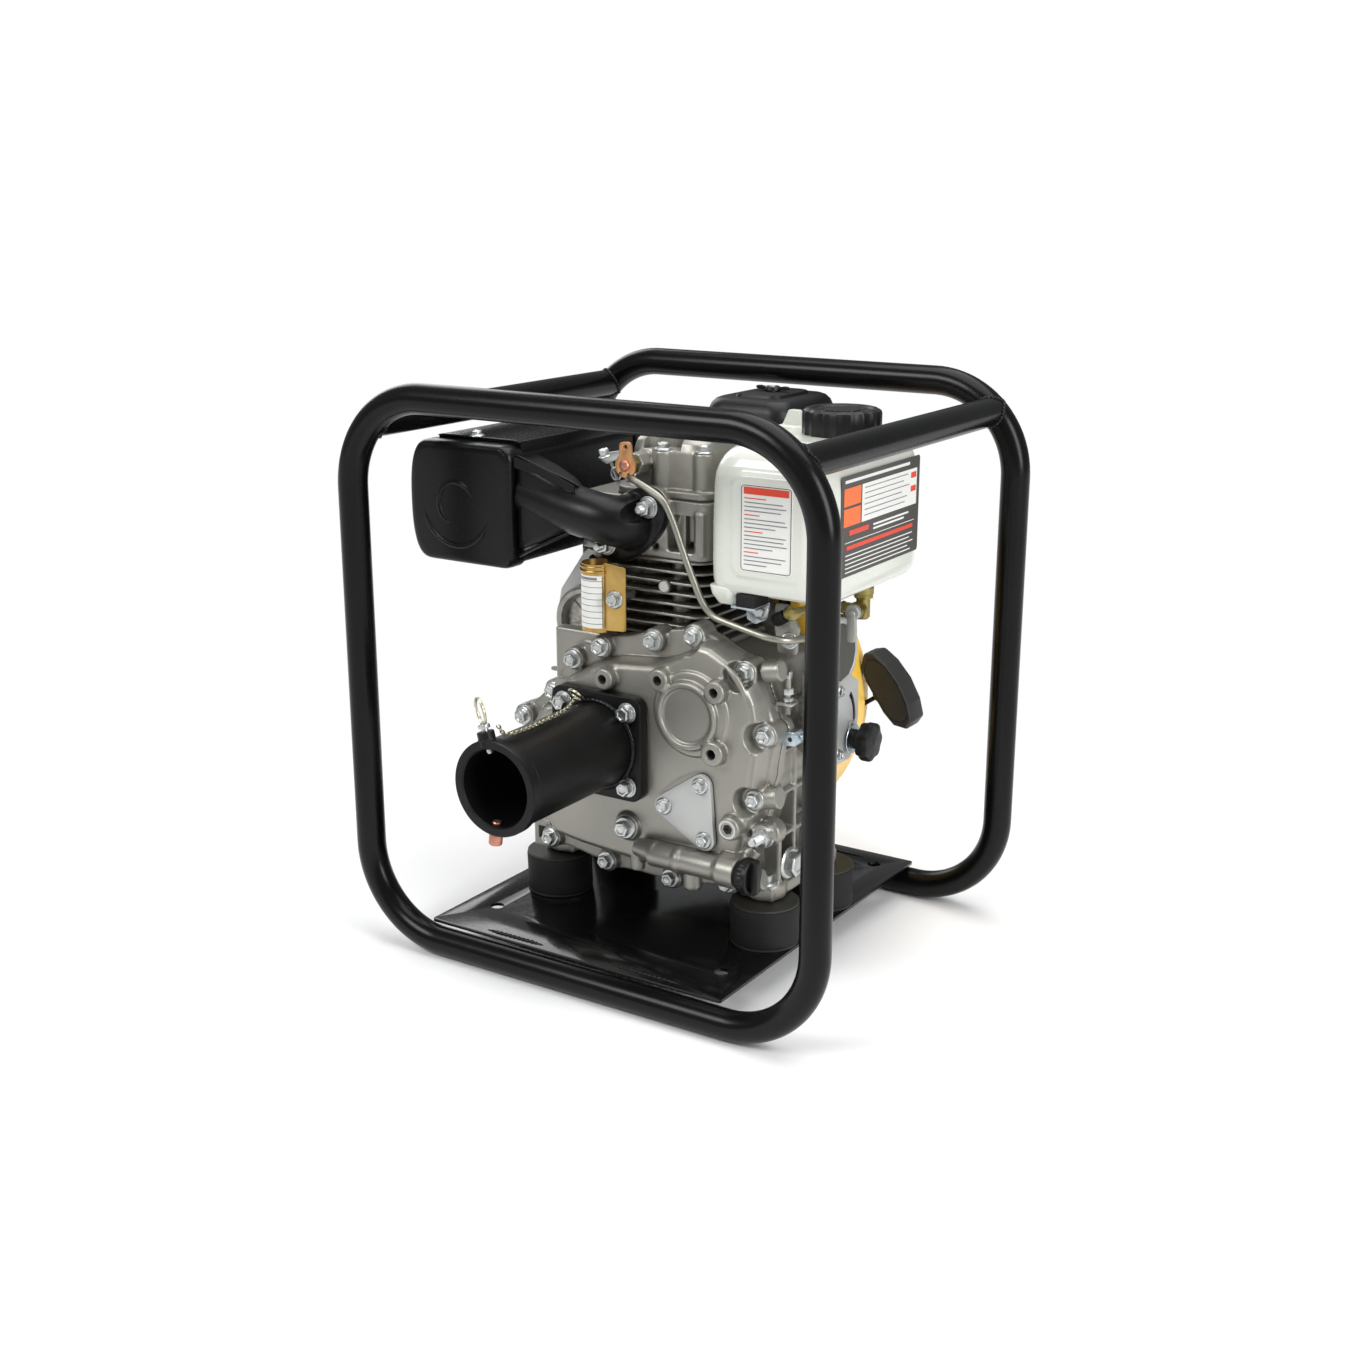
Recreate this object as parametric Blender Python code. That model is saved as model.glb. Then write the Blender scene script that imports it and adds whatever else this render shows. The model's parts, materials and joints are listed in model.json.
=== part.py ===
"""Portable fire-pump drive unit: a single-cylinder diesel engine in a tubular carrying cage.

Lengths below are in millimetres and are turned into metres when a mesh is made.
X runs along the front hoop, -Y is the power take-off side, Z is up and z = 0 is the ground.
Y is counted from the middle of the cage, and everything moves by CENTRE_Y at the end.
"""
import math
import bpy
import bmesh
from mathutils import Matrix, Vector

MM = 0.001
GAP = 0.3
CENTRE_Y = 30.24

# cage
TUBE_R = 13.5
HOOP_HALF = 239.7
HOOP_LOW = 13.5
HOOP_HIGH = 519.7
HOOP_BEND = 84.4
HOOP_Y = 185.0
CROSS_X = 215.0
CROSS_Z = 495.0
PLATE = (-170.0, 148.0, -182.0, 192.0, 29.1, 32.1)
PLATE_HOLES = ((-137.0, -126.0), (119.0, -133.0), (118.0, 164.0), (-137.0, 164.0))
MOUNT_X = 116.0
MOUNT_Y = 53.0
MOUNT_TOP = 71.7

# engine
CRANK_X = -30.0
CRANK_Z = 210.0
CAM_X = 40.0
CAM_Z = 232.5
JOINT_Y = -62.0
CASE_BACK = 62.0
COVER_FACE = -98.6
COVER_FLANGE = -84.0
COVER_BOLTS = ((-73, 277), (-42, 293), (15, 307), (58, 317), (111, 292), (132, 238.5), (122, 178),
               (95, 93), (34, 84.5), (-38, 86), (-103, 96), (-132, 213), (-96, 243))
BOLT_LOBE = 11.0
CYL_BASE = 298.0
CYL_TOP = 376.6
BORE_R = 39.4
THROW = 31.0
SHAFT_R = 12.4
FLANGE_FRONT = -110.0
TUBE_END = -257.0
BOLT_PITCH = 35.0

# starter
PULL = Vector((0.8165, 0.0, 0.5774))
HANDLE = Vector((141.0, 145.0, 227.0))
RIM_R = 141.0

# tank
TANK = (70.0, 190.0, -90.0, 100.0, 355.0, 487.0)
FILLER = (147.0, 15.0)

for old in list(bpy.data.objects):
    bpy.data.objects.remove(old, do_unlink=True)


# ------------------------------------------------------------------ helpers
def material(name, rgb, metallic, rough):
    found = bpy.data.materials.get(name)
    if found:
        return found
    m = bpy.data.materials.new(name)
    m.use_nodes = True
    node = m.node_tree.nodes["Principled BSDF"]
    node.inputs["Base Color"].default_value = (*rgb, 1.0)
    node.inputs["Metallic"].default_value = metallic
    node.inputs["Roughness"].default_value = rough
    m.diffuse_color = (*rgb, 1.0)
    return m


BLACK = ("black_paint", (0.012, 0.012, 0.013), 0.0, 0.38)
CAST = ("cast_alloy", (0.36, 0.35, 0.32), 0.75, 0.5)
DARK_FIN = ("fin_alloy", (0.13, 0.13, 0.12), 0.6, 0.55)
STEEL = ("steel", (0.55, 0.55, 0.54), 1.0, 0.32)
ZINC = ("zinc", (0.62, 0.64, 0.65), 1.0, 0.3)
RUBBER = ("rubber", (0.015, 0.015, 0.015), 0.0, 0.75)
PLASTIC = ("black_plastic", (0.02, 0.02, 0.021), 0.0, 0.45)
TANK_PAINT = ("tank_paint", (0.74, 0.75, 0.68), 0.0, 0.3)
YELLOW = ("yellow_plastic", (0.93, 0.52, 0.04), 0.0, 0.35)
GREY = ("grey_paint", (0.42, 0.43, 0.42), 0.3, 0.45)
GOLD = ("gold_zinc", (0.62, 0.42, 0.14), 0.9, 0.38)
COPPER = ("copper_zinc", (0.66, 0.34, 0.17), 0.9, 0.38)
BRASS = ("brass", (0.62, 0.48, 0.18), 1.0, 0.35)
CLEAR = ("hose", (0.70, 0.72, 0.62), 0.0, 0.25)
ROPE = ("rope", (0.05, 0.05, 0.05), 0.0, 0.8)


def to_object(name, bm, look, origin=(0.0, 0.0, 0.0), smooth=35.0):
    """Turn a bmesh in millimetres into an object in metres with its origin at a chosen point."""
    o = Vector(origin)
    for v in bm.verts:
        v.co = (v.co - o) * MM
    bmesh.ops.recalc_face_normals(bm, faces=bm.faces[:])
    me = bpy.data.meshes.new(name)
    bm.to_mesh(me)
    bm.free()
    me.materials.append(material(*look))
    ob = bpy.data.objects.new(name, me)
    ob.location = o * MM
    bpy.context.scene.collection.objects.link(ob)
    if smooth:
        me.shade_smooth()
        me.set_sharp_from_angle(angle=math.radians(smooth))
    return ob


def combine(ob, tool, operation):
    """Boolean a tool object into ob and drop the tool."""
    mod = ob.modifiers.new("combine", "BOOLEAN")
    mod.operation = operation
    mod.solver = "EXACT"
    mod.object = tool
    bpy.context.view_layer.update()
    graph = bpy.context.evaluated_depsgraph_get()
    fresh = bpy.data.meshes.new_from_object(ob.evaluated_get(graph))
    ob.modifiers.clear()
    stale = ob.data
    ob.data = fresh
    bpy.data.meshes.remove(stale)
    bpy.data.objects.remove(tool, do_unlink=True)
    fresh.shade_smooth()
    fresh.set_sharp_from_angle(angle=math.radians(35.0))
    return ob


def cut(ob, *tools):
    for t in tools:
        combine(ob, t, "DIFFERENCE")
    return ob


def unite(ob, *tools):
    for t in tools:
        combine(ob, t, "UNION")
    return ob


def place(axis, p, q, h):
    if axis == "x":
        return Vector((h, p, q))
    if axis == "y":
        return Vector((p, h, q))
    return Vector((p, q, h))


def prism_bm(outline, axis, low, high):
    """A closed prism of an outline given in the plane across the axis."""
    bm = bmesh.new()
    a = [bm.verts.new(place(axis, p, q, low)) for p, q in outline]
    b = [bm.verts.new(place(axis, p, q, high)) for p, q in outline]
    n = len(outline)
    for i in range(n):
        bm.faces.new((a[i], a[(i + 1) % n], b[(i + 1) % n], b[i]))
    bm.faces.new(a[::-1])
    bm.faces.new(b)
    return bm


def prism(name, outline, axis, low, high, look=CAST, **kw):
    return to_object(name, prism_bm(outline, axis, low, high), look, **kw)


def stack(name, sections, axis, look, **kw):
    """A closed solid lofted through outlines of equal point count: [(height, outline), ...]."""
    bm = bmesh.new()
    rings = [[bm.verts.new(place(axis, p, q, h)) for p, q in outline] for h, outline in sections]
    n = len(rings[0])
    for lo, hi in zip(rings, rings[1:]):
        for i in range(n):
            bm.faces.new((lo[i], lo[(i + 1) % n], hi[(i + 1) % n], hi[i]))
    bm.faces.new(rings[0][::-1])
    bm.faces.new(rings[-1])
    return to_object(name, bm, look, **kw)


def box(name, x0, x1, y0, y1, z0, z1, look=CAST, **kw):
    return prism(name, ((x0, y0), (x1, y0), (x1, y1), (x0, y1)), "z", z0, z1, look, **kw)


def turned(name, profile, axis, centre, look=CAST, seg=24, ring=False, phase=0.0, **kw):
    """Spin a profile of (radius, height) about an axis. ring closes the profile on itself."""
    bm = bmesh.new()
    rows = []
    for r, h in profile:
        if r <= 1e-6:
            rows.append([bm.verts.new(place(axis, centre[0], centre[1], h))])
        else:
            rows.append([bm.verts.new(place(axis, centre[0] + r * math.cos(phase + 2 * math.pi * k / seg),
                                            centre[1] + r * math.sin(phase + 2 * math.pi * k / seg), h))
                         for k in range(seg)])
    pairs = list(zip(rows, rows[1:]))
    if ring:
        pairs.append((rows[-1], rows[0]))
    for lo, hi in pairs:
        for k in range(seg):
            j = (k + 1) % seg
            if len(lo) == 1 and len(hi) == 1:
                continue
            if len(lo) == 1:
                bm.faces.new((lo[0], hi[j], hi[k]))
            elif len(hi) == 1:
                bm.faces.new((lo[k], lo[j], hi[0]))
            else:
                bm.faces.new((lo[k], lo[j], hi[j], hi[k]))
    if not ring:
        if len(rows[0]) > 1:
            bm.faces.new(rows[0][::-1])
        if len(rows[-1]) > 1:
            bm.faces.new(rows[-1])
    return to_object(name, bm, look, **kw)


def rod(name, start, end, r, look=CAST, seg=12, r2=None, **kw):
    """A closed straight cylinder or cone between two points."""
    a, b = Vector(start), Vector(end)
    q = (b - a).to_track_quat("Z", "Y")
    bm = bmesh.new()
    rings = []
    for c, rad in ((a, r), (b, r if r2 is None else r2)):
        rings.append([bm.verts.new(c + q @ Vector((rad * math.cos(2 * math.pi * k / seg),
                                                   rad * math.sin(2 * math.pi * k / seg), 0)))
                      for k in range(seg)])
    for k in range(seg):
        j = (k + 1) % seg
        bm.faces.new((rings[0][k], rings[0][j], rings[1][j], rings[1][k]))
    bm.faces.new(rings[0][::-1])
    bm.faces.new(rings[1])
    return to_object(name, bm, look, **kw)


def sweep_bm(points, r, seg, closed):
    """A tube along points, with flat caps when it is open."""
    pts = [Vector(p) for p in points]
    n = len(pts)
    bm = bmesh.new()
    tangents = []
    for i in range(n):
        before = pts[i - 1] if (closed or i > 0) else pts[i]
        after = pts[(i + 1) % n] if (closed or i < n - 1) else pts[i]
        tangents.append((after - before).normalized())
    up = Vector((0, 1, 0)) if abs(tangents[0].y) < 0.9 else Vector((1, 0, 0))
    side = tangents[0].cross(up).normalized()
    rings = []
    for i in range(n):
        side = (side - tangents[i] * side.dot(tangents[i])).normalized()
        other = tangents[i].cross(side)
        rings.append([bm.verts.new(pts[i] + r * (math.cos(2 * math.pi * k / seg) * side
                                                 + math.sin(2 * math.pi * k / seg) * other))
                      for k in range(seg)])
    pairs = list(zip(rings, rings[1:])) + ([(rings[-1], rings[0])] if closed else [])
    for lo, hi in pairs:
        for k in range(seg):
            j = (k + 1) % seg
            bm.faces.new((lo[k], lo[j], hi[j], hi[k]))
    if not closed:
        bm.faces.new(rings[0][::-1])
        bm.faces.new(rings[-1])
    return bm


def smooth_path(knots, per=6):
    """Catmull-Rom points through knots."""
    k = [Vector(p) for p in knots]
    k = [2 * k[0] - k[1]] + k + [2 * k[-1] - k[-2]]
    out = []
    for i in range(1, len(k) - 2):
        for s in range(per):
            t = s / per
            out.append(0.5 * ((2 * k[i]) + (k[i + 1] - k[i - 1]) * t
                              + (2 * k[i - 1] - 5 * k[i] + 4 * k[i + 1] - k[i + 2]) * t * t
                              + (3 * k[i] - k[i - 1] - 3 * k[i + 1] + k[i + 2]) * t ** 3))
    out.append(k[-2])
    return out


def tube_curve(name, points, r, look, resolution=2):
    """A curve object with a round bevel and filled caps."""
    cu = bpy.data.curves.new(name, "CURVE")
    cu.dimensions = "3D"
    cu.bevel_depth = r * MM
    cu.bevel_resolution = resolution
    cu.use_fill_caps = True
    cu.render_resolution_u = 0
    sp = cu.splines.new("POLY")
    sp.points.add(len(points) - 1)
    for p, v in zip(sp.points, points):
        p.co = (v[0] * MM, v[1] * MM, v[2] * MM, 1.0)
    cu.materials.append(material(*look))
    ob = bpy.data.objects.new(name, cu)
    bpy.context.scene.collection.objects.link(ob)
    return ob


def rounded(x0, x1, y0, y1, r, n=3):
    pts = []
    for cx, cy, a0 in ((x1 - r, y1 - r, 0), (x0 + r, y1 - r, 90), (x0 + r, y0 + r, 180), (x1 - r, y0 + r, 270)):
        for i in range(n + 1):
            a = math.radians(a0 + 90 * i / n)
            pts.append((cx + r * math.cos(a), cy + r * math.sin(a)))
    return pts


def hexagon(cx, cy, across, turn=0.0):
    r = across / math.sqrt(3)
    return [(cx + r * math.cos(math.radians(60 * i + turn)), cy + r * math.sin(math.radians(60 * i + turn)))
            for i in range(6)]


def circle(cx, cy, r, n=24, turn=0.0):
    return [(cx + r * math.cos(turn + 2 * math.pi * i / n), cy + r * math.sin(turn + 2 * math.pi * i / n))
            for i in range(n)]


def lobed(bolts, lobe, centre):
    """An outline that wraps each bolt with a three-point lobe."""
    out = []
    for x, z in bolts:
        a = math.atan2(z - centre[1], x - centre[0])
        for d in (38, 0, -38):
            b = a + math.radians(d)
            out.append((x + lobe * math.cos(b), z + lobe * math.sin(b)))
    return out


# ------------------------------------------------------------------ cage
def hoop_points(y, n=6):
    pts = []
    cz = ((HOOP_HIGH - HOOP_BEND), (HOOP_LOW + HOOP_BEND))
    cx = HOOP_HALF - HOOP_BEND
    for sx, z, a0 in ((1, cz[0], 0), (-1, cz[0], 90), (-1, cz[1], 180), (1, cz[1], 270)):
        for i in range(n + 1):
            a = math.radians(a0 + 90 * i / n)
            pts.append((sx * cx + HOOP_BEND * math.cos(a), y, z + HOOP_BEND * math.sin(a)))
    return pts


for hoop, y in (("front_hoop", -HOOP_Y), ("rear_hoop", HOOP_Y)):
    to_object(hoop, sweep_bm(hoop_points(y), TUBE_R, 12, True), BLACK)

for cross, s in (("left_cross_tube", -1), ("right_cross_tube", 1)):
    ob = to_object(cross, sweep_bm([(s * CROSS_X, y, CROSS_Z) for y in (-183, 183)], TUBE_R, 16, False), BLACK)
    for y in (-HOOP_Y, HOOP_Y):
        cut(ob, to_object("cope", sweep_bm(hoop_points(y), TUBE_R + GAP, 16, True), BLACK))

plate = box("base_plate", *PLATE, BLACK)
for hx, hy in PLATE_HOLES:
    cut(plate, turned("hole", [(6.5, 20), (6.5, 40)], "z", (hx, hy), seg=12))

mount_profile = [(32, 32.4), (32, MOUNT_TOP)]
for name, sx, sy in (("mount_front_left", -1, -1), ("mount_front_right", 1, -1),
                     ("mount_rear_left", -1, 1), ("mount_rear_right", 1, 1)):
    turned(name, mount_profile, "z", (sx * MOUNT_X, sy * MOUNT_Y), RUBBER, seg=16)

# ------------------------------------------------------------------ crankcase
outline = lobed(COVER_BOLTS, BOLT_LOBE, (0, 195))
case = prism("crankcase", outline, "y", JOINT_Y, CASE_BACK, CAST)
unite(case, box("foot", -128, 128, JOINT_Y + 1, 78, 72, 86),
      box("deck", -112, 52, JOINT_Y + 2, CASE_BACK - 1, 240, CYL_BASE + 3))
cut(case,
    box("above_deck", -160, 160, JOINT_Y - 5, 90, CYL_BASE, 340),
    box("right_flank", 128.5, 160, -52, 90, 86, 340), box("left_flank", -160, -126, -52, 90, 86, 340),
    turned("web_room", [(58, JOINT_Y - 5), (58, 44)], "y", (CRANK_X, CRANK_Z), seg=24),
    turned("main_bore", [(SHAFT_R + 0.4, 30), (SHAFT_R + 0.4, 70)], "y", (CRANK_X, CRANK_Z), seg=20),
    turned("cam_room", [(19, JOINT_Y - 5), (19, 40)], "y", (CAM_X, CAM_Z), seg=16),
    turned("gear_room", [(52, JOINT_Y - 5), (52, -46)], "y", (CAM_X, CAM_Z), seg=24),
    turned("liner_room", [(BORE_R, 235), (BORE_R, 310)], "z", (CRANK_X, 0), seg=24))

cover = prism("crankcase_cover", outline, "y", COVER_FLANGE, JOINT_Y - GAP, CAST)
inner = lobed([(x * 0.87, 195 + (z - 195) * 0.86) for x, z in COVER_BOLTS], 9.0, (0, 195))
unite(cover, prism("dome", inner, "y", COVER_FACE, COVER_FLANGE + 1))
unite(cover, turned("side_lug", [(12.5, COVER_FLANGE), (12.5, JOINT_Y - GAP)], "y", (131, 146), seg=12),
      turned("round_boss", [(30, COVER_FACE + 2), (30, -105), (27, -107), (0, -107)], "y", (64, 250), seg=22),
      turned("boss_a", [(11, COVER_FACE + 2), (11, -108), (0, -108)], "y", (-23, 271), seg=12),
      turned("boss_b", [(9, COVER_FACE + 2), (9, -107), (0, -107)], "y", (88, 222), seg=12),
      turned("filler_tube", [(11, 20), (11, 60), (10, 61), (10, 100), (13, 101), (13, 121.5)], "x",
             (-108, 116), seg=16),
      box("filler_web", 22, 96, -104, COVER_FACE + 2, 104, 125),
      turned("plug_boss", [(19, COVER_FACE + 2), (19, -104), (0, -104)], "y", (-2, 133), seg=16))
cut(cover, turned("seal_bore", [(SHAFT_R + 0.4, -120), (SHAFT_R + 0.4, -50)], "y", (CRANK_X, CRANK_Z), seg=20),
    turned("stick_bore", [(6.0, 70), (6.0, 130)], "x", (-108, 116), seg=12),
    *[turned("pad_hole", [(4.6, -112), (4.6, -86)], "y", (CRANK_X + a * BOLT_PITCH, CRANK_Z + b * BOLT_PITCH), seg=10)
      for a, b in ((-1, -1), (1, -1), (1, 1), (-1, 1))])

plate_points = [(78, 188), (40, 162), (82, 138)]
tri = []
for x, z in plate_points:
    a = math.atan2(z - 162.7, x - 66.7)
    for d in (50, 0, -50):
        tri.append((x + 10.5 * math.cos(a + math.radians(d)), z + 10.5 * math.sin(a + math.radians(d))))
tri = sorted(tri, key=lambda p: math.atan2(p[1] - 162.7, p[0] - 66.7))
prism("governor_plate", tri, "y", -104.6, COVER_FACE - GAP, GREY)

unite(prism("cover_hex_plug", hexagon(-2, 133, 19, 30), "y", -116, -106.0, ZINC),
      turned("collar", [(13.5, -106.5), (13.5, -104.3)], "y", (-2, 133), ZINC, seg=16))

unite(turned("filter_bolt", [(4, -106), (5, -105), (5, -90)], "y", (132, 146), ZINC, seg=10),
      prism("nut", hexagon(132, 146, 16), "y", -93, -86.5, ZINC),
      turned("seat", [(10.5, -87), (10.5, COVER_FLANGE - GAP)], "y", (132, 146), ZINC, seg=12))

# ------------------------------------------------------------------ dipstick
turned("dipstick_seal", [(6.6, 121.8), (11.5, 121.8), (11.5, 124.2), (6.6, 124.2)], "x", (-108, 116), RUBBER,
       seg=16, ring=True)
stick = turned("dipstick", [(15, 124.5), (16, 126), (16, 139), (14, 142), (0, 142)], "x", (-108, 116), PLASTIC,
               seg=20, origin=(124.5, -108, 116))
unite(stick, turned("stem", [(5.4, 74), (5.4, 125.5)], "x", (-108, 116), PLASTIC, seg=12))

# ------------------------------------------------------------------ crank train
crank = turned("crankshaft", [(SHAFT_R, 14), (54, 14), (54, 40), (SHAFT_R, 40), (SHAFT_R, 138), (0, 138)], "y",
               (CRANK_X, CRANK_Z), STEEL, seg=24, origin=(CRANK_X, 0, CRANK_Z))
unite(crank,
      turned("front_half", [(SHAFT_R, -163), (SHAFT_R, -59.2), (23.8, -59.2), (23.8, -50), (SHAFT_R, -50),
                            (SHAFT_R, -40), (54, -40), (54, -14), (20, -14)], "y", (CRANK_X, CRANK_Z), STEEL, seg=24),
      turned("pin", [(14, -16), (14, 16)], "y", (CRANK_X, CRANK_Z + THROW), STEEL, seg=16))

crown = turned("piston", [(0, 375.5), (38.9, 375.5), (38.9, 303), (32, 303), (32, 362), (0, 362)], "z",
               (CRANK_X, 0), STEEL, seg=24)
unite(crown, turned("gudgeon_pin", [(9, -35), (9, 35)], "y", (CRANK_X, 346), STEEL, seg=16))

cam = turned("camshaft", [(9.5, -60.5), (9.5, 38)], "y", (CAM_X, CAM_Z), STEEL, seg=12,
             origin=(CAM_X, 0, CAM_Z))
unite(cam, turned("cam_gear", [(48.9, -59.2), (48.9, -50)], "y", (CAM_X, CAM_Z), STEEL, seg=24),
      turned("lobe_a", [(13, -30), (13, -18)], "y", (CAM_X + 3.5, CAM_Z), STEEL, seg=12),
      turned("lobe_b", [(13, 2), (13, 14)], "y", (CAM_X - 2, CAM_Z + 3), STEEL, seg=12))

# ------------------------------------------------------------------ cylinder, head, rocker cover
FIN = (-114.0, 56.0, -61.5, 64.0)
sections = []
fins = 8
pitch = (CYL_TOP - CYL_BASE - GAP) / fins
for i in range(fins):
    z = CYL_BASE + GAP + i * pitch
    wide = rounded(FIN[0], FIN[1], FIN[2], FIN[3], 16, 2)
    slim = rounded(FIN[0] + 22, FIN[1] - 22, FIN[2] + 14, FIN[3] - 14, 14, 2)
    if i == 0:
        slim = rounded(FIN[0] + 10, FIN[1] - 10, FIN[2] + 8, FIN[3] - 8, 14, 2)
    sections += [(z, slim), (z + pitch - 3.2, slim), (z + pitch - 3.2 + 0.01, wide), (z + pitch, wide)]
barrel = stack("cylinder", sections, "z", DARK_FIN)
cut(barrel, turned("bore", [(BORE_R, 290), (BORE_R, 390)], "z", (CRANK_X, 0), seg=24))

head = box("cylinder_head", -108, 54, -61.6, 62, CYL_TOP + GAP, 430, CAST)
cut(head, box("slot_a", 12, 60, -70, -44, 384, 404), box("slot_b", 30, 62, -50, 70, 390, 412),
    box("slot_c", -120, -92, -70, 70, 386, 392), box("slot_d", -120, -92, -70, 70, 400, 406))
rocker = stack("rocker_cover", [(430.3, rounded(-104, 54, -56, 56, 10)), (436, rounded(-104, 54, -56, 56, 10)),
                                (436.2, rounded(-99, 48, -50, 50, 14)), (478, rounded(-97, 46, -48, 48, 14)),
                                (484, rounded(-92, 40, -42, 42, 12))], "z", CAST)

# ------------------------------------------------------------------ take-off
flange = prism("coupling_tube", rounded(CRANK_X - 49, CRANK_X + 49, CRANK_Z - 49, CRANK_Z + 49, 15), "y",
               FLANGE_FRONT, COVER_FACE - GAP, BLACK)
unite(flange,
      turned("barrel", [(40, FLANGE_FRONT + 4), (40, -246), (42.5, -247), (42.5, TUBE_END + 1), (41.5, TUBE_END)],
             "y", (CRANK_X, CRANK_Z), BLACK, seg=28),
      rod("pin_boss", (CRANK_X - 10.0, -250, CRANK_Z + 37.5), (CRANK_X - 13.2, -250, CRANK_Z + 49.3), 7.5, BLACK, 16))
cut(flange,
    turned("bore", [(34, TUBE_END - 5), (34, FLANGE_FRONT + 1)], "y", (CRANK_X, CRANK_Z), seg=28),
    turned("shaft_hole", [(20, FLANGE_FRONT - 5), (20, COVER_FACE + 5)], "y", (CRANK_X, CRANK_Z), seg=20),
    rod("pin_hole", (CRANK_X - 6, -250, CRANK_Z + 22.4), (CRANK_X - 14, -250, CRANK_Z + 52.2), 3.4, BLACK, 12),
    rod("plunger_hole", (CRANK_X - 4.2, -248, CRANK_Z - 30), (CRANK_X - 6.4, -248, CRANK_Z - 46), 4.6, BLACK, 12),
    *[turned("bolt_hole", [(4.6, -112), (4.6, -96)], "y", (CRANK_X + a * BOLT_PITCH, CRANK_Z + b * BOLT_PITCH), seg=10)
      for a, b in ((-1, -1), (1, -1), (1, 1), (-1, 1))])

bolt = unite(turned("flange_bolt_1", [(8.5, -111.9), (8.5, FLANGE_FRONT - GAP), (4.2, FLANGE_FRONT - GAP), (4.2, -88)],
                    "y", (0, 0), ZINC, seg=12),
             prism("bolt_head", hexagon(0, 0, 13, 10), "y", -119, -111.5, ZINC))
for i, (a, b) in enumerate(((-1, 1), (1, 1), (1, -1), (-1, -1))):
    ob = bolt if i == 0 else bpy.data.objects.new("flange_bolt_%d" % (i + 1), bolt.data)
    if i:
        bpy.context.scene.collection.objects.link(ob)
    ob.location = Vector((CRANK_X + a * BOLT_PITCH, 0, CRANK_Z + b * BOLT_PITCH)) * MM

dog = turned("drive_dog", [(12.8, -162), (25, -162), (27, -160), (27, -130), (25, -128), (12.8, -128)], "y",
             (CRANK_X, CRANK_Z), STEEL, seg=22, ring=True, origin=(CRANK_X, 0, CRANK_Z))

PIN_DIR = Vector((-0.2616, 0.0, 0.9652))
PIN_AT = Vector((CRANK_X, -250, CRANK_Z))
pin = rod("lock_pin", PIN_AT + PIN_DIR * 30, PIN_AT + PIN_DIR * 56, 3.0, ZINC, 12,
          origin=PIN_AT + PIN_DIR * 51)
unite(pin, rod("head", PIN_AT + PIN_DIR * 51.6, PIN_AT + PIN_DIR * 54.6, 5.0, ZINC, 16))
RING_AT = PIN_AT + PIN_DIR * 66
ring_pts = [RING_AT + 12.2 * (math.cos(2 * math.pi * k / 20) * PIN_DIR
                              + math.sin(2 * math.pi * k / 20) * Vector((0.75, -0.66, 0.2033)).normalized())
            for k in range(20)]
unite(pin, to_object("ring", sweep_bm(ring_pts, 1.1, 6, True), ZINC))

plunger = rod("plunger", (CRANK_X - 4.35, -248, CRANK_Z - 31.8), (CRANK_X - 6.2, -248, CRANK_Z - 45), 4.2, COPPER, 12,
              origin=(CRANK_X - 6.2, -248, CRANK_Z - 45))
unite(plunger, rod("plunger_head", (CRANK_X - 6.02, -248, CRANK_Z - 43.4), (CRANK_X - 7.4, -248, CRANK_Z - 53.5), 5.8,
                   COPPER, 14))

chain_knots = [(-30.0, -243.0, 255.6), (-29.0, -225, 252.6), (-29.5, -190, 252.0), (-31.0, -155, 253.4),
               (-36.5, -131, 257.0)]
tube_curve("pin_chain", smooth_path(chain_knots, 3), 1.4, ZINC, 2)

# ------------------------------------------------------------------ exhaust
stud = ((4.0, 424.0), (-41.0, 386.0))
mid = ((stud[0][0] + stud[1][0]) / 2, (stud[0][1] + stud[1][1]) / 2)
flange_out = []
for k in range(28):
    a = 2 * math.pi * k / 28
    tilt = math.atan2(stud[0][1] - stud[1][1], stud[0][0] - stud[1][0])
    p, q = 43 * math.cos(a), 25 * math.sin(a)
    flange_out.append((mid[0] + p * math.cos(tilt) - q * math.sin(tilt), mid[1] + p * math.sin(tilt) + q * math.cos(tilt)))
elbow = prism("exhaust_elbow", flange_out, "y", -71.5, -61.9, BLACK)
unite(elbow, turned("knuckle", [(17.5, -65), (17.5, -80), (22, -88), (20, -98), (12, -103), (0, -104)], "y", (mid[0], mid[1] + 4), BLACK,
                    seg=20),
      rod("pipe", (mid[0], -84, mid[1] + 6), (-115.4, -84, 428), 18.5, BLACK, 18, r2=17))
cut(elbow, *[turned("stud_hole", [(4.4, -75), (4.4, -58)], "y", s, seg=10) for s in stud])
for name, (x, z) in (("exhaust_nut_1", stud[0]), ("exhaust_nut_2", stud[1])):
    unite(turned(name, [(9, -73.6), (9, -71.8), (4.0, -71.8), (4.0, -62.0)], "y", (x, z), ZINC, seg=12),
          prism("nut", hexagon(x, z, 13, 20), "y", -80, -73.2, ZINC),
          turned("stud", [(3.8, -84), (3.8, -79)], "y", (x, z), ZINC, seg=10))

MUF = (-232.0, -119.0, 358.0, 470.0)
sec = []
for y, inset, r in ((-110, 8, 16), (-106, 1.5, 20), (-98, 0, 22), (104, 0, 22), (110, 6, 18)):
    sec.append((y, rounded(MUF[0] + inset, MUF[1] - inset, MUF[2] + inset, MUF[3] - inset, r, 3)))
stack("muffler", sec, "y", BLACK)
shield = prism("heat_shield", [(-222, 473), (-113.5, 473), (-113.5, 451), (-112, 451), (-112, 474.6), (-222, 474.6)],
               "y", -92, 100, BLACK)

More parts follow.
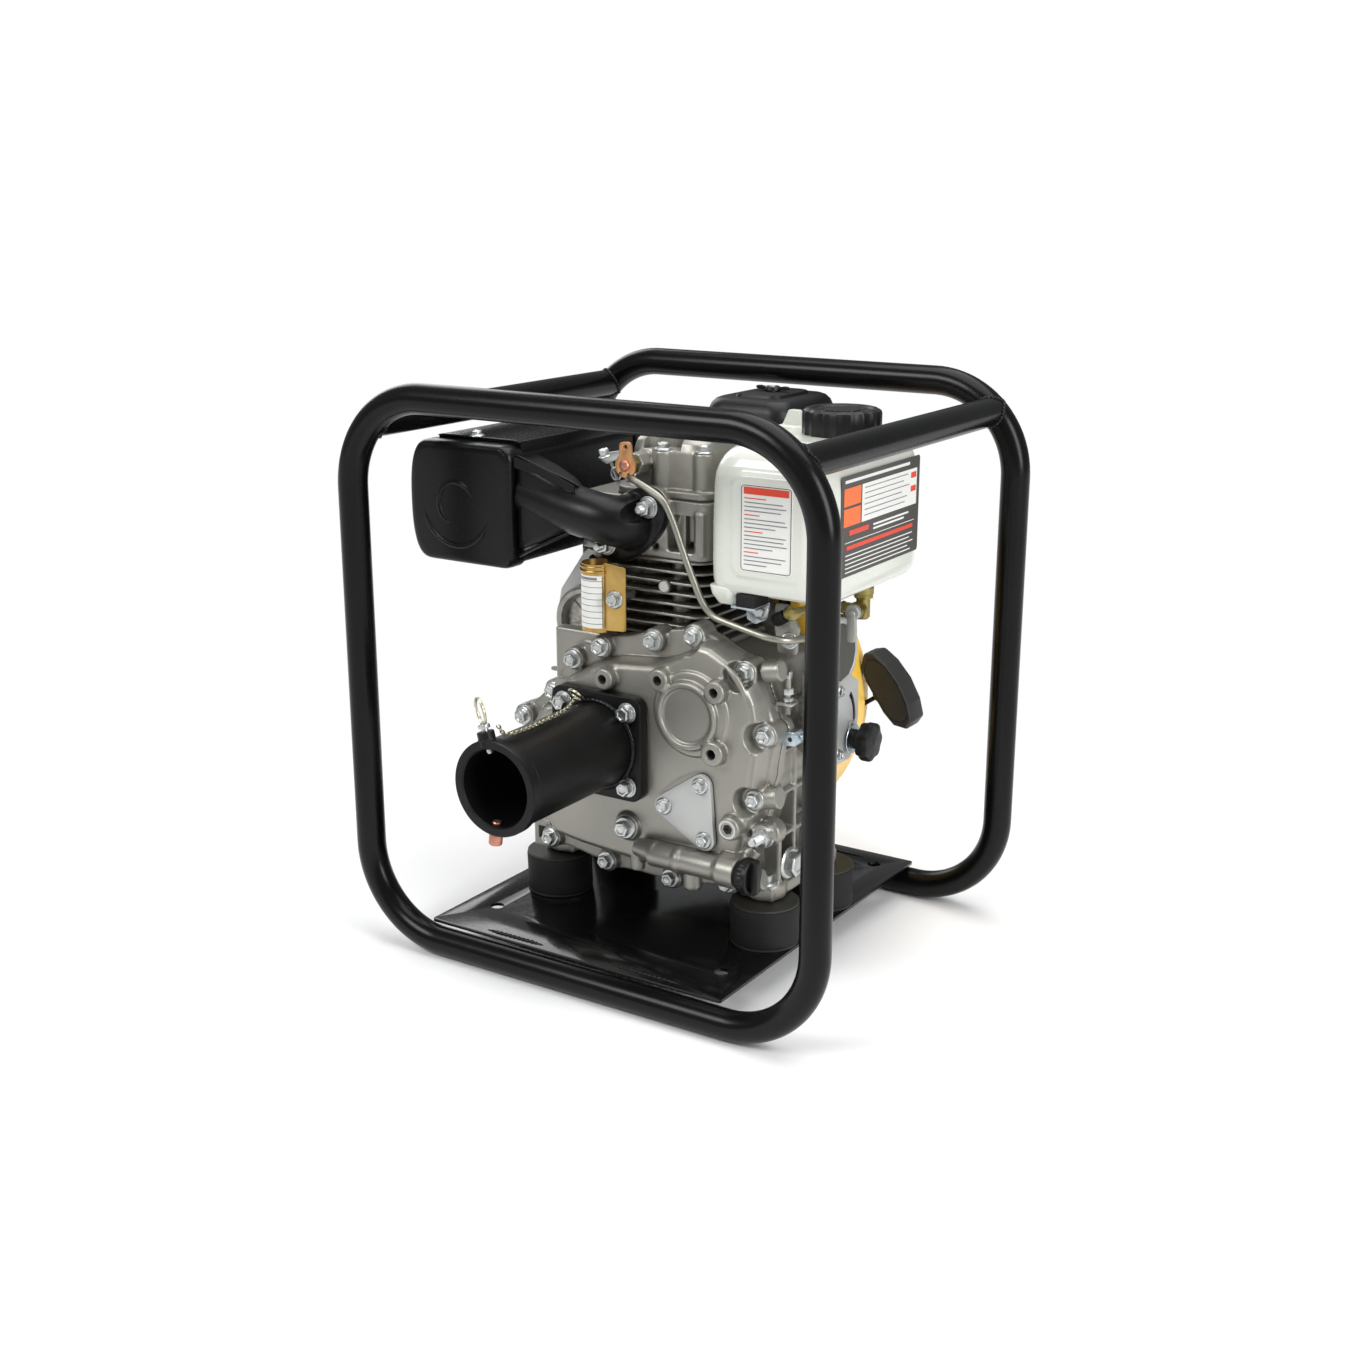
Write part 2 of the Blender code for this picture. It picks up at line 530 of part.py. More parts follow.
# ------------------------------------------------------------------ blower, starter
housing = prism("blower_housing", circle(CRANK_X, CRANK_Z, 147, 28), "y", 79, 130, GREY)
unite(housing, box("duct", -108, 52, 79.5, 129.9, 300, 428))
room = prism("room", circle(CRANK_X, CRANK_Z, 143.5, 28), "y", 82, 140)
cut(housing, room, box("duct_room", -105, 49, 82.5, 126.9, 290, 425),
    box("mouth", -96, 36, 70, 90, 310, 420),
    turned("hub_hole", [(34, 70), (34, 100)], "y", (CRANK_X, CRANK_Z), seg=20))
unite(housing, turned("neck", [(34.5, 62.4), (44, 62.4), (44, 80), (34.5, 80)], "y", (CRANK_X, CRANK_Z), seg=22,
                      ring=True))

wheel = turned("flywheel", [(12.8, 90), (30, 90), (34, 96), (112, 96), (118, 99), (118, 116), (112, 119), (34, 119),
                            (30, 126), (12.8, 126)], "y", (CRANK_X, CRANK_Z), DARK_FIN, seg=28, ring=True,
               origin=(CRANK_X, 0, CRANK_Z))

outer = [(143, 130.4), (147, 130.4), (147, 135), (RIM_R, 140), (RIM_R, 152), (134, 160), (96, 168), (70, 176), (0, 176)]
bowl = turned("recoil_cover", outer, "y", (CRANK_X, CRANK_Z), YELLOW, seg=28)
cut(bowl, turned("hollow", [(143, 125), (143, 134.5), (RIM_R - 3, 139), (RIM_R - 3, 150), (131, 157.5), (94, 165),
                            (69, 173), (0, 173)], "y", (CRANK_X, CRANK_Z), YELLOW, seg=28))
unite(bowl, turned("post", [(9, 141), (9, 174.5)], "y", (CRANK_X, CRANK_Z), YELLOW, seg=12))
EYE = Vector((HANDLE.x, HANDLE.y, HANDLE.z)) - PULL * 38
cut(bowl, rod("eyelet", EYE - PULL * 14, EYE + PULL * 12, 5.0, YELLOW, 16))
turned("recoil_pulley", [(9.4, 142), (58, 142), (58, 144), (52, 145), (52, 149), (58, 150), (58, 152), (9.4, 152)],
       "y", (CRANK_X, CRANK_Z), PLASTIC, seg=24, ring=True, origin=(CRANK_X, 147, CRANK_Z))

LONG = Vector((0.5774, 0.0, -0.8165))


def grip(u, w):
    return (HANDLE.x + LONG.x * u + PULL.x * w, HANDLE.z + LONG.z * u + PULL.z * w)


side_profile = ((-33, -12), (-18, -15), (18, -15), (33, -12), (42, -2), (38, 8), (22, 14), (0, 16.5), (-22, 14),
                (-38, 8), (-42, -2))
handle = stack("recoil_handle", [(HANDLE.y - 15, [grip(u * 0.93, w * 0.85) for u, w in side_profile]),
                                 (HANDLE.y - 12, [grip(u, w) for u, w in side_profile]),
                                 (HANDLE.y + 12, [grip(u, w) for u, w in side_profile]),
                                 (HANDLE.y + 15, [grip(u * 0.93, w * 0.85) for u, w in side_profile])], "y", PLASTIC,
               origin=HANDLE)
unite(handle, rod("starter_rope", EYE - PULL * 10, HANDLE - PULL * 11.0, 2.2, ROPE, 10))

# ------------------------------------------------------------------ tank
sec = []
for z, inset, r in ((355, 12, 16), (361, 3, 22), (370, 0, 24), (462, 0, 26), (478, 5, 26), (487, 18, 24)):
    sec.append((z, rounded(TANK[0] + inset, TANK[1] - inset, TANK[2] + inset, TANK[3] - inset, r, 3)))
tank = stack("fuel_tank", sec, "z", TANK_PAINT)
unite(tank, turned("neck", [(27, 480), (27, 496)], "z", FILLER, TANK_PAINT, seg=22))
cut(tank, turned("filler", [(22, 405), (22, 500)], "z", FILLER, TANK_PAINT, seg=22),
    turned("outlet", [(6.4, 350), (6.4, 364)], "z", (170, 20), TANK_PAINT, seg=10),
    box("notch", 60, 100, -100, -60, 345, 364, TANK_PAINT))
turned("cap_seal", [(22.5, 496.3), (26.5, 496.3), (26.5, 498.3), (22.5, 498.3)], "z", FILLER, RUBBER, seg=22, ring=True,
       origin=(FILLER[0], FILLER[1], 496.3))
cap = turned("tank_cap", [(34, 488.5), (34.5, 490), (34.5, 507), (32, 511), (0, 512)], "z", FILLER, PLASTIC, seg=24,
             origin=(FILLER[0], FILLER[1], 500))
cut(cap, turned("cap_room", [(29, 480), (29, 498.6)], "z", FILLER, PLASTIC, seg=22))

bracket = box("tank_bracket", 62, 150, 66, 92, 340, 345, BLACK)
unite(bracket, box("strut", 54.6, 66, 66, 92, 306, 345, BLACK), box("pad", 100, 150, 66, 92, 344, 354.6, BLACK))
cut(bracket, prism("clear", circle(CRANK_X, CRANK_Z, 150, 28), "y", 78, 140))

# ------------------------------------------------------------------ fuel parts
cock = turned("petcock_body", [(9, 326), (11, 329), (11, 343), (7, 345), (7, 349), (10, 350), (10, 354.4),
                               (6.0, 354.7), (6.0, 362)], "z", (170, 20), BRASS, seg=12)
unite(cock, rod("spout", (162, 20, 335), (144, 20, 335), 4.0, BRASS, 12),
      rod("spindle_boss", (170, 12, 336), (170, 4, 336), 7.5, BRASS, 14))
cut(cock, rod("spindle_hole", (170, 10, 336), (170, 0, 336), 3.4, BRASS, 12))
lever = rod("petcock_lever", (170, 3.6, 336), (170, -1.5, 336), 7.0, PLASTIC, 14, origin=(170, 0, 336))
unite(lever, rod("spindle", (170, 9, 336), (170, 3, 336), 3.0, PLASTIC, 12),
      box("blade", 165.5, 174.5, -3.5, 1.5, 309, 334, PLASTIC))
tube_curve("fuel_hose", smooth_path([(143.6, 20, 335), (137, 19.8, 334.8), (131, 17, 328), (131, 13, 312), (139, 9, 292),
                                     (147, 5.5, 278), (150, 1, 272.6), (150, -3.4, 272)], 3), 4.2, CLEAR, 2)

pump = turned("injection_pump", [(17, 214), (19, 217), (19, 262), (15, 265), (15, 284), (10, 287), (10, 298),
                                 (6, 300), (6, 305)], "z", (151, -26), CAST, seg=16)
unite(pump, box("pump_foot", 128.9, 148, -42, -10, 226, 262), rod("inlet", (151, -16, 272), (150, -4.6, 272), 4.6, CAST, 12))
PIPE_Y = -79.0
pipe_knots = [(-36, -56.6, 451), (-33.0, PIPE_Y + 3, 450.5), (-12.0, PIPE_Y - 3, 443), (13, PIPE_Y - 8, 427.5), (22, PIPE_Y - 8, 417),
              (37, PIPE_Y - 2, 390.6), (57, PIPE_Y, 352), (66, PIPE_Y, 343), (95, PIPE_Y - 2, 334), (130, PIPE_Y, 325),
              (146, -68, 322), (150.5, -44, 320), (151, -28, 313), (151, -26, 305.4)]
tube_curve("injector_pipe", smooth_path(pipe_knots, 3), 3.0, STEEL, 2)

# ------------------------------------------------------------------ controls
unite(rocker, prism("release_boss", hexagon(-16, 460, 17, 0), "y", -76, -47.0, CAST))
cut(rocker, turned("bore", [(3.4, -80), (3.4, -58)], "y", (-16, 460), seg=10))
arm = [(-6, 20.0), (6.5, 21.5), (7.5, 8), (11, 2), (10.5, -5), (5, -10.5), (-3, -11), (-10, -5.5), (-10.5, 2.5), (-6, 9)]
lever = prism("release_lever", [(-16 + a, 460 + b) for a, b in arm], "y", -80.2, -77.4, COPPER, origin=(-16, -78, 460))
unite(lever, turned("rivet", [(3.0, -60), (3.0, -79), (5, -80), (5, -82.5), (0, -83)], "y", (-16, 460), COPPER, seg=10))

bracket_pts = [(-12, 363), (-12, 312.5), (-34, 312.5), (-34, 358)]
strap = prism("zinc_bracket", bracket_pts, "y", -76.4, -73.4, GOLD)
unite(strap, turned("sleeve", [(20, 308), (20, 353), (21.5, 354), (21.5, 359), (19.5, 361)], "z", (-46, -90), GOLD,
                    seg=20))
unite(strap, turned("washer", [(8.5, -78.6), (8.5, -75)], "y", (-22, 340), ZINC, seg=12),
      prism("bracket_bolt", hexagon(-22, 340, 12, 15), "y", -84, -78.2, ZINC))

SPEED_AT = (40.0, 206.0)
quad = prism("speed_plate", [(8, 186), (74, 186), (76, 262), (62, 276), (26, 270), (8, 246)], "x", 148.0, 150.6, ZINC)
foot = box("plate_foot", 128.9, 150, 14, 34, 188, 191.5, ZINC)
unite(quad, foot)
slot = []
for k in range(9):
    a = math.radians(52 + 4.5 * k)
    slot.append((SPEED_AT[0] - 12 + 44 * math.cos(a), SPEED_AT[1] - 12 + 44 * math.sin(a)))
for k in range(9):
    a = math.radians(88 - 4.5 * k)
    slot.append((SPEED_AT[0] - 12 + 37 * math.cos(a), SPEED_AT[1] - 12 + 37 * math.sin(a)))
cut(quad, prism("slot", slot, "x", 140, 160),
    turned("pivot_hole", [(5.4, 140), (5.4, 160)], "x", SPEED_AT, seg=12))
knob_lever = prism("speed_lever", [(SPEED_AT[0] + p, SPEED_AT[1] + q) for p, q in
                                   ((-8, -8), (8, -8), (8, 6), (4, 40), (-4, 40), (-8, 6))], "x", 151.0, 153.4, ZINC,
                   origin=(152, *SPEED_AT))
unite(knob_lever, turned("shaft", [(5.0, 136.5), (5.0, 160)], "x", SPEED_AT, ZINC, seg=12))
star = []
for k in range(42):
    a = 2 * math.pi * k / 42
    star.append((SPEED_AT[0] + (17.5 + 1.8 * math.cos(7 * a)) * math.cos(a),
                 SPEED_AT[1] + (17.5 + 1.8 * math.cos(7 * a)) * math.sin(a)))
knob = prism("speed_knob", star, "x", 163, 176, PLASTIC, origin=(160, *SPEED_AT))
unite(knob, turned("neck", [(9.5, 153.8), (9.5, 164)], "x", SPEED_AT, PLASTIC, seg=16))
cut(knob, turned("thread", [(5.4, 150), (5.4, 160.5)], "x", SPEED_AT, seg=12))

# ------------------------------------------------------------------ air cleaner
base = stack("air_cleaner_base", [(432, rounded(-20, 66, 62, 168, 20)), (436, rounded(-26, 66, 60, 170, 24)),
                                  (462, rounded(-26, 66, 60, 170, 24))], "z", PLASTIC)
cut(base, stack("bowl", [(438, rounded(-22, 62, 64, 166, 20)), (470, rounded(-22, 62, 64, 166, 20))], "z", PLASTIC))
unite(base, turned("stud", [(12, 431.8), (12, 440), (3.5, 441), (3.5, 514)], "z", (20, 115), STEEL, seg=10))
turned("air_filter", [(12.6, 441.3), (36, 441.3), (36, 486), (12.6, 486)], "z", (20, 115), ("foam", (0.5, 0.42, 0.2), 0, 0.9),
       seg=20, ring=True)
lid = stack("air_cleaner_cover", [(462.3, rounded(-28, 66.5, 58, 171, 24)), (492, rounded(-28, 66.5, 58, 171, 24)),
                                  (504, rounded(-22, 62, 64, 165, 24)), (508, rounded(-6, 46, 80, 149, 22))], "z", PLASTIC)
cut(lid, stack("room", [(455, rounded(-24, 62.5, 62, 167, 20)), (490, rounded(-24, 62.5, 62, 167, 20))], "z", PLASTIC),
    turned("stud_hole", [(4.2, 480), (4.2, 520)], "z", (20, 115), PLASTIC, seg=10))
nut = turned("wing_nut", [(3.8, 508.4), (8, 508.4), (7, 515), (3.8, 515)], "z", (20, 115), ZINC, seg=12, ring=True,
             origin=(20, 115, 510))
unite(nut, box("wing_a", 26, 38, 113.5, 116.5, 510, 519, ZINC), box("wing_b", 2, 14, 113.5, 116.5, 510, 519, ZINC))

# the overall box is centred on the origin in Y
for ob in bpy.context.scene.objects:
    ob.location.y += CENTRE_Y * MM
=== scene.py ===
"""Looks of the portable fire-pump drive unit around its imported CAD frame."""
import json
import math
import random
import bpy
import bmesh
from mathutils import Matrix, Vector
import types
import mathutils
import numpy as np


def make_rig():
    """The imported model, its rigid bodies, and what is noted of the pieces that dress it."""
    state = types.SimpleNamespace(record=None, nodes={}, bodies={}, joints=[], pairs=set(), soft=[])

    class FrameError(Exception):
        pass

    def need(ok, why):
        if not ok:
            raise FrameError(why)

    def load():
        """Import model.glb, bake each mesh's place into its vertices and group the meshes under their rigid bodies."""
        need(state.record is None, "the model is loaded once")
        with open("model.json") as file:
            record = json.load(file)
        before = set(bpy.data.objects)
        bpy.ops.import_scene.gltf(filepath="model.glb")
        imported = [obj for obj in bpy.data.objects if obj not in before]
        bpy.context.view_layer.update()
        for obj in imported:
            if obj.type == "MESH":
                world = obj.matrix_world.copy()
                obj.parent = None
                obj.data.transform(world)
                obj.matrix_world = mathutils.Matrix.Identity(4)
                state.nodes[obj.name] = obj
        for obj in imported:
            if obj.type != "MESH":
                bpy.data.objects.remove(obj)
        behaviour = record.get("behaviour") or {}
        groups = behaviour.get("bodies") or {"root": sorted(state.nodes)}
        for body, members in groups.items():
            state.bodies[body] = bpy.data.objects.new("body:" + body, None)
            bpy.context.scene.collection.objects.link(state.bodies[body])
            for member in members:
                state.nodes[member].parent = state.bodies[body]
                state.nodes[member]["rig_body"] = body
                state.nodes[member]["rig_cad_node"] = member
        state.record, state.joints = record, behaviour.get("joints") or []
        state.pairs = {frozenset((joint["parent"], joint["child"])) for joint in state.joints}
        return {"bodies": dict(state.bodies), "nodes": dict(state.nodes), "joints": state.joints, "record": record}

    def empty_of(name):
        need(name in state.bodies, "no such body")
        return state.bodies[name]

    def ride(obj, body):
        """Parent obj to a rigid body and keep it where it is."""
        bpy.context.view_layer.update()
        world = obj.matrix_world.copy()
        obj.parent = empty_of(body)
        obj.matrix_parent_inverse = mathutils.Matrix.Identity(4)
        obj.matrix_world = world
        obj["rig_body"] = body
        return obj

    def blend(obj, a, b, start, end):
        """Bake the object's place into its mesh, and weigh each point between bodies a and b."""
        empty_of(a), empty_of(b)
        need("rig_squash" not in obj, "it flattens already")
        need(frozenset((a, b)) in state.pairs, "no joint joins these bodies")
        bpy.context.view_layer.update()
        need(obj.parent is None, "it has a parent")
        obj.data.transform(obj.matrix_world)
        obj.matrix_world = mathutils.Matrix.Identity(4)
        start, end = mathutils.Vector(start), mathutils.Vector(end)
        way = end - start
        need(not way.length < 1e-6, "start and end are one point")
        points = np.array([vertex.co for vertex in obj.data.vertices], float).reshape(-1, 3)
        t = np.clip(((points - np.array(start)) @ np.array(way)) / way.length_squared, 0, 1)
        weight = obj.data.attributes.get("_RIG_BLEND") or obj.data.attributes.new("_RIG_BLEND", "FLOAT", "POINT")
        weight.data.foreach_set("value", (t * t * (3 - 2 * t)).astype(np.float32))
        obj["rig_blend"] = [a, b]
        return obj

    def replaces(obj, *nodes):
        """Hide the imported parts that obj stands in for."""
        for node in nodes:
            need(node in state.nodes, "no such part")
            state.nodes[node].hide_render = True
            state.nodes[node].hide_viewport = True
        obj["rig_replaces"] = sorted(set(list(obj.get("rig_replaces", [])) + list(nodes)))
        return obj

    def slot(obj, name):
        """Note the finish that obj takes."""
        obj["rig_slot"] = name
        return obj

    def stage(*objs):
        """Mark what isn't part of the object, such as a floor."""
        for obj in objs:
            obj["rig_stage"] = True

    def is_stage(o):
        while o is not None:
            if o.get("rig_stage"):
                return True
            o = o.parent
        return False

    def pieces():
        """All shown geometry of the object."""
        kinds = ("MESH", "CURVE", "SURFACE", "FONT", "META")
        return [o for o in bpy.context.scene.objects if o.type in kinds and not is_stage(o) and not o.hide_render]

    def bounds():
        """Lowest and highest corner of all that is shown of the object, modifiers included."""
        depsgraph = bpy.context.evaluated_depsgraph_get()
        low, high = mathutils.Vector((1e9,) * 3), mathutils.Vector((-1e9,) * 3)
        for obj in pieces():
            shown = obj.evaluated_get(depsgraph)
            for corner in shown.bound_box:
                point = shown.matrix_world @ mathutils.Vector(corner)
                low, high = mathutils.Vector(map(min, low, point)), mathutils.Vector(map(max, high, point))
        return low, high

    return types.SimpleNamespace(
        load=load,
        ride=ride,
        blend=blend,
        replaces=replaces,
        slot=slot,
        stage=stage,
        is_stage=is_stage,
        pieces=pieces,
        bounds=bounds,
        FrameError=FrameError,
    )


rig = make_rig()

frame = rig.load()
CAD_BOX = [list(map(float, c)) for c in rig.bounds()]

MM = 0.001
CY = 30.24
FRAME = "frame"

# ------------------------------------------------------------------ camera, light, floor
cam_data = bpy.data.cameras.new("view")
cam_data.lens = 46.47
cam_data.sensor_width = 36.0
cam_data.clip_end = 50.0
cam = bpy.data.objects.new("view", cam_data)
bpy.context.scene.collection.objects.link(cam)
AZ, EL = math.radians(32.81), math.radians(16.22)
back = Vector((math.sin(AZ) * math.cos(EL), -math.cos(AZ) * math.cos(EL), math.sin(EL)))
cam.location = (0.85865, -1.34255 + CY * MM, 0.70846)
cam.rotation_mode = "QUATERNION"
cam.rotation_quaternion = (-back).to_track_quat("-Z", "Y")
bpy.context.scene.camera = cam


def area(name, loc, target, size, power, size_y=None, colour=(1, 1, 1)):
    l = bpy.data.lights.new(name, "AREA")
    l.energy = power
    l.color = colour
    l.shape = "RECTANGLE"
    l.size = size
    l.size_y = size_y or size
    o = bpy.data.objects.new(name, l)
    o.location = loc
    o.rotation_euler = (Vector(target) - Vector(loc)).to_track_quat("-Z", "Y").to_euler()
    bpy.context.scene.collection.objects.link(o)
    return o


area("key", (-0.9, -2.2, 2.0), (0, 0, 0.25), 1.6, 50, 1.0)
area("top", (0.2, 0.3, 2.6), (0, 0, 0.2), 2.6, 54, 2.2)
area("side", (2.4, -0.5, 1.3), (0, 0, 0.3), 0.9, 46, 1.8)
area("rim", (-2.0, 1.3, 1.5), (0, 0, 0.3), 1.2, 16, 1.6)

world = bpy.data.worlds.new("studio")
bpy.context.scene.world = world
world.use_nodes = True
wn = world.node_tree
wn.nodes.clear()
w_out = wn.nodes.new("ShaderNodeOutputWorld")
w_mix = wn.nodes.new("ShaderNodeMixShader")
w_path = wn.nodes.new("ShaderNodeLightPath")
w_fill = wn.nodes.new("ShaderNodeBackground")
w_fill.inputs[0].default_value = (0.96, 0.98, 1.0, 1)
w_fill.inputs[1].default_value = 0.24
w_back = wn.nodes.new("ShaderNodeBackground")
w_back.inputs[0].default_value = (1, 1, 1, 1)
w_back.inputs[1].default_value = 1.0
wn.links.new(w_path.outputs["Is Camera Ray"], w_mix.inputs[0])
wn.links.new(w_fill.outputs[0], w_mix.inputs[1])
wn.links.new(w_back.outputs[0], w_mix.inputs[2])
wn.links.new(w_mix.outputs[0], w_out.inputs[0])
bpy.context.scene.view_settings.view_transform = "Standard"
bpy.context.scene.view_settings.look = "None"


# ------------------------------------------------------------------ materials
def nodes_of(name):
    m = bpy.data.materials.new(name)
    m.use_nodes = True
    t = m.node_tree
    return m, t, t.nodes["Principled BSDF"]


def noise_node(t, coord, scale, detail=2.0, rough=0.5):
    n = t.nodes.new("ShaderNodeTexNoise")
    n.inputs["Scale"].default_value = scale
    n.inputs["Detail"].default_value = detail
    n.inputs["Roughness"].default_value = rough
    t.links.new(coord, n.inputs["Vector"])
    return n.outputs["Fac"]


def ramp(t, fac, stops):
    r = t.nodes.new("ShaderNodeValToRGB")
    el = r.color_ramp.elements
    while len(el) < len(stops):
        el.new(0.5)
    for e, (p, c) in zip(el, stops):
        e.position = p
        e.color = (*c, 1.0) if len(c) == 3 else c
    t.links.new(fac, r.inputs[0])
    return r.outputs[0]


def remap(t, fac, lo, hi, a=0.3, b=0.7):
    r = t.nodes.new("ShaderNodeMapRange")
    r.inputs["From Min"].default_value = a
    r.inputs["From Max"].default_value = b
    r.inputs["To Min"].default_value = lo
    r.inputs["To Max"].default_value = hi
    t.links.new(fac, r.inputs["Value"])
    return r.outputs[0]


def mixc(t, fac, a, b, mode="MIX"):
    m = t.nodes.new("ShaderNodeMix")
    m.data_type = "RGBA"
    m.blend_type = mode
    for sock, v in ((m.inputs["Factor"], fac), (m.inputs["A"], a), (m.inputs["B"], b)):
        if isinstance(v, (int, float)):
            sock.default_value = v
        elif isinstance(v, tuple):
            sock.default_value = (*v, 1.0)
        else:
            t.links.new(v, sock)
    return m.outputs["Result"]


def scaled(c, k):
    return tuple(min(1.0, x * k) for x in c)


def surface(name, base, metal=0.0, rough=0.4, spread=0.08, patch=14.0, vary=0.12, grain=900.0, bump=0.15, depth=0.0002,
            coat=0.0, edge=0.0, painted_crevice_shade=0.0, spec=0.5, tint=None, wear=None):
    """A procedural finish: slow colour drift, fine grain in roughness and relief, worn edges, and crevices darkened as
    painted shade.
    """
    m, t, p = nodes_of(name)
    co = t.nodes.new("ShaderNodeTexCoord").outputs["Object"]
    slow = noise_node(t, co, patch, 4.0, 0.6)
    fine = noise_node(t, co, grain, 3.0, 0.6)
    col = ramp(t, slow, [(0.3, scaled(base, 1 - vary)), (0.55, base), (0.75, scaled(tint or base, 1 + vary))])
    if edge or painted_crevice_shade:
        geo = t.nodes.new("ShaderNodeNewGeometry").outputs["Pointiness"]
        # painted shade: concave spots (low pointiness) take a darker colour
        if painted_crevice_shade:
            f = remap(t, geo, 1.0, 0.0, 0.44, 0.495)
            col = mixc(t, f, col, scaled(base, 1 - painted_crevice_shade))
        if edge:
            f = remap(t, geo, 0.0, 1.0, 0.53, 0.60)
            scr = remap(t, noise_node(t, co, 160.0, 3.0), 0.0, 1.0, 0.42, 0.6)
            mul = t.nodes.new("ShaderNodeMath")
            mul.operation = "MULTIPLY"
            t.links.new(f, mul.inputs[0])
            t.links.new(scr, mul.inputs[1])
            col = mixc(t, mul.outputs[0], col, wear or scaled(base, 1 + edge))
    t.links.new(col, p.inputs["Base Color"])
    t.links.new(remap(t, fine, rough - spread, rough + spread), p.inputs["Roughness"])
    p.inputs["Metallic"].default_value = metal
    p.inputs["Specular IOR Level"].default_value = spec
    if coat:
        p.inputs["Coat Weight"].default_value = coat
        p.inputs["Coat Roughness"].default_value = 0.12
    if bump:
        b = t.nodes.new("ShaderNodeBump")
        b.inputs["Strength"].default_value = bump
        b.inputs["Distance"].default_value = depth
        t.links.new(fine, b.inputs["Height"])
        t.links.new(b.outputs[0], p.inputs["Normal"])
    return m


PAINT = surface("black_powder_coat", (0.0035, 0.0035, 0.0037), 0.0, 0.24, 0.04, 20, 0.25, 700, 0.025, 0.00006, coat=0.0, spec=0.20)
PLATE_PAINT = surface("black_plate_paint", (0.0040, 0.0040, 0.0043), 0.0, 0.15, 0.05, 9, 0.3, 260, 0.03, 0.0001, coat=0.0, spec=0.36)
WELD = surface("painted_weld", (0.0045, 0.0045, 0.0047), 0.0, 0.30, 0.08, 60, 0.3, 420, 0.2, 0.0003, spec=0.25)
TUBE_PAINT = surface("black_tube_paint", (0.0042, 0.0042, 0.0044), 0.0, 0.40, 0.07, 18, 0.3, 380, 0.10, 0.0001, spec=0.24)
EXH_PAINT = surface("black_heat_paint", (0.0042, 0.0042, 0.0044), 0.0, 0.36, 0.08, 16, 0.3, 520, 0.12, 0.00015, spec=0.26)
MUFF_PAINT = surface("black_muffler_paint", (0.0038, 0.0038, 0.0040), 0.0, 0.30, 0.06, 12, 0.3, 900, 0.05, 0.00008, spec=0.26)
# the cast alloys darken their crevices as painted shade
CAST = surface("cast_alloy", (0.335, 0.325, 0.292), 0.80, 0.42, 0.07, 10, 0.08, 1150, 0.30, 0.00022, edge=0.55, painted_crevice_shade=0.55)
CAST_DARK = surface("cast_alloy_shaded", (0.30, 0.29, 0.26), 0.8, 0.46, 0.07, 12, 0.10, 1150, 0.30, 0.00022, edge=0.5, painted_crevice_shade=0.6)
MACHINED = surface("machined_alloy", (0.58, 0.57, 0.54), 0.95, 0.28, 0.06, 30, 0.06, 1600, 0.06, 0.0001)
# fin faces and the core between the fins take the alloy darkened as painted shade; the outward rims keep the lighter
# alloy tone of fin_edge
FIN_SHADED_ALLOY = surface("fin_alloy", (0.12, 0.117, 0.10), 0.8, 0.42, 0.08, 14, 0.15, 900, 0.30, 0.0003, edge=1.2)
FIN_EDGE = surface("fin_edge", (0.34, 0.33, 0.30), 0.9, 0.36, 0.06, 20, 0.12, 900, 0.2, 0.0002)
ZINC = surface("bright_zinc", (0.55, 0.57, 0.56), 1.0, 0.34, 0.05, 60, 0.08, 1400, 0.03, 0.00005)
BLUE_ZINC = surface("blue_zinc", (0.52, 0.60, 0.66), 1.0, 0.30, 0.07, 50, 0.12, 1200, 0.10, 0.0001, tint=(0.62, 0.66, 0.66))
STEEL = surface("bright_steel", (0.36, 0.35, 0.30), 1.0, 0.40, 0.06, 40, 0.08, 1200, 0.08, 0.0001)
GOLD = surface("yellow_zinc", (0.56, 0.36, 0.11), 0.95, 0.34, 0.07, 22, 0.18, 900, 0.10, 0.0001, tint=(0.66, 0.47, 0.20))
COPPER = surface("copper_zinc", (0.70, 0.36, 0.17), 0.9, 0.36, 0.06, 70, 0.15, 1000, 0.10, 0.0001, tint=(0.60, 0.44, 0.14))
BRASS = surface("brass", (0.34, 0.28, 0.10), 1.0, 0.36, 0.07, 60, 0.18, 900, 0.12, 0.0001)
CHAIN = surface("chain_zinc", (0.60, 0.56, 0.42), 1.0, 0.28, 0.06, 90, 0.14, 1200, 0.08, 0.0001)
PLASTIC = surface("black_plastic", (0.0065, 0.0065, 0.0066), 0.0, 0.40, 0.06, 16, 0.2, 1500, 0.20, 0.00012, spec=0.30)
STEM_PLASTIC = surface("handle_plastic", (0.010, 0.010, 0.0095), 0.0, 0.48, 0.06, 16, 0.2, 1700, 0.40, 0.0002, spec=0.42)
RUBBER = surface("rubber", (0.0065, 0.0065, 0.0065), 0.0, 0.68, 0.08, 18, 0.3, 800, 0.25, 0.0003, spec=0.35)
MOUNT_TOP = surface("mount_cap", (0.028, 0.027, 0.021), 0.2, 0.46, 0.08, 30, 0.25, 700, 0.2, 0.0002)
TANK = surface("tank_enamel", (0.68, 0.70, 0.63), 0.0, 0.24, 0.04, 6, 0.025, 260, 0.05, 0.0002, coat=0.5)
YELLOW = surface("yellow_enamel", (1.0, 0.60, 0.06), 0.0, 0.42, 0.04, 8, 0.05, 900, 0.06, 0.0001, coat=0.25)
GREY = surface("grey_enamel", (0.40, 0.41, 0.38), 0.55, 0.40, 0.06, 9, 0.06, 1000, 0.15, 0.00015)
GREY_LIGHT = surface("plate_grey", (0.50, 0.51, 0.50), 0.5, 0.42, 0.05, 12, 0.05, 1200, 0.12, 0.0001)
DARK = surface("deep_shade", (0.004, 0.004, 0.004), 0.0, 0.6, 0.06, 10, 0.2, 500, 0.1, 0.0002, spec=0.25)
GASKET = surface("gasket", (0.05, 0.045, 0.035), 0.0, 0.7, 0.06, 30, 0.2, 700, 0.2, 0.0002)
FOAM = surface("filter_foam", (0.35, 0.26, 0.10), 0.0, 0.9, 0.05, 20, 0.2, 300, 1.0, 0.0010)
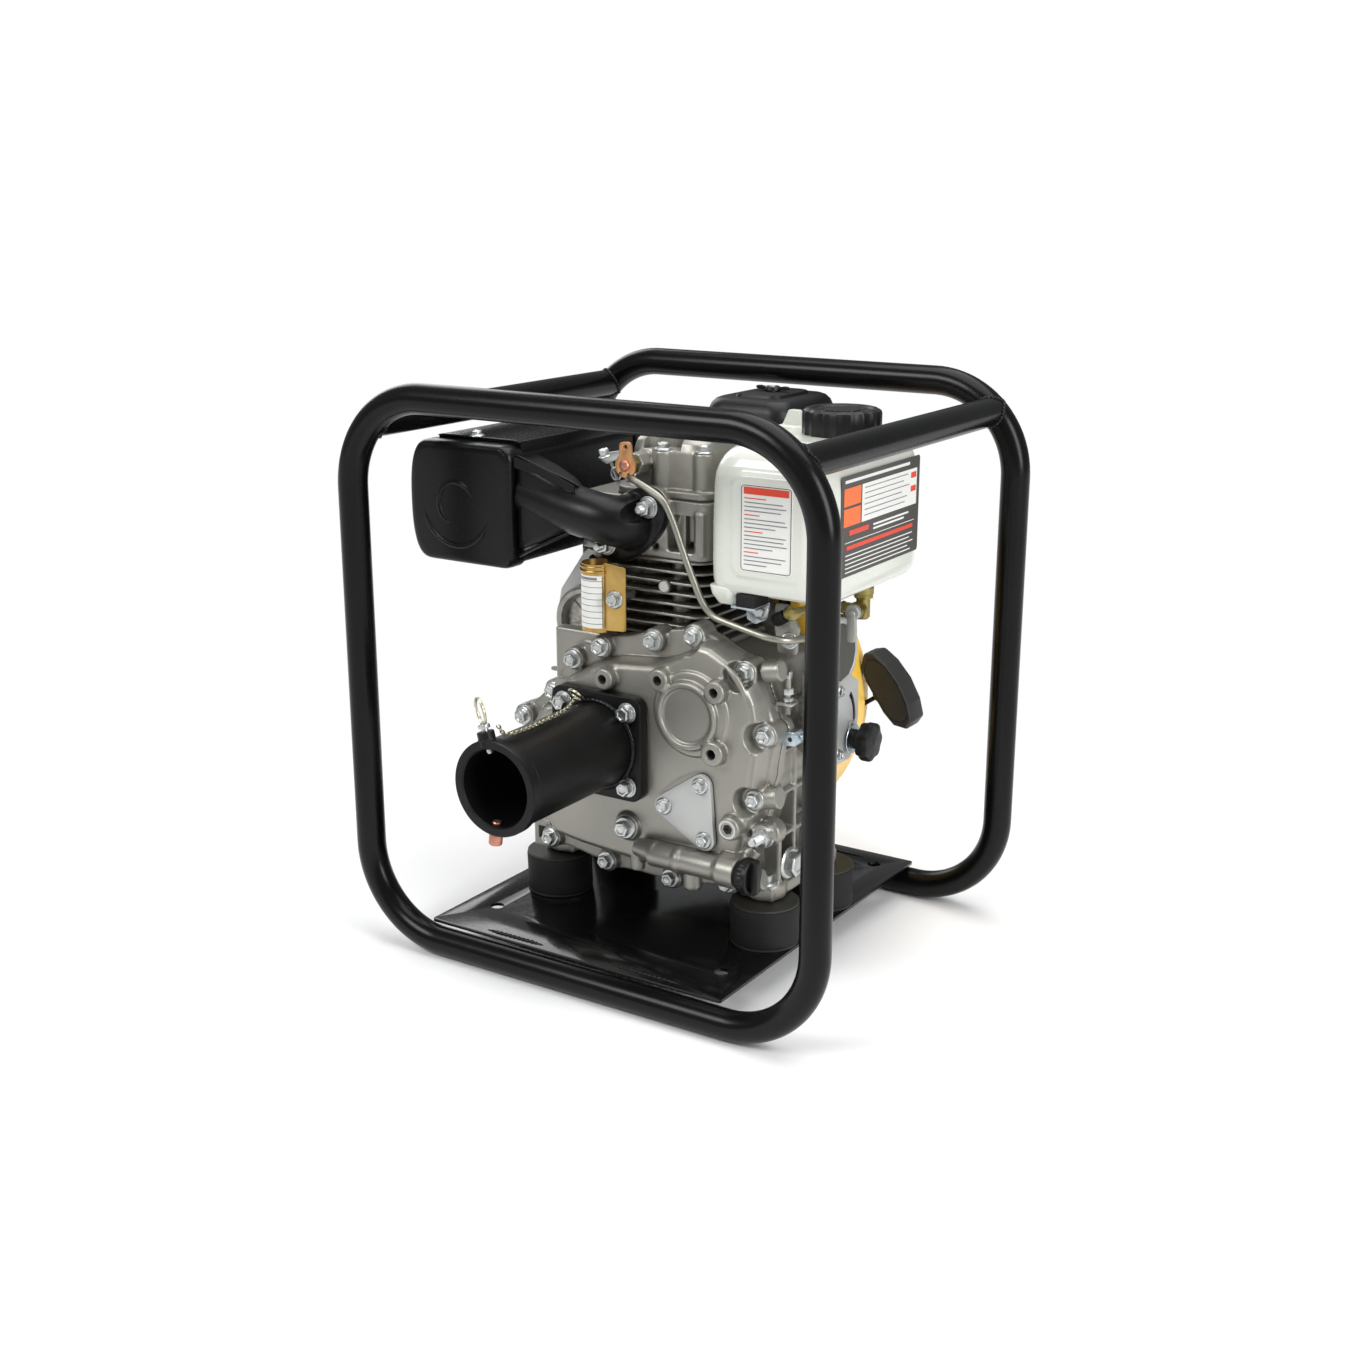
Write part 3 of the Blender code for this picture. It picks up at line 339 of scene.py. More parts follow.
WHITE_LABEL = surface("label_white", (0.80, 0.80, 0.77), 0.0, 0.34, 0.04, 20, 0.02, 700, 0.02, 0.0001)
RED_LABEL = surface("label_red", (0.72, 0.055, 0.02), 0.0, 0.34, 0.04, 20, 0.05, 700, 0.02, 0.0001)
ORANGE_LABEL = surface("label_orange", (0.86, 0.16, 0.03), 0.0, 0.34, 0.04, 20, 0.05, 700, 0.02, 0.0001)
DARK_LABEL = surface("label_dark", (0.050, 0.046, 0.040), 0.0, 0.32, 0.04, 20, 0.06, 700, 0.02, 0.0001)
GREY_LABEL = surface("label_grey", (0.20, 0.20, 0.21), 0.0, 0.36, 0.04, 20, 0.05, 700, 0.02, 0.0001)

HOSE, _t, _p = nodes_of("clear_hose")
_p.inputs["Base Color"].default_value = (0.62, 0.64, 0.50, 1)
_p.inputs["Transmission Weight"].default_value = 0.55
_p.inputs["IOR"].default_value = 1.42
_co = _t.nodes.new("ShaderNodeTexCoord").outputs["Object"]
_t.links.new(remap(_t, noise_node(_t, _co, 300.0), 0.16, 0.34), _p.inputs["Roughness"])
_t.links.new(ramp(_t, noise_node(_t, _co, 40.0), [(0.35, (0.55, 0.57, 0.42)), (0.7, (0.68, 0.70, 0.56))]), _p.inputs["Base Color"])

floor_mat, _t, _p = nodes_of("studio_floor")
_co = _t.nodes.new("ShaderNodeTexCoord").outputs["Object"]
_t.links.new(ramp(_t, noise_node(_t, _co, 1.2), [(0.3, (0.93, 0.93, 0.93)), (0.7, (0.95, 0.95, 0.95))]), _p.inputs["Base Color"])
_p.inputs["Roughness"].default_value = 0.6
_p.inputs["Specular IOR Level"].default_value = 0.2
_glow = _t.nodes.new("ShaderNodeEmission")
_glow.inputs["Color"].default_value = (1, 1, 1, 1)
_glow.inputs["Strength"].default_value = 1.0
_far = _t.nodes.new("ShaderNodeVectorMath")
_far.operation = "LENGTH"
_t.links.new(_co, _far.inputs[0])
_step = _t.nodes.new("ShaderNodeMapRange")
_step.interpolation_type = "SMOOTHSTEP"
_step.inputs["From Min"].default_value = 0.36
_step.inputs["From Max"].default_value = 0.80
_t.links.new(_far.outputs["Value"], _step.inputs["Value"])
_both = _t.nodes.new("ShaderNodeMixShader")
_t.links.new(_step.outputs["Result"], _both.inputs[0])
_t.links.new(_p.outputs[0], _both.inputs[1])
_t.links.new(_glow.outputs[0], _both.inputs[2])
_t.links.new(_both.outputs[0], [n for n in _t.nodes if n.bl_idname == "ShaderNodeOutputMaterial"][0].inputs[0])
bm = bmesh.new()
bmesh.ops.create_circle(bm, cap_ends=True, segments=96, radius=5.0)
me = bpy.data.meshes.new("studio_floor")
bm.to_mesh(me)
bm.free()
me.materials.append(floor_mat)
floor = bpy.data.objects.new("studio_floor", me)
floor.location.z = -0.0004
bpy.context.scene.collection.objects.link(floor)
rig.stage(floor)


# ------------------------------------------------------------------ mesh helpers, all in millimetres
def link(name, bm, look, smooth=32.0):
    for v in bm.verts:
        v.co = Vector((v.co.x, v.co.y + CY, v.co.z)) * MM
    bmesh.ops.recalc_face_normals(bm, faces=bm.faces[:])
    me = bpy.data.meshes.new(name)
    bm.to_mesh(me)
    bm.free()
    if look is not None:
        me.materials.append(look)
    ob = bpy.data.objects.new(name, me)
    bpy.context.scene.collection.objects.link(ob)
    if smooth:
        me.shade_smooth()
        me.set_sharp_from_angle(angle=math.radians(smooth))
    return ob


def place(axis, p, q, h):
    if axis == "x":
        return Vector((h, p, q))
    if axis == "y":
        return Vector((p, h, q))
    return Vector((p, q, h))


def prism_bm(outline, axis, low, high):
    bm = bmesh.new()
    a = [bm.verts.new(place(axis, p, q, low)) for p, q in outline]
    b = [bm.verts.new(place(axis, p, q, high)) for p, q in outline]
    n = len(outline)
    for i in range(n):
        bm.faces.new((a[i], a[(i + 1) % n], b[(i + 1) % n], b[i]))
    bm.faces.new(a[::-1])
    bm.faces.new(b)
    return bm


def prism(name, outline, axis, low, high, look=None, smooth=32.0):
    return link(name, prism_bm(outline, axis, low, high), look, smooth)


def stack(name, sections, axis, look=None, smooth=32.0):
    bm = bmesh.new()
    rings = [[bm.verts.new(place(axis, p, q, h)) for p, q in outline] for h, outline in sections]
    n = len(rings[0])
    for lo, hi in zip(rings, rings[1:]):
        for i in range(n):
            bm.faces.new((lo[i], lo[(i + 1) % n], hi[(i + 1) % n], hi[i]))
    bm.faces.new(rings[0][::-1])
    bm.faces.new(rings[-1])
    return link(name, bm, look, smooth)


def box(name, x0, x1, y0, y1, z0, z1, look=None, smooth=32.0):
    return prism(name, ((x0, y0), (x1, y0), (x1, y1), (x0, y1)), "z", z0, z1, look, smooth)


def turned_bm(profile, axis, centre, seg=48, ring=False, phase=0.0, radius=None):
    bm = bmesh.new()
    rows = []
    for r, h in profile:
        if r <= 1e-6:
            rows.append([bm.verts.new(place(axis, centre[0], centre[1], h))])
        else:
            row = []
            for k in range(seg):
                a = phase + 2 * math.pi * k / seg
                rr = r if radius is None else radius(r, h, a)
                row.append(bm.verts.new(place(axis, centre[0] + rr * math.cos(a), centre[1] + rr * math.sin(a), h)))
            rows.append(row)
    pairs = list(zip(rows, rows[1:]))
    if ring:
        pairs.append((rows[-1], rows[0]))
    for lo, hi in pairs:
        for k in range(seg):
            j = (k + 1) % seg
            if len(lo) == 1 and len(hi) == 1:
                continue
            if len(lo) == 1:
                bm.faces.new((lo[0], hi[j], hi[k]))
            elif len(hi) == 1:
                bm.faces.new((lo[k], lo[j], hi[0]))
            else:
                bm.faces.new((lo[k], lo[j], hi[j], hi[k]))
    if not ring:
        if len(rows[0]) > 1:
            bm.faces.new(rows[0][::-1])
        if len(rows[-1]) > 1:
            bm.faces.new(rows[-1])
    return bm


def turned(name, profile, axis, centre, look=None, seg=48, ring=False, phase=0.0, radius=None, smooth=32.0):
    return link(name, turned_bm(profile, axis, centre, seg, ring, phase, radius), look, smooth)


def frame_to(start, direction):
    d = Vector(direction).normalized()
    return Matrix.Translation(Vector(start)) @ d.to_track_quat("Z", "Y").to_matrix().to_4x4()


def spun(name, profile, start, direction, look=None, seg=32, ring=False, smooth=32.0, phase=0.0):
    """A turned body whose axis starts at a point and runs along a direction; heights are from that point."""
    bm = turned_bm(profile, "z", (0, 0), seg, ring, phase)
    bm.transform(frame_to(start, direction))
    return link(name, bm, look, smooth)


def rod(name, a, b, r, look=None, seg=24, r2=None, smooth=32.0):
    a, b = Vector(a), Vector(b)
    return spun(name, [(r, 0), (r if r2 is None else r2, (b - a).length)], a, b - a, look, seg, smooth=smooth)


def sweep_bm(points, r, seg, closed=False, radii=None, squash=None):
    pts = [Vector(p) for p in points]
    n = len(pts)
    bm = bmesh.new()
    tan = []
    for i in range(n):
        b = pts[i - 1] if (closed or i > 0) else pts[i]
        f = pts[(i + 1) % n] if (closed or i < n - 1) else pts[i]
        tan.append((f - b).normalized())
    up = Vector((0, 1, 0)) if abs(tan[0].y) < 0.9 else Vector((1, 0, 0))
    side = tan[0].cross(up).normalized()
    rings = []
    for i in range(n):
        side = (side - tan[i] * side.dot(tan[i])).normalized()
        other = tan[i].cross(side)
        rr = r if radii is None else radii[i]
        rings.append([bm.verts.new(pts[i] + rr * (math.cos(2 * math.pi * k / seg) * side
                                                  + math.sin(2 * math.pi * k / seg) * other)) for k in range(seg)])
    pairs = list(zip(rings, rings[1:])) + ([(rings[-1], rings[0])] if closed else [])
    for lo, hi in pairs:
        for k in range(seg):
            j = (k + 1) % seg
            bm.faces.new((lo[k], lo[j], hi[j], hi[k]))
    if not closed:
        bm.faces.new(rings[0][::-1])
        bm.faces.new(rings[-1])
    return bm


def sweep(name, points, r, look=None, seg=16, closed=False, radii=None, smooth=40.0):
    return link(name, sweep_bm(points, r, seg, closed, radii), look, smooth)


def spline(knots, per=8):
    k = [Vector(p) for p in knots]
    k = [2 * k[0] - k[1]] + k + [2 * k[-1] - k[-2]]
    out = []
    for i in range(1, len(k) - 2):
        for s in range(per):
            t = s / per
            out.append(0.5 * ((2 * k[i]) + (k[i + 1] - k[i - 1]) * t + (2 * k[i - 1] - 5 * k[i] + 4 * k[i + 1] - k[i + 2]) * t * t
                              + (3 * k[i] - k[i - 1] - 3 * k[i + 1] + k[i + 2]) * t ** 3))
    out.append(k[-2])
    return out


def rounded(x0, x1, y0, y1, r, n=8):
    pts = []
    for cx, cy, a0 in ((x1 - r, y1 - r, 0), (x0 + r, y1 - r, 90), (x0 + r, y0 + r, 180), (x1 - r, y0 + r, 270)):
        for i in range(n + 1):
            a = math.radians(a0 + 90 * i / n)
            pts.append((cx + r * math.cos(a), cy + r * math.sin(a)))
    return pts


def circle(cx, cy, r, n=48, turn=0.0):
    return [(cx + r * math.cos(turn + 2 * math.pi * i / n), cy + r * math.sin(turn + 2 * math.pi * i / n)) for i in range(n)]


def hexagon(cx, cy, across, turn=0.0):
    return circle(cx, cy, across / math.sqrt(3), 6, math.radians(turn))


def soften(outline, r, n=5):
    """Round every corner of an outline."""
    out = []
    m = len(outline)
    for i in range(m):
        p = Vector(outline[i])
        a = Vector(outline[i - 1]) - p
        b = Vector(outline[(i + 1) % m]) - p
        la, lb = a.length, b.length
        ang = a.angle(b)
        cutd = min(r / math.tan(ang / 2) if ang > 1e-3 else 0, la * 0.49, lb * 0.49)
        p0, p1 = p + a / la * cutd, p + b / lb * cutd
        for k in range(n + 1):
            t = k / n
            q = (1 - t) ** 2 * p0 + 2 * t * (1 - t) * p + t * t * p1
            out.append((q.x, q.y))
    return out


def applied(ob):
    bpy.context.view_layer.update()
    dg = bpy.context.evaluated_depsgraph_get()
    me = bpy.data.meshes.new_from_object(ob.evaluated_get(dg))
    ob.modifiers.clear()
    old = ob.data
    ob.data = me
    me.name = ob.name
    bpy.data.meshes.remove(old)
    return ob


def bevel(ob, width, segments=2, angle=30.0):
    m = ob.modifiers.new("bevel", "BEVEL")
    m.width = width * MM
    m.segments = segments
    m.limit_method = "ANGLE"
    m.angle_limit = math.radians(angle)
    m.harden_normals = False
    applied(ob)
    ob.data.shade_smooth()
    ob.data.set_sharp_from_angle(angle=math.radians(38))
    return ob


def cut(ob, *tools, solver="EXACT"):
    for tool in tools:
        m = ob.modifiers.new("cut", "BOOLEAN")
        m.operation = "DIFFERENCE"
        m.solver = solver
        m.object = tool
        applied(ob)
        bpy.data.objects.remove(tool, do_unlink=True)
    ob.data.shade_smooth()
    ob.data.set_sharp_from_angle(angle=math.radians(32))
    return ob


def merge(name, obs, look=None):
    """Join objects into one mesh, keeping each piece's own material."""
    bm = bmesh.new()
    mats = []
    for o in obs:
        tmp = o.data.copy()
        local = [m for m in tmp.materials] or [None]
        remap_to = []
        for m in local:
            if m not in mats:
                mats.append(m)
            remap_to.append(mats.index(m))
        for poly in tmp.polygons:
            poly.material_index = remap_to[min(poly.material_index, len(remap_to) - 1)]
        tmp.transform(o.matrix_world)
        bm.from_mesh(tmp)
        bpy.data.meshes.remove(tmp)
    me = bpy.data.meshes.new(name)
    bm.to_mesh(me)
    bm.free()
    for m in mats:
        if m is not None:
            me.materials.append(m)
    for o in obs:
        bpy.data.objects.remove(o, do_unlink=True)
    if look is not None:
        me.materials.clear()
        me.materials.append(look)
        for poly in me.polygons:
            poly.material_index = 0
    ob = bpy.data.objects.new(name, me)
    bpy.context.scene.collection.objects.link(ob)
    return ob


def cast(name, obs, look, voxel=1.2, smooth=5, factor=0.5):
    """Fuse closed pieces into one casting with soft fillets."""
    ob = merge(name, obs, look)
    m = ob.modifiers.new("remesh", "REMESH")
    m.mode = "VOXEL"
    m.voxel_size = voxel * MM
    m.use_smooth_shade = True
    s = ob.modifiers.new("smooth", "SMOOTH")
    s.factor = factor
    s.iterations = smooth
    applied(ob)
    if not ob.data.materials:
        ob.data.materials.append(look)
    ob.data.shade_smooth()
    return ob


def show(ob, body, *nodes, slot=None):
    """Ride a piece on its body, hide the CAD nodes it stands for, and name its finish slot."""
    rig.ride(ob, body)
    if nodes:
        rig.replaces(ob, *nodes)
    if slot:
        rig.slot(ob, slot)
    return ob


def bolt_bm(across, head, flange_r=None, flange_h=1.2, turn=0.0, cupped=True, washer=None, stud=None):
    """A hex bolt head pointing along +Z from z = 0."""
    bm = bmesh.new()
    z = 0.0
    out = []
    if washer:
        for wr, wh in washer:
            out.append(turned_bm([(wr - 0.3, z), (wr, z + 0.25), (wr, z + wh - 0.25), (wr - 0.3, z + wh)], "z", (0, 0), 28))
            z += wh
    if flange_r:
        out.append(turned_bm([(flange_r, z), (flange_r, z + flange_h * 0.6), (flange_r * 0.86, z + flange_h + 0.6)], "z", (0, 0), 32))
        z += flange_h * 0.7
    rc = across / math.sqrt(3)
    hexa = bmesh.new()
    lo = [hexa.verts.new((rc * math.cos(turn + math.pi * k / 3), rc * math.sin(turn + math.pi * k / 3), z)) for k in range(6)]
    hi = [hexa.verts.new((rc * math.cos(turn + math.pi * k / 3), rc * math.sin(turn + math.pi * k / 3), z + head - 0.9)) for k in range(6)]
    top = [hexa.verts.new((rc * 0.86 * math.cos(turn + math.pi * k / 3), rc * 0.86 * math.sin(turn + math.pi * k / 3), z + head)) for k in range(6)]
    inn = [hexa.verts.new((rc * 0.62 * math.cos(turn + math.pi * k / 3), rc * 0.62 * math.sin(turn + math.pi * k / 3), z + head)) for k in range(6)]
    dip = [hexa.verts.new((rc * 0.50 * math.cos(turn + math.pi * k / 3), rc * 0.50 * math.sin(turn + math.pi * k / 3),
                           z + head - (0.7 if cupped else 0.0))) for k in range(6)]
    for a, b in ((lo, hi), (hi, top), (top, inn), (inn, dip)):
        for k in range(6):
            j = (k + 1) % 6
            hexa.faces.new((a[k], a[j], b[j], b[k]))
    hexa.faces.new(lo[::-1])
    hexa.faces.new(dip)
    out.append(hexa)
    if stud:
        sr, sh = stud
        prof = [(sr, z + head - 1)]
        k = 0
        while z + head + 0.9 * k < z + head + sh - 0.9:
            prof += [(sr, z + head + 0.9 * k), (sr * 0.88, z + head + 0.9 * k + 0.45)]
            k += 1
        prof += [(sr * 0.8, z + head + sh)]
        out.append(turned_bm(prof, "z", (0, 0), 20))
    me = bpy.data.meshes.new("tmp_bolt")
    for piece in out:
        bmesh.ops.recalc_face_normals(piece, faces=piece.faces[:])
        piece.to_mesh(me)
        bm.from_mesh(me)
        piece.free()
    bpy.data.meshes.remove(me)
    return bm


def bolts(name, places, look=None, **kw):
    """A set of bolt heads: places are (point, direction, turn)."""
    bm = bmesh.new()
    tmp = bpy.data.meshes.new("tmp_set")
    for at, direction, turn in places:
        one = bolt_bm(turn=math.radians(turn), **kw)
        one.transform(frame_to(at, direction))
        one.to_mesh(tmp)
        bm.from_mesh(tmp)
        one.free()
    bpy.data.meshes.remove(tmp)
    ob = link(name, bm, look or ZINC, 28.0)
    return bevel_light(ob)


def bevel_light(ob):
    m = ob.modifiers.new("bevel", "BEVEL")
    m.width = 0.22 * MM
    m.segments = 2
    m.limit_method = "ANGLE"
    m.angle_limit = math.radians(28)
    applied(ob)
    ob.data.shade_smooth()
    ob.data.set_sharp_from_angle(angle=math.radians(45))
    return ob


FRONT = Vector((0, -1, 0))
RIGHT = Vector((1, 0, 0))
UP = Vector((0, 0, 1))

# ------------------------------------------------------------------ cage
TUBE_R, HOOP_HALF, HOOP_LOW, HOOP_HIGH, HOOP_BEND, HOOP_Y = 13.5, 239.7, 13.5, 519.7, 84.4, 185.0


def hoop_points(y, n=28):
    pts = []
    cz = ((HOOP_HIGH - HOOP_BEND), (HOOP_LOW + HOOP_BEND))
    cx = HOOP_HALF - HOOP_BEND
    for sx, z, a0 in ((1, cz[0], 0), (-1, cz[0], 90), (-1, cz[1], 180), (1, cz[1], 270)):
        for i in range(n + 1):
            a = math.radians(a0 + 90 * i / n)
            pts.append((sx * cx + HOOP_BEND * math.cos(a), y, z + HOOP_BEND * math.sin(a)))
    # the straight runs get a few points of their own
    out = []
    for i, p in enumerate(pts):
        out.append(p)
        q = pts[(i + 1) % len(pts)]
        gap = (Vector(q) - Vector(p)).length
        if gap > 40:
            k = 5
            for s in range(1, k):
                out.append(tuple(Vector(p).lerp(Vector(q), s / k)))
    return out


for hoop, y in (("front_hoop", -HOOP_Y), ("rear_hoop", HOOP_Y)):
    show(sweep(hoop + "_tube", hoop_points(y), TUBE_R - 0.03, PAINT, 40, True, smooth=60), FRAME, hoop, slot="frame_paint")

rng = random.Random(7)
for cross, s in (("left_cross_tube", -1), ("right_cross_tube", 1)):
    show(sweep(cross + "_pipe", [(s * 215.0, y, 495.0) for y in (-184, -90, 0, 90, 184)], TUBE_R - 0.05, PAINT, 40, smooth=60),
         FRAME, cross, slot="frame_paint")
    u = Vector((s * -0.7071, 0, 0.7071))
    n = Vector((s * 0.7071, 0, 0.7071))
    for side in (-1, 1):
        pts, radii = [], []
        for k in range(120):
            th = 2 * math.pi * k / 120
            dy = TUBE_R * abs(math.cos(th)) + 0.6
            c = Vector((s * 215.0, side * (HOOP_Y - dy), 495.0))
            pts.append(c + (TUBE_R + 0.1) * (math.cos(th) * u + math.sin(th) * n))
            radii.append(1.55 + 0.35 * math.sin(th * 31) + rng.uniform(-0.12, 0.12))
        show(sweep("%s_weld_%s" % (cross, "front" if side > 0 else "rear"), pts, 2.0, WELD, 10, True, radii, smooth=60),
             FRAME, slot="frame_paint")

PLATE_HOLES = ((-137.0, -126.0), (119.0, -133.0), (118.0, 164.0), (-137.0, 164.0))
plate = prism("base_plate_sheet", rounded(-170, 148, -182, 192, 2.5, 4), "z", 29.1, 32.1, PLATE_PAINT)
cut(plate, *[turned("hole", [(6.5, 20), (6.5, 40)], "z", h, seg=40) for h in PLATE_HOLES])
bevel(plate, 0.5, 2)
show(plate, FRAME, "base_plate", slot="frame_paint")


def bead(name, a, b, r, look=None, wave=5.0, body=FRAME):
    """A weld bead with scalloped ripples between two points."""
    a, b = Vector(a), Vector(b)
    length = (b - a).length
    n = max(8, int(length / 1.1))
    pts, radii = [], []
    for k in range(n + 1):
        t = k / n
        pts.append(a.lerp(b, t) + Vector((rng.uniform(-0.15, 0.15), rng.uniform(-0.15, 0.15), 0)))
        end = min(1.0, 5 * t, 5 * (1 - t)) ** 0.5
        radii.append(max(0.25, r * end * (0.86 + 0.16 * math.sin(k * 1.1 * 2 * math.pi / wave))))
    return sweep(name, pts, r, look or WELD, 10, False, radii, smooth=60)


for i, (x0, x1) in enumerate(((-110, -45), (29, 102))):
    show(bead("plate_weld_front_%d" % i, (x0, -174.4, 32.0), (x1, -174.4, 32.0), 2.1), FRAME, slot="frame_paint")
    show(bead("plate_weld_rear_%d" % i, (x0, 175.2, 32.0), (x1, 175.2, 32.0), 2.1), FRAME, slot="frame_paint")

for name, sx, sy in (("mount_front_left", -1, -1), ("mount_front_right", 1, -1),
                     ("mount_rear_left", -1, 1), ("mount_rear_right", 1, 1)):
    c = (sx * 116.0, sy * 53.0)
    block = turned(name + "_rubber", [(30.6, 34.2), (31.6, 35.2), (31.9, 37), (31.6, 45), (31.4, 52), (31.6, 60), (31.9, 67.5),
                                      (31.6, 69.2), (30.6, 69.9)], "z", c, RUBBER, 64)
    disc = turned(name + "_plates", [(0, 32.3), (31.2, 32.3), (31.6, 32.7), (31.6, 34.0), (31.0, 34.4), (20, 34.4), (20, 69.7),
                                     (30.8, 69.7), (31.3, 70.1), (31.3, 71.3), (30.8, 71.7), (0, 71.7)], "z", c, MOUNT_TOP, 64)
    show(block, FRAME, name, slot="rubber")
    show(disc, FRAME, slot="steel")
    show(bolts(name + "_nut", [((c[0], c[1], 29.0), (0, 0, -1), 15)], across=16, head=7.5, flange_r=10.5), FRAME, slot="zinc")

# ------------------------------------------------------------------ crankcase and its front cover
COVER_BOLTS = ((-73, 277), (-42, 293), (15, 307), (58, 317), (111, 292), (132, 238.5), (122, 178),
               (95, 93), (34, 84.5), (-38, 86), (-103, 96), (-132, 213), (-96, 243))
SEAT = -84.0


def lobe_outline(lobe, centre=(0, 195), dip=3.0, grow=0.0):
    """An outline that wraps each bolt with an arc and dips slightly between bolts."""
    marks = sorted(COVER_BOLTS, key=lambda p: -math.atan2(p[1] - centre[1], p[0] - centre[0]))
    out = []
    for i, (x, z) in enumerate(marks):
        a = math.atan2(z - centre[1], x - centre[0])
        for d in (56, 42, 28, 14, 0, -14, -28, -42, -56):
            b = a + math.radians(d)
            out.append((x + lobe * math.cos(b), z + lobe * math.sin(b)))
        nx, nz = marks[(i + 1) % len(marks)]
        b = math.atan2(nz - centre[1], nx - centre[0])
        p = Vector((x + (lobe - 1) * math.cos(a), z + (lobe - 1) * math.sin(a)))
        q = Vector((nx + (lobe - 1) * math.cos(b), nz + (lobe - 1) * math.sin(b)))
        mid = (p + q) / 2
        inward = (Vector(centre) - mid).normalized()
        if (q - p).length > 34:
            for t in (0.28, 0.5, 0.72):
                w = p.lerp(q, t) + inward * (dip + grow) * (1 - abs(2 * t - 1) * 0.35)
                out.append((w.x, w.y))
    return out


outline = lobe_outline(11.0)
DOME = [(-68, 266), (-46, 279), (-20, 287), (4, 289), (26, 291), (42, 297), (56, 304), (70, 316), (84, 314), (98, 307),
        (110, 300), (121, 288), (129, 270), (133, 250), (134, 228), (131, 204), (128, 176), (122, 146), (114, 118), (104, 104),
        (80, 98), (50, 97), (10, 96), (-30, 98), (-60, 101), (-92, 106), (-103, 122), (-112, 150), (-118, 180), (-118, 206),
        (-104, 232), (-86, 252)]


def inset(outline_points, d, centre=(0, 195)):
    out = []
    for x, z in outline_points:
        v = Vector((x - centre[0], z - centre[1]))
        v = v * (1 - d / v.length)
        out.append((centre[0] + v.x, centre[1] + v.y))
    return out


def cyl(a, b, r, seg=28, r2=None):
    return rod("t", a, b, r, None, seg, r2)


def knob(x, z, r, y0, y1, seg=32):
    return turned("t", [(r + 1.2, y0), (r, y0 + (y1 - y0) * 0.3), (r, y1 + 1.0), (r - 0.8, y1), (0, y1)], "y", (x, z), None, seg)


dome = stack("dome", [(-70, inset(DOME, 0)), (-80, inset(DOME, 0.5)), (-90, inset(DOME, 2.0)), (-95.5, inset(DOME, 3.5)),
                      (-98.4, inset(DOME, 7.5))], "y", None)
scallops = []
for x, z in COVER_BOLTS:
    scallops.append(turned("s", [(17.5, -112), (13.6, -92), (12.4, SEAT - 0.2), (0, SEAT - 0.2)], "y", (x, z), None, 36))
dome = cut(dome, *scallops)
pieces = [dome, prism("t", outline, "y", -76, -62.4, None)]
for x, z in COVER_BOLTS:
    pieces.append(turned("t", [(11.2, -64), (11.0, SEAT + 1), (10.2, SEAT), (0, SEAT)], "y", (x, z), None, 32))
# round cover boss with two steps, threaded bosses, plugs
pieces += [turned("t", [(39, -94), (38.6, -100.4), (37.5, -101.2), (0, -101.2)], "y", (66, 251), None, 72),
           turned("t", [(31.5, -94), (31.2, -105.6), (30, -107), (26.5, -107), (25.6, -105), (25.2, -104), (0, -104)], "y", (64, 250), None, 72)]
for x, z in ((-23, 271), (36, 279), (94, 277)):
    pieces.append(knob(x, z, 10.2, -90, -109))
pieces.append(knob(92, 221, 11.2, -90, -109.5))
pieces.append(turned("t", [(12, -90), (11, -99), (11, -107), (9.6, -108.2), (0, -108.2)], "y", (109, 155), None, 40))
pieces.append(turned("t", [(15, -90), (13.6, -98), (12.6, -103.6), (11.8, -104), (0, -104)], "y", (-2, 133), None, 40))
# the casting that carries the coupling flange
pieces.append(prism("t", soften([(-84, 262), (22, 262), (24, 190), (30, 184), (14, 158), (-84, 158)], 6), "y", -98.5, -92, None))
# governor pad under the triangular plate
pieces.append(prism("t", soften([(72, 199), (88, 194), (94, 168), (90, 137), (79, 131), (36, 155), (31, 170), (50, 187)], 6), "y", -98.8, -92, None))
# filler tube with its steps, and the webs below it
pieces += [cyl((12, -107, 118.5), (34, -108, 117.5), 8.0, r2=11.0), cyl((30, -108, 116), (58, -108, 116), 11.6), cyl((57, -108, 116), (62, -108, 116), 12.4),
           cyl((60, -108, 116), (101, -108, 116), 11.4), cyl((98, -108, 116), (104, -108, 116), 11.4, r2=14.2),
           cyl((103, -108, 116), (121.4, -108, 116), 14.4),
           prism("t", [(26, 106), (100, 106), (100, 126), (26, 126)], "y", -106, -92, None),
           prism("t", soften([(98, 100), (119, 102), (119, 130), (98, 130)], 4), "y", -108, -80, None),
           cyl((66, -97, 88), (66, -97, 112), 8.6), cyl((3, -92, 90), (3, -92, 102), 7.0), cyl((66, -97, 85), (66, -97, 89), 7.0, r2=8.6)]
# horizontal bosses running to the right flank
pieces += [cyl((125, -73.5, 293), (142, -73, 296), 9.5), cyl((126, -75, 178), (142, -74, 181), 10.5), cyl((122, -84, 146), (141, -78, 150), 9.0),
           turned("t", [(12.5, -76), (12.5, -63)], "y", (131, 146), None, 32),
           cyl((108, -78, 95), (127, -74, 100), 10.0), cyl((112, -90, 120), (122, -82, 132), 8.0)]
# lug with a square window at the left foot
lug = prism("t", soften([(-127, 82), (-108, 82), (-108, 110), (-127, 110)], 1.5), "y", -79, -63, None)
pieces.append(lug)
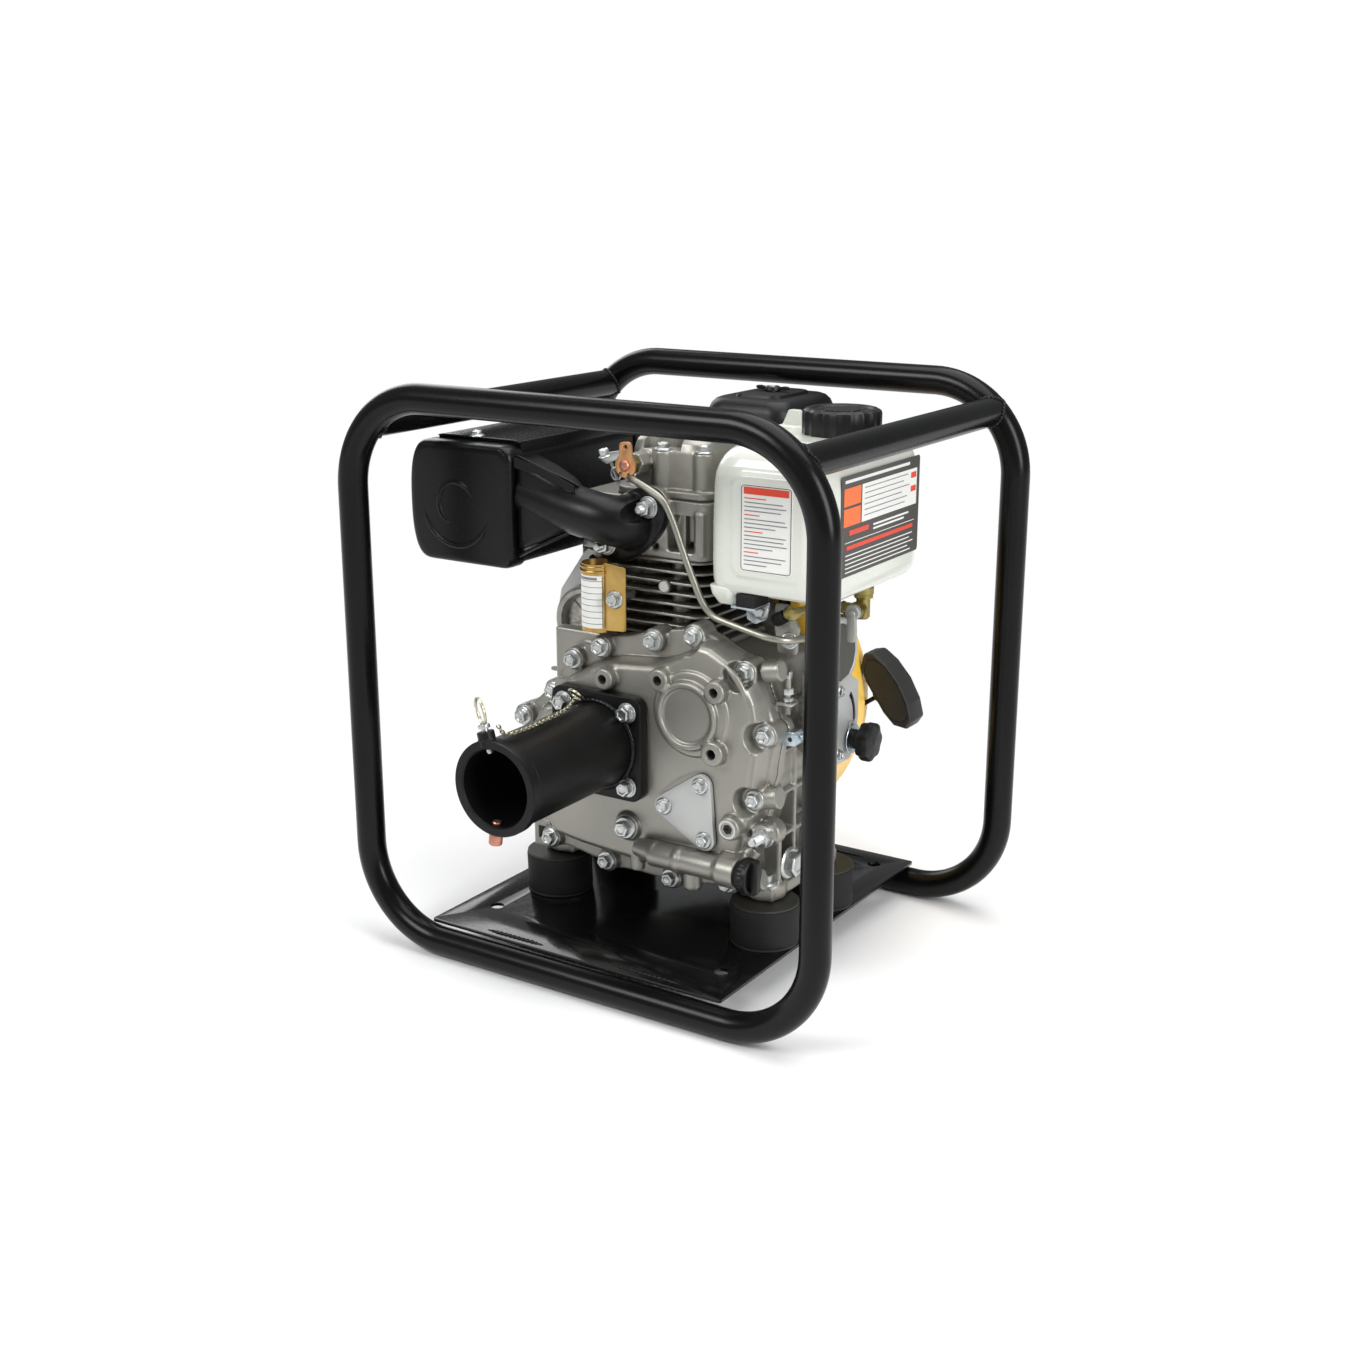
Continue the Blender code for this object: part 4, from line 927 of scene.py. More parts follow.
# stiffening arcs on the top right
for rr, th in ((58, 3.3),):
    pts = [(66 + rr * math.cos(math.radians(a)), -96.2, 251 + rr * math.sin(math.radians(a))) for a in range(12, 68, 4)]
    fade = [th * min(1.0, 0.25 + 0.16 * k, 0.25 + 0.16 * (len(pts) - 1 - k)) for k in range(len(pts))]
    pieces.append(sweep("t", pts, th, None, 14, False, fade))
cover = cast("crankcase_cover_cast", pieces, CAST, voxel=1.05, smooth=6)
holes = []
for x, z in ((-23, 271), (36, 279), (94, 277)):
    holes.append(turned("h", [(5.4, -112), (4.2, -108), (4.0, -96)], "y", (x, z), DARK, 28))
holes += [turned("h", [(5.8, -112), (4.4, -108.2), (4.2, -96)], "y", (92, 221), DARK, 28),
          prism("h", hexagon(109, 155, 8.5, 15), "y", -112, -101.5, DARK),
          turned("h", [(13.0, -130), (13.0, -50)], "y", (-30, 210), DARK, 32),
          turned("h", [(6.2, 60), (6.2, 130)], "x", (-108, 116), DARK, 24),
          prism("h", soften([(-121.5, 90), (-112.5, 90), (-112.5, 103), (-121.5, 103)], 0.8), "y", -84, -60, DARK)]
cut(cover, *holes)
show(cover, FRAME, "crankcase_cover", slot="cast_alloy")
m = {}
threads = []
for x, z in ((-23, 271), (36, 279), (94, 277), (92, 221)):
    threads.append(turned("t", [(4.1 + (0.35 if k % 2 else 0), -107.5 + 0.55 * k) for k in range(19)] + [(4.6, -97), (4.6, -107.5)],
                          "y", (x, z), DARK, 24, ring=True))
    threads.append(turned("t", [(0, -97.2), (4.5, -97.2), (4.5, -96.6), (0, -96.6)], "y", (x, z), DARK, 24))
threads.append(turned("t", [(6.2, -107.4), (8.6, -107.4), (8.6, -108.9), (6.6, -108.9)], "y", (109, 155), ZINC, 32, ring=True))
show(merge("cover_threads", threads), FRAME, slot="steel")

turns = random.Random(3)
show(bolts("cover_bolts", [((x, SEAT - 0.1, z), FRONT, turns.uniform(0, 60)) for x, z in COVER_BOLTS],
           across=11.6, head=6.4, flange_r=9.6, flange_h=1.6), FRAME, slot="zinc")
gov = []
for x, z in ((78, 188), (40, 162), (82, 138)):
    gov.append((x, z))
tri = []
for x, z in gov:
    a = math.atan2(z - 162.7, x - 66.7)
    for d in range(60, -61, -15):
        b = a + math.radians(d)
        tri.append((x + 10.4 * math.cos(b), z + 10.4 * math.sin(b)))
tri = sorted(tri, key=lambda p: math.atan2(p[1] - 162.7, p[0] - 66.7))
show(bevel(prism("governor_cover", tri, "y", -103.9, -99.1, GREY_LIGHT), 0.7, 2), FRAME, "governor_plate", slot="grey_paint")
show(prism("governor_gasket", [(66.7 + (x - 66.7) * 1.012, 162.7 + (z - 162.7) * 1.012) for x, z in tri], "y", -99.3, -98.4, GASKET),
     FRAME, slot="rubber")
show(bolts("governor_bolts", [((x, -103.9, z), FRONT, turns.uniform(0, 60)) for x, z in gov],
           across=9.6, head=5.4, flange_r=8.0, flange_h=1.4), FRAME, slot="zinc")
show(bolts("cover_plug_bolt", [((-2, -104.2, 133), FRONT, 12)], across=13.5, head=7.6, flange_r=11.2, flange_h=2.0),
     FRAME, "cover_hex_plug", slot="zinc")
stud = merge("filter_stud", [
    turned("t", [(0, -106), (3.2, -106), (4.4, -105)] + [(4.4 + (0.0 if k % 2 else 0.35), -104.6 + 0.6 * k) for k in range(22)]
           + [(4.6, -90), (4.6, -84), (0, -84)], "y", (132, 146), ZINC, 28),
    bevel_light(prism("t", hexagon(132, 146, 15.5, 8), "y", -92, -86.4, ZINC)),
    turned("t", [(0, -86.3), (10.2, -86.3), (10.5, -85.6), (10.5, -84.6), (0, -84.4)], "y", (132, 146), ZINC, 36)])
show(stud, FRAME, "filter_bolt", slot="zinc")

# oil dipstick cap: a round cap with a flat thumb ridge
cap = turned("dipstick_cap", [(0, 124.6), (13.6, 124.6), (15.6, 125.4), (16, 127), (16, 138.2), (15.4, 140), (13.6, 141), (0, 141.2)],
             "x", (-108, 116), PLASTIC, 96, radius=lambda r, h, a: r + (0.35 * math.cos(32 * a) if 126 < h < 139 and r > 15 else 0))
scoop = [prism("s", [(-108 + 3.4, 98), (-108 + 30, 98), (-108 + 30, 134), (-108 + 3.4, 134)], "x", 131.5, 150, None),
         prism("s", [(-108 - 30, 98), (-108 - 3.4, 98), (-108 - 3.4, 134), (-108 - 30, 134)], "x", 131.5, 150, None)]
rim = turned("t", [(13.2, 131), (15.9, 131), (15.9, 134.6), (15.2, 135.4), (13.2, 135.4)], "x", (-108, 116), PLASTIC, 96, ring=True)
cut(cap, *scoop)
cap = bevel(cap, 0.5, 2)
stem = turned("t", [(5.4, 74), (5.4, 125)], "x", (-108, 116), PLASTIC, 32)
show(merge("dipstick_cap_knob", [cap, rim, stem]), "stick", "dipstick", slot="black_plastic")
show(turned("dipstick_ring", [(6.8, 121.9), (11.3, 121.9), (11.9, 122.5), (11.9, 123.6), (11.3, 124.2), (6.8, 124.2)], "x", (-108, 116), RUBBER, 48,
            ring=True), "stick_seal", "dipstick_seal", slot="rubber")

# crankcase body
inner = [(min(max(x * 0.95, -121), 124), 195 + (z - 195) * 0.95) for x, z in outline]
inner = [(x, min(z, 292)) for x, z in inner]
body = stack("t", [(-61.6, outline), (-50, outline), (-48, inset(outline, 3)), (-46, inner), (61, inner)], "y", None)
body = cut(body, box("s", -170, 170, -66, 100, 298.2, 350), box("s", 128.2, 170, -51, 90, 60, 350), box("s", -170, -125.6, -51, 90, 60, 350))
parts = [body, box("t", -128, -94, -60.5, 76, 72.4, 84), box("t", 94, 128, -60.5, 76, 72.4, 84), box("t", -100, 100, -58, 60, 76, 96),
         box("t", -111, 51, -60, 61, 240, 297.6)]
for x in (-127.4, 127.6):
    for y in (-46, 18, 66):
        parts.append(prism("t", [(y - 3, 84), (y + 3, 84), (y + 3, 128), (y - 3, 128)], "x", min(x, x - math.copysign(16, x)),
                           max(x, x - math.copysign(16, x)), None))
for z in (132, 172, 212, 252):
    parts.append(box("t", -125.4, -112, -50, 60, z - 2.2, z + 2.2))
    parts.append(box("t", 112, 128, -50, 60, z - 2.2, z + 2.2))
for y in (-20, 24):
    parts.append(box("t", -125.4, -112, y - 2.2, y + 2.2, 100, 262))
    parts.append(box("t", 112, 128, y - 2.2, y + 2.2, 100, 262))
for sx in (-1, 1):
    for sy in (-1, 1):
        parts.append(turned("t", [(19, 72.4), (19, 86), (17.5, 87.5), (0, 87.5)], "z", (sx * 112, sy * 47 + 2), None, 40))
parts += [turned("t", [(128, 50), (128, 61.6)], "y", (-2, 200), None, 96)]
parts[-1] = cut(parts[-1], box("s", -170, 170, 40, 70, 296, 400), box("s", 126, 170, 40, 70, 0, 400), box("s", -170, -125.6, 40, 70, 0, 400))
case = cast("crankcase_cast", parts, CAST, voxel=1.5, smooth=6)
cut(case, turned("h", [(12.8, 20), (12.8, 80)], "y", (-30, 210), CAST, 40), box("h", -170, 170, 61.7, 90, 60, 350, CAST))
cut(case, prism("c", [(-135, 236), (-135, 310), (-80, 310), (-84, 286)], "y", -47, 70, CAST))
show(case, FRAME, "crankcase", slot="cast_alloy")
show(prism("cover_gasket", inset(outline, 0.4), "y", -62.6, -61.4, GASKET), FRAME, slot="rubber")
show(bolts("foot_bolts", [((sx * 116, sy * 53, 87.2), UP, turns.uniform(0, 60)) for sx in (-1, 1) for sy in (-1, 1)],
           across=14, head=8, flange_r=11, flange_h=1.6), FRAME, slot="zinc")
drain = [((126.5, -30, 101), RIGHT, 10), ((-124.5, -14, 101), -RIGHT, 22)]
show(bolts("drain_plugs", drain, across=20, head=9.5, flange_r=15.5, flange_h=2.4), FRAME, slot="zinc")

# ------------------------------------------------------------------ coupling tube, its bolts, pin, catch and keeper chain
CX, CZ = -30.0, 210.0
tube_parts = [
    bevel(cut(prism("flange", rounded(CX - 49, CX + 49, CZ - 49, CZ + 49, 11, 10), "y", -110, -98.9, TUBE_PAINT),
              turned("h", [(33.5, -120), (33.5, -90)], "y", (CX, CZ), TUBE_PAINT, 64)), 1.1, 3),
    turned("barrel", [(34, -99), (34, -255.2), (35.2, -256.9), (41.4, -256.9), (42.3, -256.2), (42.5, -255.2), (42.5, -247.6), (42.0, -247.0),
                      (40.7, -246.8), (40.5, -244.2), (39.8, -243.9), (39.8, -243.3), (40, -243), (40, -150), (40, -99)], "y", (CX, CZ), TUBE_PAINT, 96,
           ring=True),
    turned("back", [(20, -98.95), (39, -98.95), (39, -103), (20, -103)], "y", (CX, CZ), TUBE_PAINT, 64, ring=True)]
ringpts, radii = [], []
for k in range(170):
    a = 2 * math.pi * k / 170
    ringpts.append((CX + 41 * math.cos(a), -110.6, CZ + 41 * math.sin(a)))
    radii.append(2.7 + 0.30 * math.sin(k * 2.05) + rng.uniform(-0.15, 0.15))
tube_parts.append(sweep("weld", ringpts, 2.6, WELD, 12, True, radii, smooth=60))
PIN_DIR = Vector((-0.2616, 0.0, 0.9652))
PIN_AT = Vector((CX, -250, CZ))
boss = spun("pin_boss", [(3.5, 36.5), (7.5, 36.5), (7.5, 48.2), (6.9, 49.0), (3.8, 49.0)], PIN_AT, PIN_DIR, TUBE_PAINT, 40, ring=True)
tube_parts.append(boss)
cpts, cr = [], []
sx_, sy_ = Vector((0, 1, 0)), PIN_DIR.cross(Vector((0, 1, 0))).normalized()
for k in range(48):
    a = 2 * math.pi * k / 48
    c = PIN_AT + 7.2 * (math.cos(a) * sx_ + math.sin(a) * sy_)
    rise = math.sqrt(max(0.0, 42.4 ** 2 - (8.0 * math.sin(a)) ** 2))
    cpts.append(c + PIN_DIR * (rise if abs(math.cos(a)) < 2 else rise))
    cr.append(1.1 + 0.15 * math.sin(k * 1.7))
tube_parts.append(sweep("w", [p if p.y < -246.9 else p - PIN_DIR * 2.2 for p in cpts], 1.1, WELD, 8, True, cr, smooth=60))
show(merge("coupling_tube_weldment", tube_parts), FRAME, "coupling_tube", slot="frame_paint")

for i, (a, b) in enumerate(((-1, 1), (1, 1), (1, -1), (-1, -1))):
    at = (CX + a * 35, -110.0, CZ + b * 35)
    show(bolts("coupling_bolt_%d" % (i + 1), [(at, FRONT, 10 + 17 * i)], across=12.4, head=6.8, washer=[(9.4, 1.5), (8.0, 2.0)]),
         FRAME, "flange_bolt_%d" % (i + 1), slot="zinc")

# lock pin with its double-turn split ring
ring_at = PIN_AT + PIN_DIR * 66
across_dir = Vector((0.75, -0.66, 0.2033)).normalized()
third = PIN_DIR.cross(across_dir).normalized()
split = []
for k in range(96):
    a = -1.2 + 2 * math.pi * 1.93 * k / 95
    split.append(ring_at + 11.6 * math.cos(a) * PIN_DIR + 7.6 * math.sin(a) * Vector((0.86, -0.45, 0.233)).normalized() + third * (-0.75 + 1.5 * k / 95))
pin_vis = merge("lock_pin_set", [
    spun("t", [(0, 29.6), (2.2, 29.8), (3.0, 31), (3.0, 51.4), (5.0, 51.6), (5.2, 52.2), (5.2, 54.2), (4.6, 54.9), (2.2, 55), (1.9, 56.6), (0, 57)],
         PIN_AT, PIN_DIR, ZINC, 32),
    sweep("t", [PIN_AT + PIN_DIR * 54.6 + third * (2.2 * math.cos(a) * -1) + PIN_DIR * (2.2 * math.sin(a) + 0.4)
                for a in [math.pi * q / 14 for q in range(15)]], 0.7, ZINC, 10),
    sweep("t", split, 0.95, CHAIN, 12)])
show(pin_vis, "pin", "lock_pin", slot="zinc")

COPPER_PIN = surface("pink_copper", (0.60, 0.27, 0.19), 0.9, 0.42, 0.06, 60, 0.12, 1000, 0.12, 0.0001)
catch_dir = Vector((-1.38, 0, -10.1)).normalized()
catch_at = Vector((CX - 4.35, -248, CZ - 31.8))
show(spun("catch_plunger", [(0, 0), (3.4, 0.2), (4.2, 1.2), (4.2, 11.4), (5.6, 11.6), (5.9, 12.2), (5.9, 20.6), (5.3, 21.5), (0, 21.8)],
          catch_at, catch_dir, COPPER_PIN, 40), "catch", "plunger", slot="copper_zinc")

# keeper chain: small cable links, each turned a quarter from the last
route = spline([(-31.4, -246.0, 262.0), (-30.0, -240.0, 254.6), (-29.0, -225, 252.2), (-29.5, -190, 251.8), (-31, -155, 253.0), (-36.5, -131, 257.0)], 24)
lengths = [0.0]
for p, q in zip(route, route[1:]):
    lengths.append(lengths[-1] + (q - p).length)


def along(s):
    s = min(max(s, 0.0), lengths[-1])
    for i in range(len(route) - 1):
        if lengths[i + 1] >= s:
            t = (s - lengths[i]) / max(1e-6, lengths[i + 1] - lengths[i])
            return route[i].lerp(route[i + 1], t), (route[i + 1] - route[i]).normalized()
    return route[-1], (route[-1] - route[-2]).normalized()


links = []
pitch = 3.15
count = int(lengths[-1] / pitch)
for i in range(count + 1):
    c, d = along(i * lengths[-1] / count)
    up = Vector((0, 0, 1))
    side = d.cross(up).normalized()
    up = side.cross(d).normalized()
    tilt = math.radians(45 + (90 if i % 2 else 0) + rng.uniform(-14, 14))
    w = math.cos(tilt) * side + math.sin(tilt) * up
    oval = []
    for k in range(16):
        a = 2 * math.pi * k / 16
        oval.append(c + d * (1.45 * math.cos(a) + 0.75 * (1 if math.cos(a) > 0.05 else -1 if math.cos(a) < -0.05 else 0)) + w * 1.45 * math.sin(a))
    links.append(sweep("l", oval, 0.52, CHAIN, 6, True))
chain = merge("keeper_chain_links", links)
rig.replaces(chain, "pin_chain")
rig.slot(chain, "zinc")
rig.blend(chain, FRAME, "pin", start=(-0.029, (-225 + CY) * MM, 0.2525), end=(-0.0305, (-246 + CY) * MM, 0.262))
keeper = []
for k in range(80):
    a = 2 * math.pi * 1.9 * k / 79
    keeper.append(Vector((-43.5, -121.5, 256.5)) + Vector((0.86, -0.45, 0.18)).normalized() * 9.2 * math.cos(a)
                  + Vector((-0.25, -0.62, 0.74)).normalized() * 7.6 * math.sin(a) + Vector((0.2, 0.5, 0.6)) * (1.3 * k / 79))
show(sweep("keeper_ring", keeper, 0.95, CHAIN, 10), FRAME, slot="zinc")

# ------------------------------------------------------------------ exhaust: elbow casting, hood, muffler, perforated shield
tilt = math.atan2(424.0 - 386.0, 4.0 + 41.0)
flange_out = []
for k in range(72):
    a = 2 * math.pi * k / 72
    p = 43 * math.copysign(abs(math.cos(a)) ** 0.86, math.cos(a))
    q = 26 * math.copysign(abs(math.sin(a)) ** 0.86, math.sin(a))
    flange_out.append((-18.5 + p * math.cos(tilt) - q * math.sin(tilt), 405 + p * math.sin(tilt) + q * math.cos(tilt)))
path = spline([(-17, -66, 409), (-18, -80, 410), (-26, -90, 412), (-44, -94, 416), (-70, -92, 420), (-96, -88, 425), (-116, -85, 428)], 8)
rad = []
for i in range(len(path)):
    t = i / (len(path) - 1)
    rad.append(25.5 - 3.5 * min(1, t * 3) + 1.0 * max(0, t - 0.7))
pieces = [prism("t", flange_out, "y", -71.5, -62.0, None), sweep("t", path, 22, None, 40, False, rad),
          turned("t", [(13, -71), (12, -73.4), (0, -73.4)], "y", (4, 424), None, 32), turned("t", [(13, -71), (12, -73.4), (0, -73.4)], "y", (-41, 386), None, 32)]
elbow = cast("exhaust_elbow_cast", pieces, EXH_PAINT, voxel=1.4, smooth=7)
cut(elbow, *[turned("h", [(12.6, -130), (11.2, -73.6), (10.6, -73.0), (0, -73.0)], "y", s, EXH_PAINT, 40) for s in ((4, 424), (-41, 386))])
show(elbow, FRAME, "exhaust_elbow", slot="frame_paint")
hood = []
for x, y0, y1, z0, z1, r in ((-120, -101, -64, 372, 461, 9), (-112, -106, -66, 378, 459, 9), (-92, -108, -70, 385, 454, 9), (-70, -106, -74, 395, 446, 10),
                             (-58, -100, -78, 402, 438, 10)):
    hood.append((x, rounded(y0, y1, z0, z1, r, 6)))
hood = bevel(stack("exhaust_hood", hood, "x", EXH_PAINT), 1.2, 2, 25)
show(hood, FRAME, slot="frame_paint")
seam = [sweep("t", [(-119, -100, 462), (-104, -104, 459), (-84, -104.5, 453), (-66, -101, 446.5), (-55, -95, 440)], 1.7, EXH_PAINT, 10),
        sweep("t", [(-119, -100, 371.5), (-100, -104, 381), (-80, -104, 390), (-60, -98, 400)], 1.7, EXH_PAINT, 10),
        prism("t", [(-118, 462), (-86, 455), (-52, 442), (-52, 436), (-88, 447), (-118, 453)], "y", -106.6, -105.2, EXH_PAINT)]
show(merge("exhaust_hood_seams", seam), FRAME, slot="frame_paint")
for name, (x, z) in (("exhaust_nut_1", (4, 424)), ("exhaust_nut_2", (-41, 386))):
    show(bolts(name + "_set", [((x, -72.8, z), FRONT, 21)], across=12.6, head=8.0, cupped=False, washer=[(10.0, 1.6), (8.4, 1.8)],
               stud=(3.9, 6.0)), FRAME, name, slot="zinc")


def muffler_outline(grow=0.0, n=26):
    """A rounded rectangle whose left side bulges."""
    x0, x1, z0, z1 = -214.0, -119.4 + grow, 358.6 - grow, 471.0 + grow
    pts = []
    r = 13.0
    for cx, cz, a0 in ((x1 - r, z1 - r, 0),):
        for i in range(9):
            a = math.radians(a0 + 90 - 90 * (1 - i / 8))
            pts.append((cx + r * math.cos(a), cz + r * math.sin(a)))
    zc, half = (z0 + z1) / 2, (z1 - z0) / 2
    for i in range(n + 1):
        a = math.radians(90 + 180 * i / n)
        c = math.copysign(abs(math.cos(a)) ** 0.62, math.cos(a))
        s = math.copysign(abs(math.sin(a)) ** 0.80, math.sin(a))
        pts.append((x0 + (25.5 + grow) * c, zc + half * s))
    for i in range(9):
        a = math.radians(270 + 90 * i / 8)
        pts.append((x1 - r + r * math.cos(a), z0 + r + r * math.sin(a)))
    return pts


def about(pts, k, c=(-176.0, 414.8)):
    return [(c[0] + (x - c[0]) * k, c[1] + (z - c[1]) * k) for x, z in pts]


mo = muffler_outline()
sections = [(-111.6, about(mo, 0.86)), (-111.3, about(mo, 0.93)), (-110.2, about(mo, 0.965)), (-108, about(mo, 0.985)), (-105, about(mo, 0.997)), (-101, mo),
            (-90.5, mo), (-89.4, about(mo, 0.993)), (-89.2, about(mo, 0.966)), (-60, about(mo, 0.966)), (88, about(mo, 0.966)), (88.2, about(mo, 0.993)),
            (89.4, mo), (101, mo), (105, about(mo, 0.99)), (108.5, about(mo, 0.96)), (109.8, about(mo, 0.90))]
muf = [stack("muffler_can", sections, "y", MUFF_PAINT, 50)]


def arc(c, r, a0, a1, y, w):
    n = int(abs(a1 - a0) / 4) + 2
    pts, rr = [], []
    for k in range(n + 1):
        a = math.radians(a0 + (a1 - a0) * k / n)
        pts.append((c[0] + r * math.cos(a), y, c[1] + r * math.sin(a)))
        rr.append(w * min(1.0, 0.35 + 4 * k / n, 0.35 + 4 * (n - k) / n))
    return sweep("t", pts, w, MUFF_PAINT, 12, False, rr)


muf += [arc((-183, 414), 20.5, 20, 250, -110.6, 2.6), arc((-183, 414), 39.0, 192, 342, -110.6, 2.8)]
show(merge("muffler_body", muf), FRAME, "muffler", slot="frame_paint")
out_pipe = merge("muffler_outlet", [
    turned("t", [(10.4, 104), (12.2, 104), (12.2, 122), (10.4, 122)], "y", (-170, 392), EXH_PAINT, 48, ring=True),
    turned("t", [(12, 109), (16, 109.5), (15.5, 110.6), (12, 111)], "y", (-170, 392), EXH_PAINT, 48, ring=True),
    turned("t", [(0, 106), (10.6, 106), (10.6, 107), (0, 107)], "y", (-170, 392), DARK, 48)])
show(out_pipe, FRAME, slot="frame_paint")


def perforated(name, x0, x1, y0, y1, pitch, r, height, thick, look):
    """A sheet with a grid of round holes; height(x, y) bends it."""
    nx, ny = int((x1 - x0) / pitch), int((y1 - y0) / pitch)
    px, py = (x1 - x0) / nx, (y1 - y0) / ny
    bm = bmesh.new()
    cache = {}

    def vert(x, y):
        key = (round(x, 3), round(y, 3))
        if key not in cache:
            cache[key] = bm.verts.new((x, y, height(x, y)))
        return cache[key]
    for i in range(nx):
        for j in range(ny):
            cx, cy = x0 + (i + 0.5) * px, y0 + (j + 0.5) * py
            edge, hole = [], []
            for k in range(8):
                a = math.radians(45 * k)
                ex = cx + px / 2 * (1 if math.cos(a) > 0.3 else -1 if math.cos(a) < -0.3 else 0)
                ey = cy + py / 2 * (1 if math.sin(a) > 0.3 else -1 if math.sin(a) < -0.3 else 0)
                edge.append(vert(ex, ey))
                hole.append(vert(cx + r * math.cos(a), cy + r * math.sin(a)))
            for k in range(8):
                m_ = (k + 1) % 8
                bm.faces.new((edge[k], edge[m_], hole[m_], hole[k]))
    ob = link(name, bm, look, 40)
    so = ob.modifiers.new("thick", "SOLIDIFY")
    so.thickness = thick * MM
    so.offset = -1
    applied(ob)
    ob.data.shade_smooth()
    ob.data.set_sharp_from_angle(angle=math.radians(40))
    return ob


def crown(x, y):
    return 474.8 - 2.6 * ((x + 170) / 50) ** 4 - 0.3 * ((y - 4) / 96) ** 2


shield = [perforated("t", -214, -128, -84, 92, 4.4, 1.35, crown, 1.1, MUFF_PAINT)]
frame_sheet = prism("t", rounded(-218, -124, -91, 99, 5, 5), "z", 472.2, 473.3, MUFF_PAINT)
cut(frame_sheet, prism("c", rounded(-213, -129, -83, 91, 3, 4), "z", 460, 490, MUFF_PAINT))
shield.append(frame_sheet)
for x0, x1, z0, z1 in ((-124.4, -123.2, 452, 472.8), (-219.2, -218, 462, 472.8)):
    shield.append(bevel(box("t", x0, x1, -89, 97, z0, z1, MUFF_PAINT), 0.3, 2))
shield.append(bevel(prism("t", [(-218.6, 473.3), (-213, 474.5), (-129, 474.5), (-123.6, 473.3), (-123.2, 472.2), (-218.8, 472.2)], "y", -91, -84, MUFF_PAINT), 0.4, 2))
shield.append(bevel(prism("t", [(-218.6, 473.3), (-213, 474.5), (-129, 474.5), (-123.6, 473.3), (-123.2, 472.2), (-218.8, 472.2)], "y", 92, 99, MUFF_PAINT), 0.4, 2))
show(merge("heat_shield_sheet", shield), FRAME, "heat_shield", slot="frame_paint")
show(bolts("shield_screws", [((-175, -87.6, 474.4), UP, 8), ((-175, 95.5, 474.4), UP, 31)], across=8.6, head=4.6, flange_r=7.2, flange_h=1.3),
     FRAME, slot="zinc")

# ------------------------------------------------------------------ cylinder, head, rocker cover
def fin(z0, z1, x0=-79.5, x1=56.0, y0=-61.5, y1=64.0, r=20.0):
    o = rounded(x0, x1, y0, y1, r, 8)
    k = 0.55
    m_ = stack("fin", [(z0, [(x * 0.994 - 0.17, y * 0.99) for x, y in o]), (z0 + k, o), (z1 - k, o),
                       (z1, [(x * 0.994 - 0.17, y * 0.99) for x, y in o])], "z", FIN_SHADED_ALLOY, 50)
    # painted shade: the flat fin faces keep the darkened alloy, and only the outward rim faces get the lighter alloy
    # tone
    m_.data.materials.append(FIN_EDGE)
    for poly in m_.data.polygons:
        if abs(poly.normal.z) < 0.72:
            poly.material_index = 1
    return m_


fins = []
pitch_z = (376.6 - 298.3) / 8
for i in range(8):
    z1 = 298.3 + (i + 1) * pitch_z
    fins.append(fin(z1 - 2.9, z1))
# the core and bosses between the fins are darkened as painted shade too
core = [turned("t", [(48, 298.4), (48, 376.4)], "z", (-30, 0), FIN_SHADED_ALLOY, 64),
        turned("t", [(49.5, 298.4), (49.5, 304)], "z", (-30, 0), FIN_SHADED_ALLOY, 64)]
for cx_, cy_ in ((-66, -44), (20, -44), (-66, 46), (20, 46)):
    core.append(turned("t", [(8.5, 298.5), (8.5, 376.3)], "z", (cx_, cy_), FIN_SHADED_ALLOY, 28))
plug = turned("t", [(5.2, -64.2), (5.2, -64.8), (4.8, -65.2), (0, -65.2)], "y", (14.5, 352.4), MACHINED, 32)
core.append(turned("t", [(6.2, -48), (6.2, -64.2), (0, -64.2)], "y", (14.5, 352.4), FIN_SHADED_ALLOY, 32))
show(merge("cylinder_fins", fins + core + [plug]), FRAME, "cylinder", slot="fin_alloy")

hp = [prism("t", rounded(-79, 54, -61.4, 62, 8, 5), "z", 377.2, 384.5, None), prism("t", rounded(-79, 54, -59, 60, 8, 5), "z", 417, 429.6, None),
      box("t", -70, 26, -46, 48, 383, 420), box("t", 44, 53.6, -60.6, -44, 383, 420), box("t", 6, 16, -60.6, -40, 383, 420),
      box("t", 42, 53, 20, 60, 383, 420), box("t", -77, -68, -60, -46, 383, 420), box("t", -77, -68, 44, 60, 383, 420),
      cyl((48, -50, 378), (48, -50, 429), 9.5), cyl((48, 50, 378), (48, 50, 429), 9.5), cyl((-69, -50, 378), (-69, -50, 429), 9.0),
      cyl((-69, 50, 378), (-69, 50, 429), 9.0), box("t", 16, 48, -30, -26, 383, 420), cyl((30, -40, 402), (30, -20, 402), 13.0)]
for z in (391, 398, 405, 412):
    hp.append(prism("t", rounded(-78, 4, -60, 60, 8, 4), "z", z - 1.3, z + 1.3, None))
hp.append(prism("t", flange_out, "y", -62.0, -44, None))
head = cast("cylinder_head_cast", hp, CAST, voxel=1.25, smooth=4)
cut(head, prism("c", [(x, z) for x, z in flange_out], "y", -70, -61.7, CAST))
show(head, FRAME, "cylinder_head", slot="cast_alloy")
show(prism("exhaust_gasket", [(-18.5 + (x + 18.5) * 0.99, 405 + (z - 405) * 0.99) for x, z in flange_out], "y", -62.1, -61.5, GASKET), FRAME, slot="rubber")
show(prism("head_gasket", rounded(-80, 55, -61.6, 62.4, 8, 5), "z", 376.5, 377.3, GASKET), FRAME, slot="rubber")

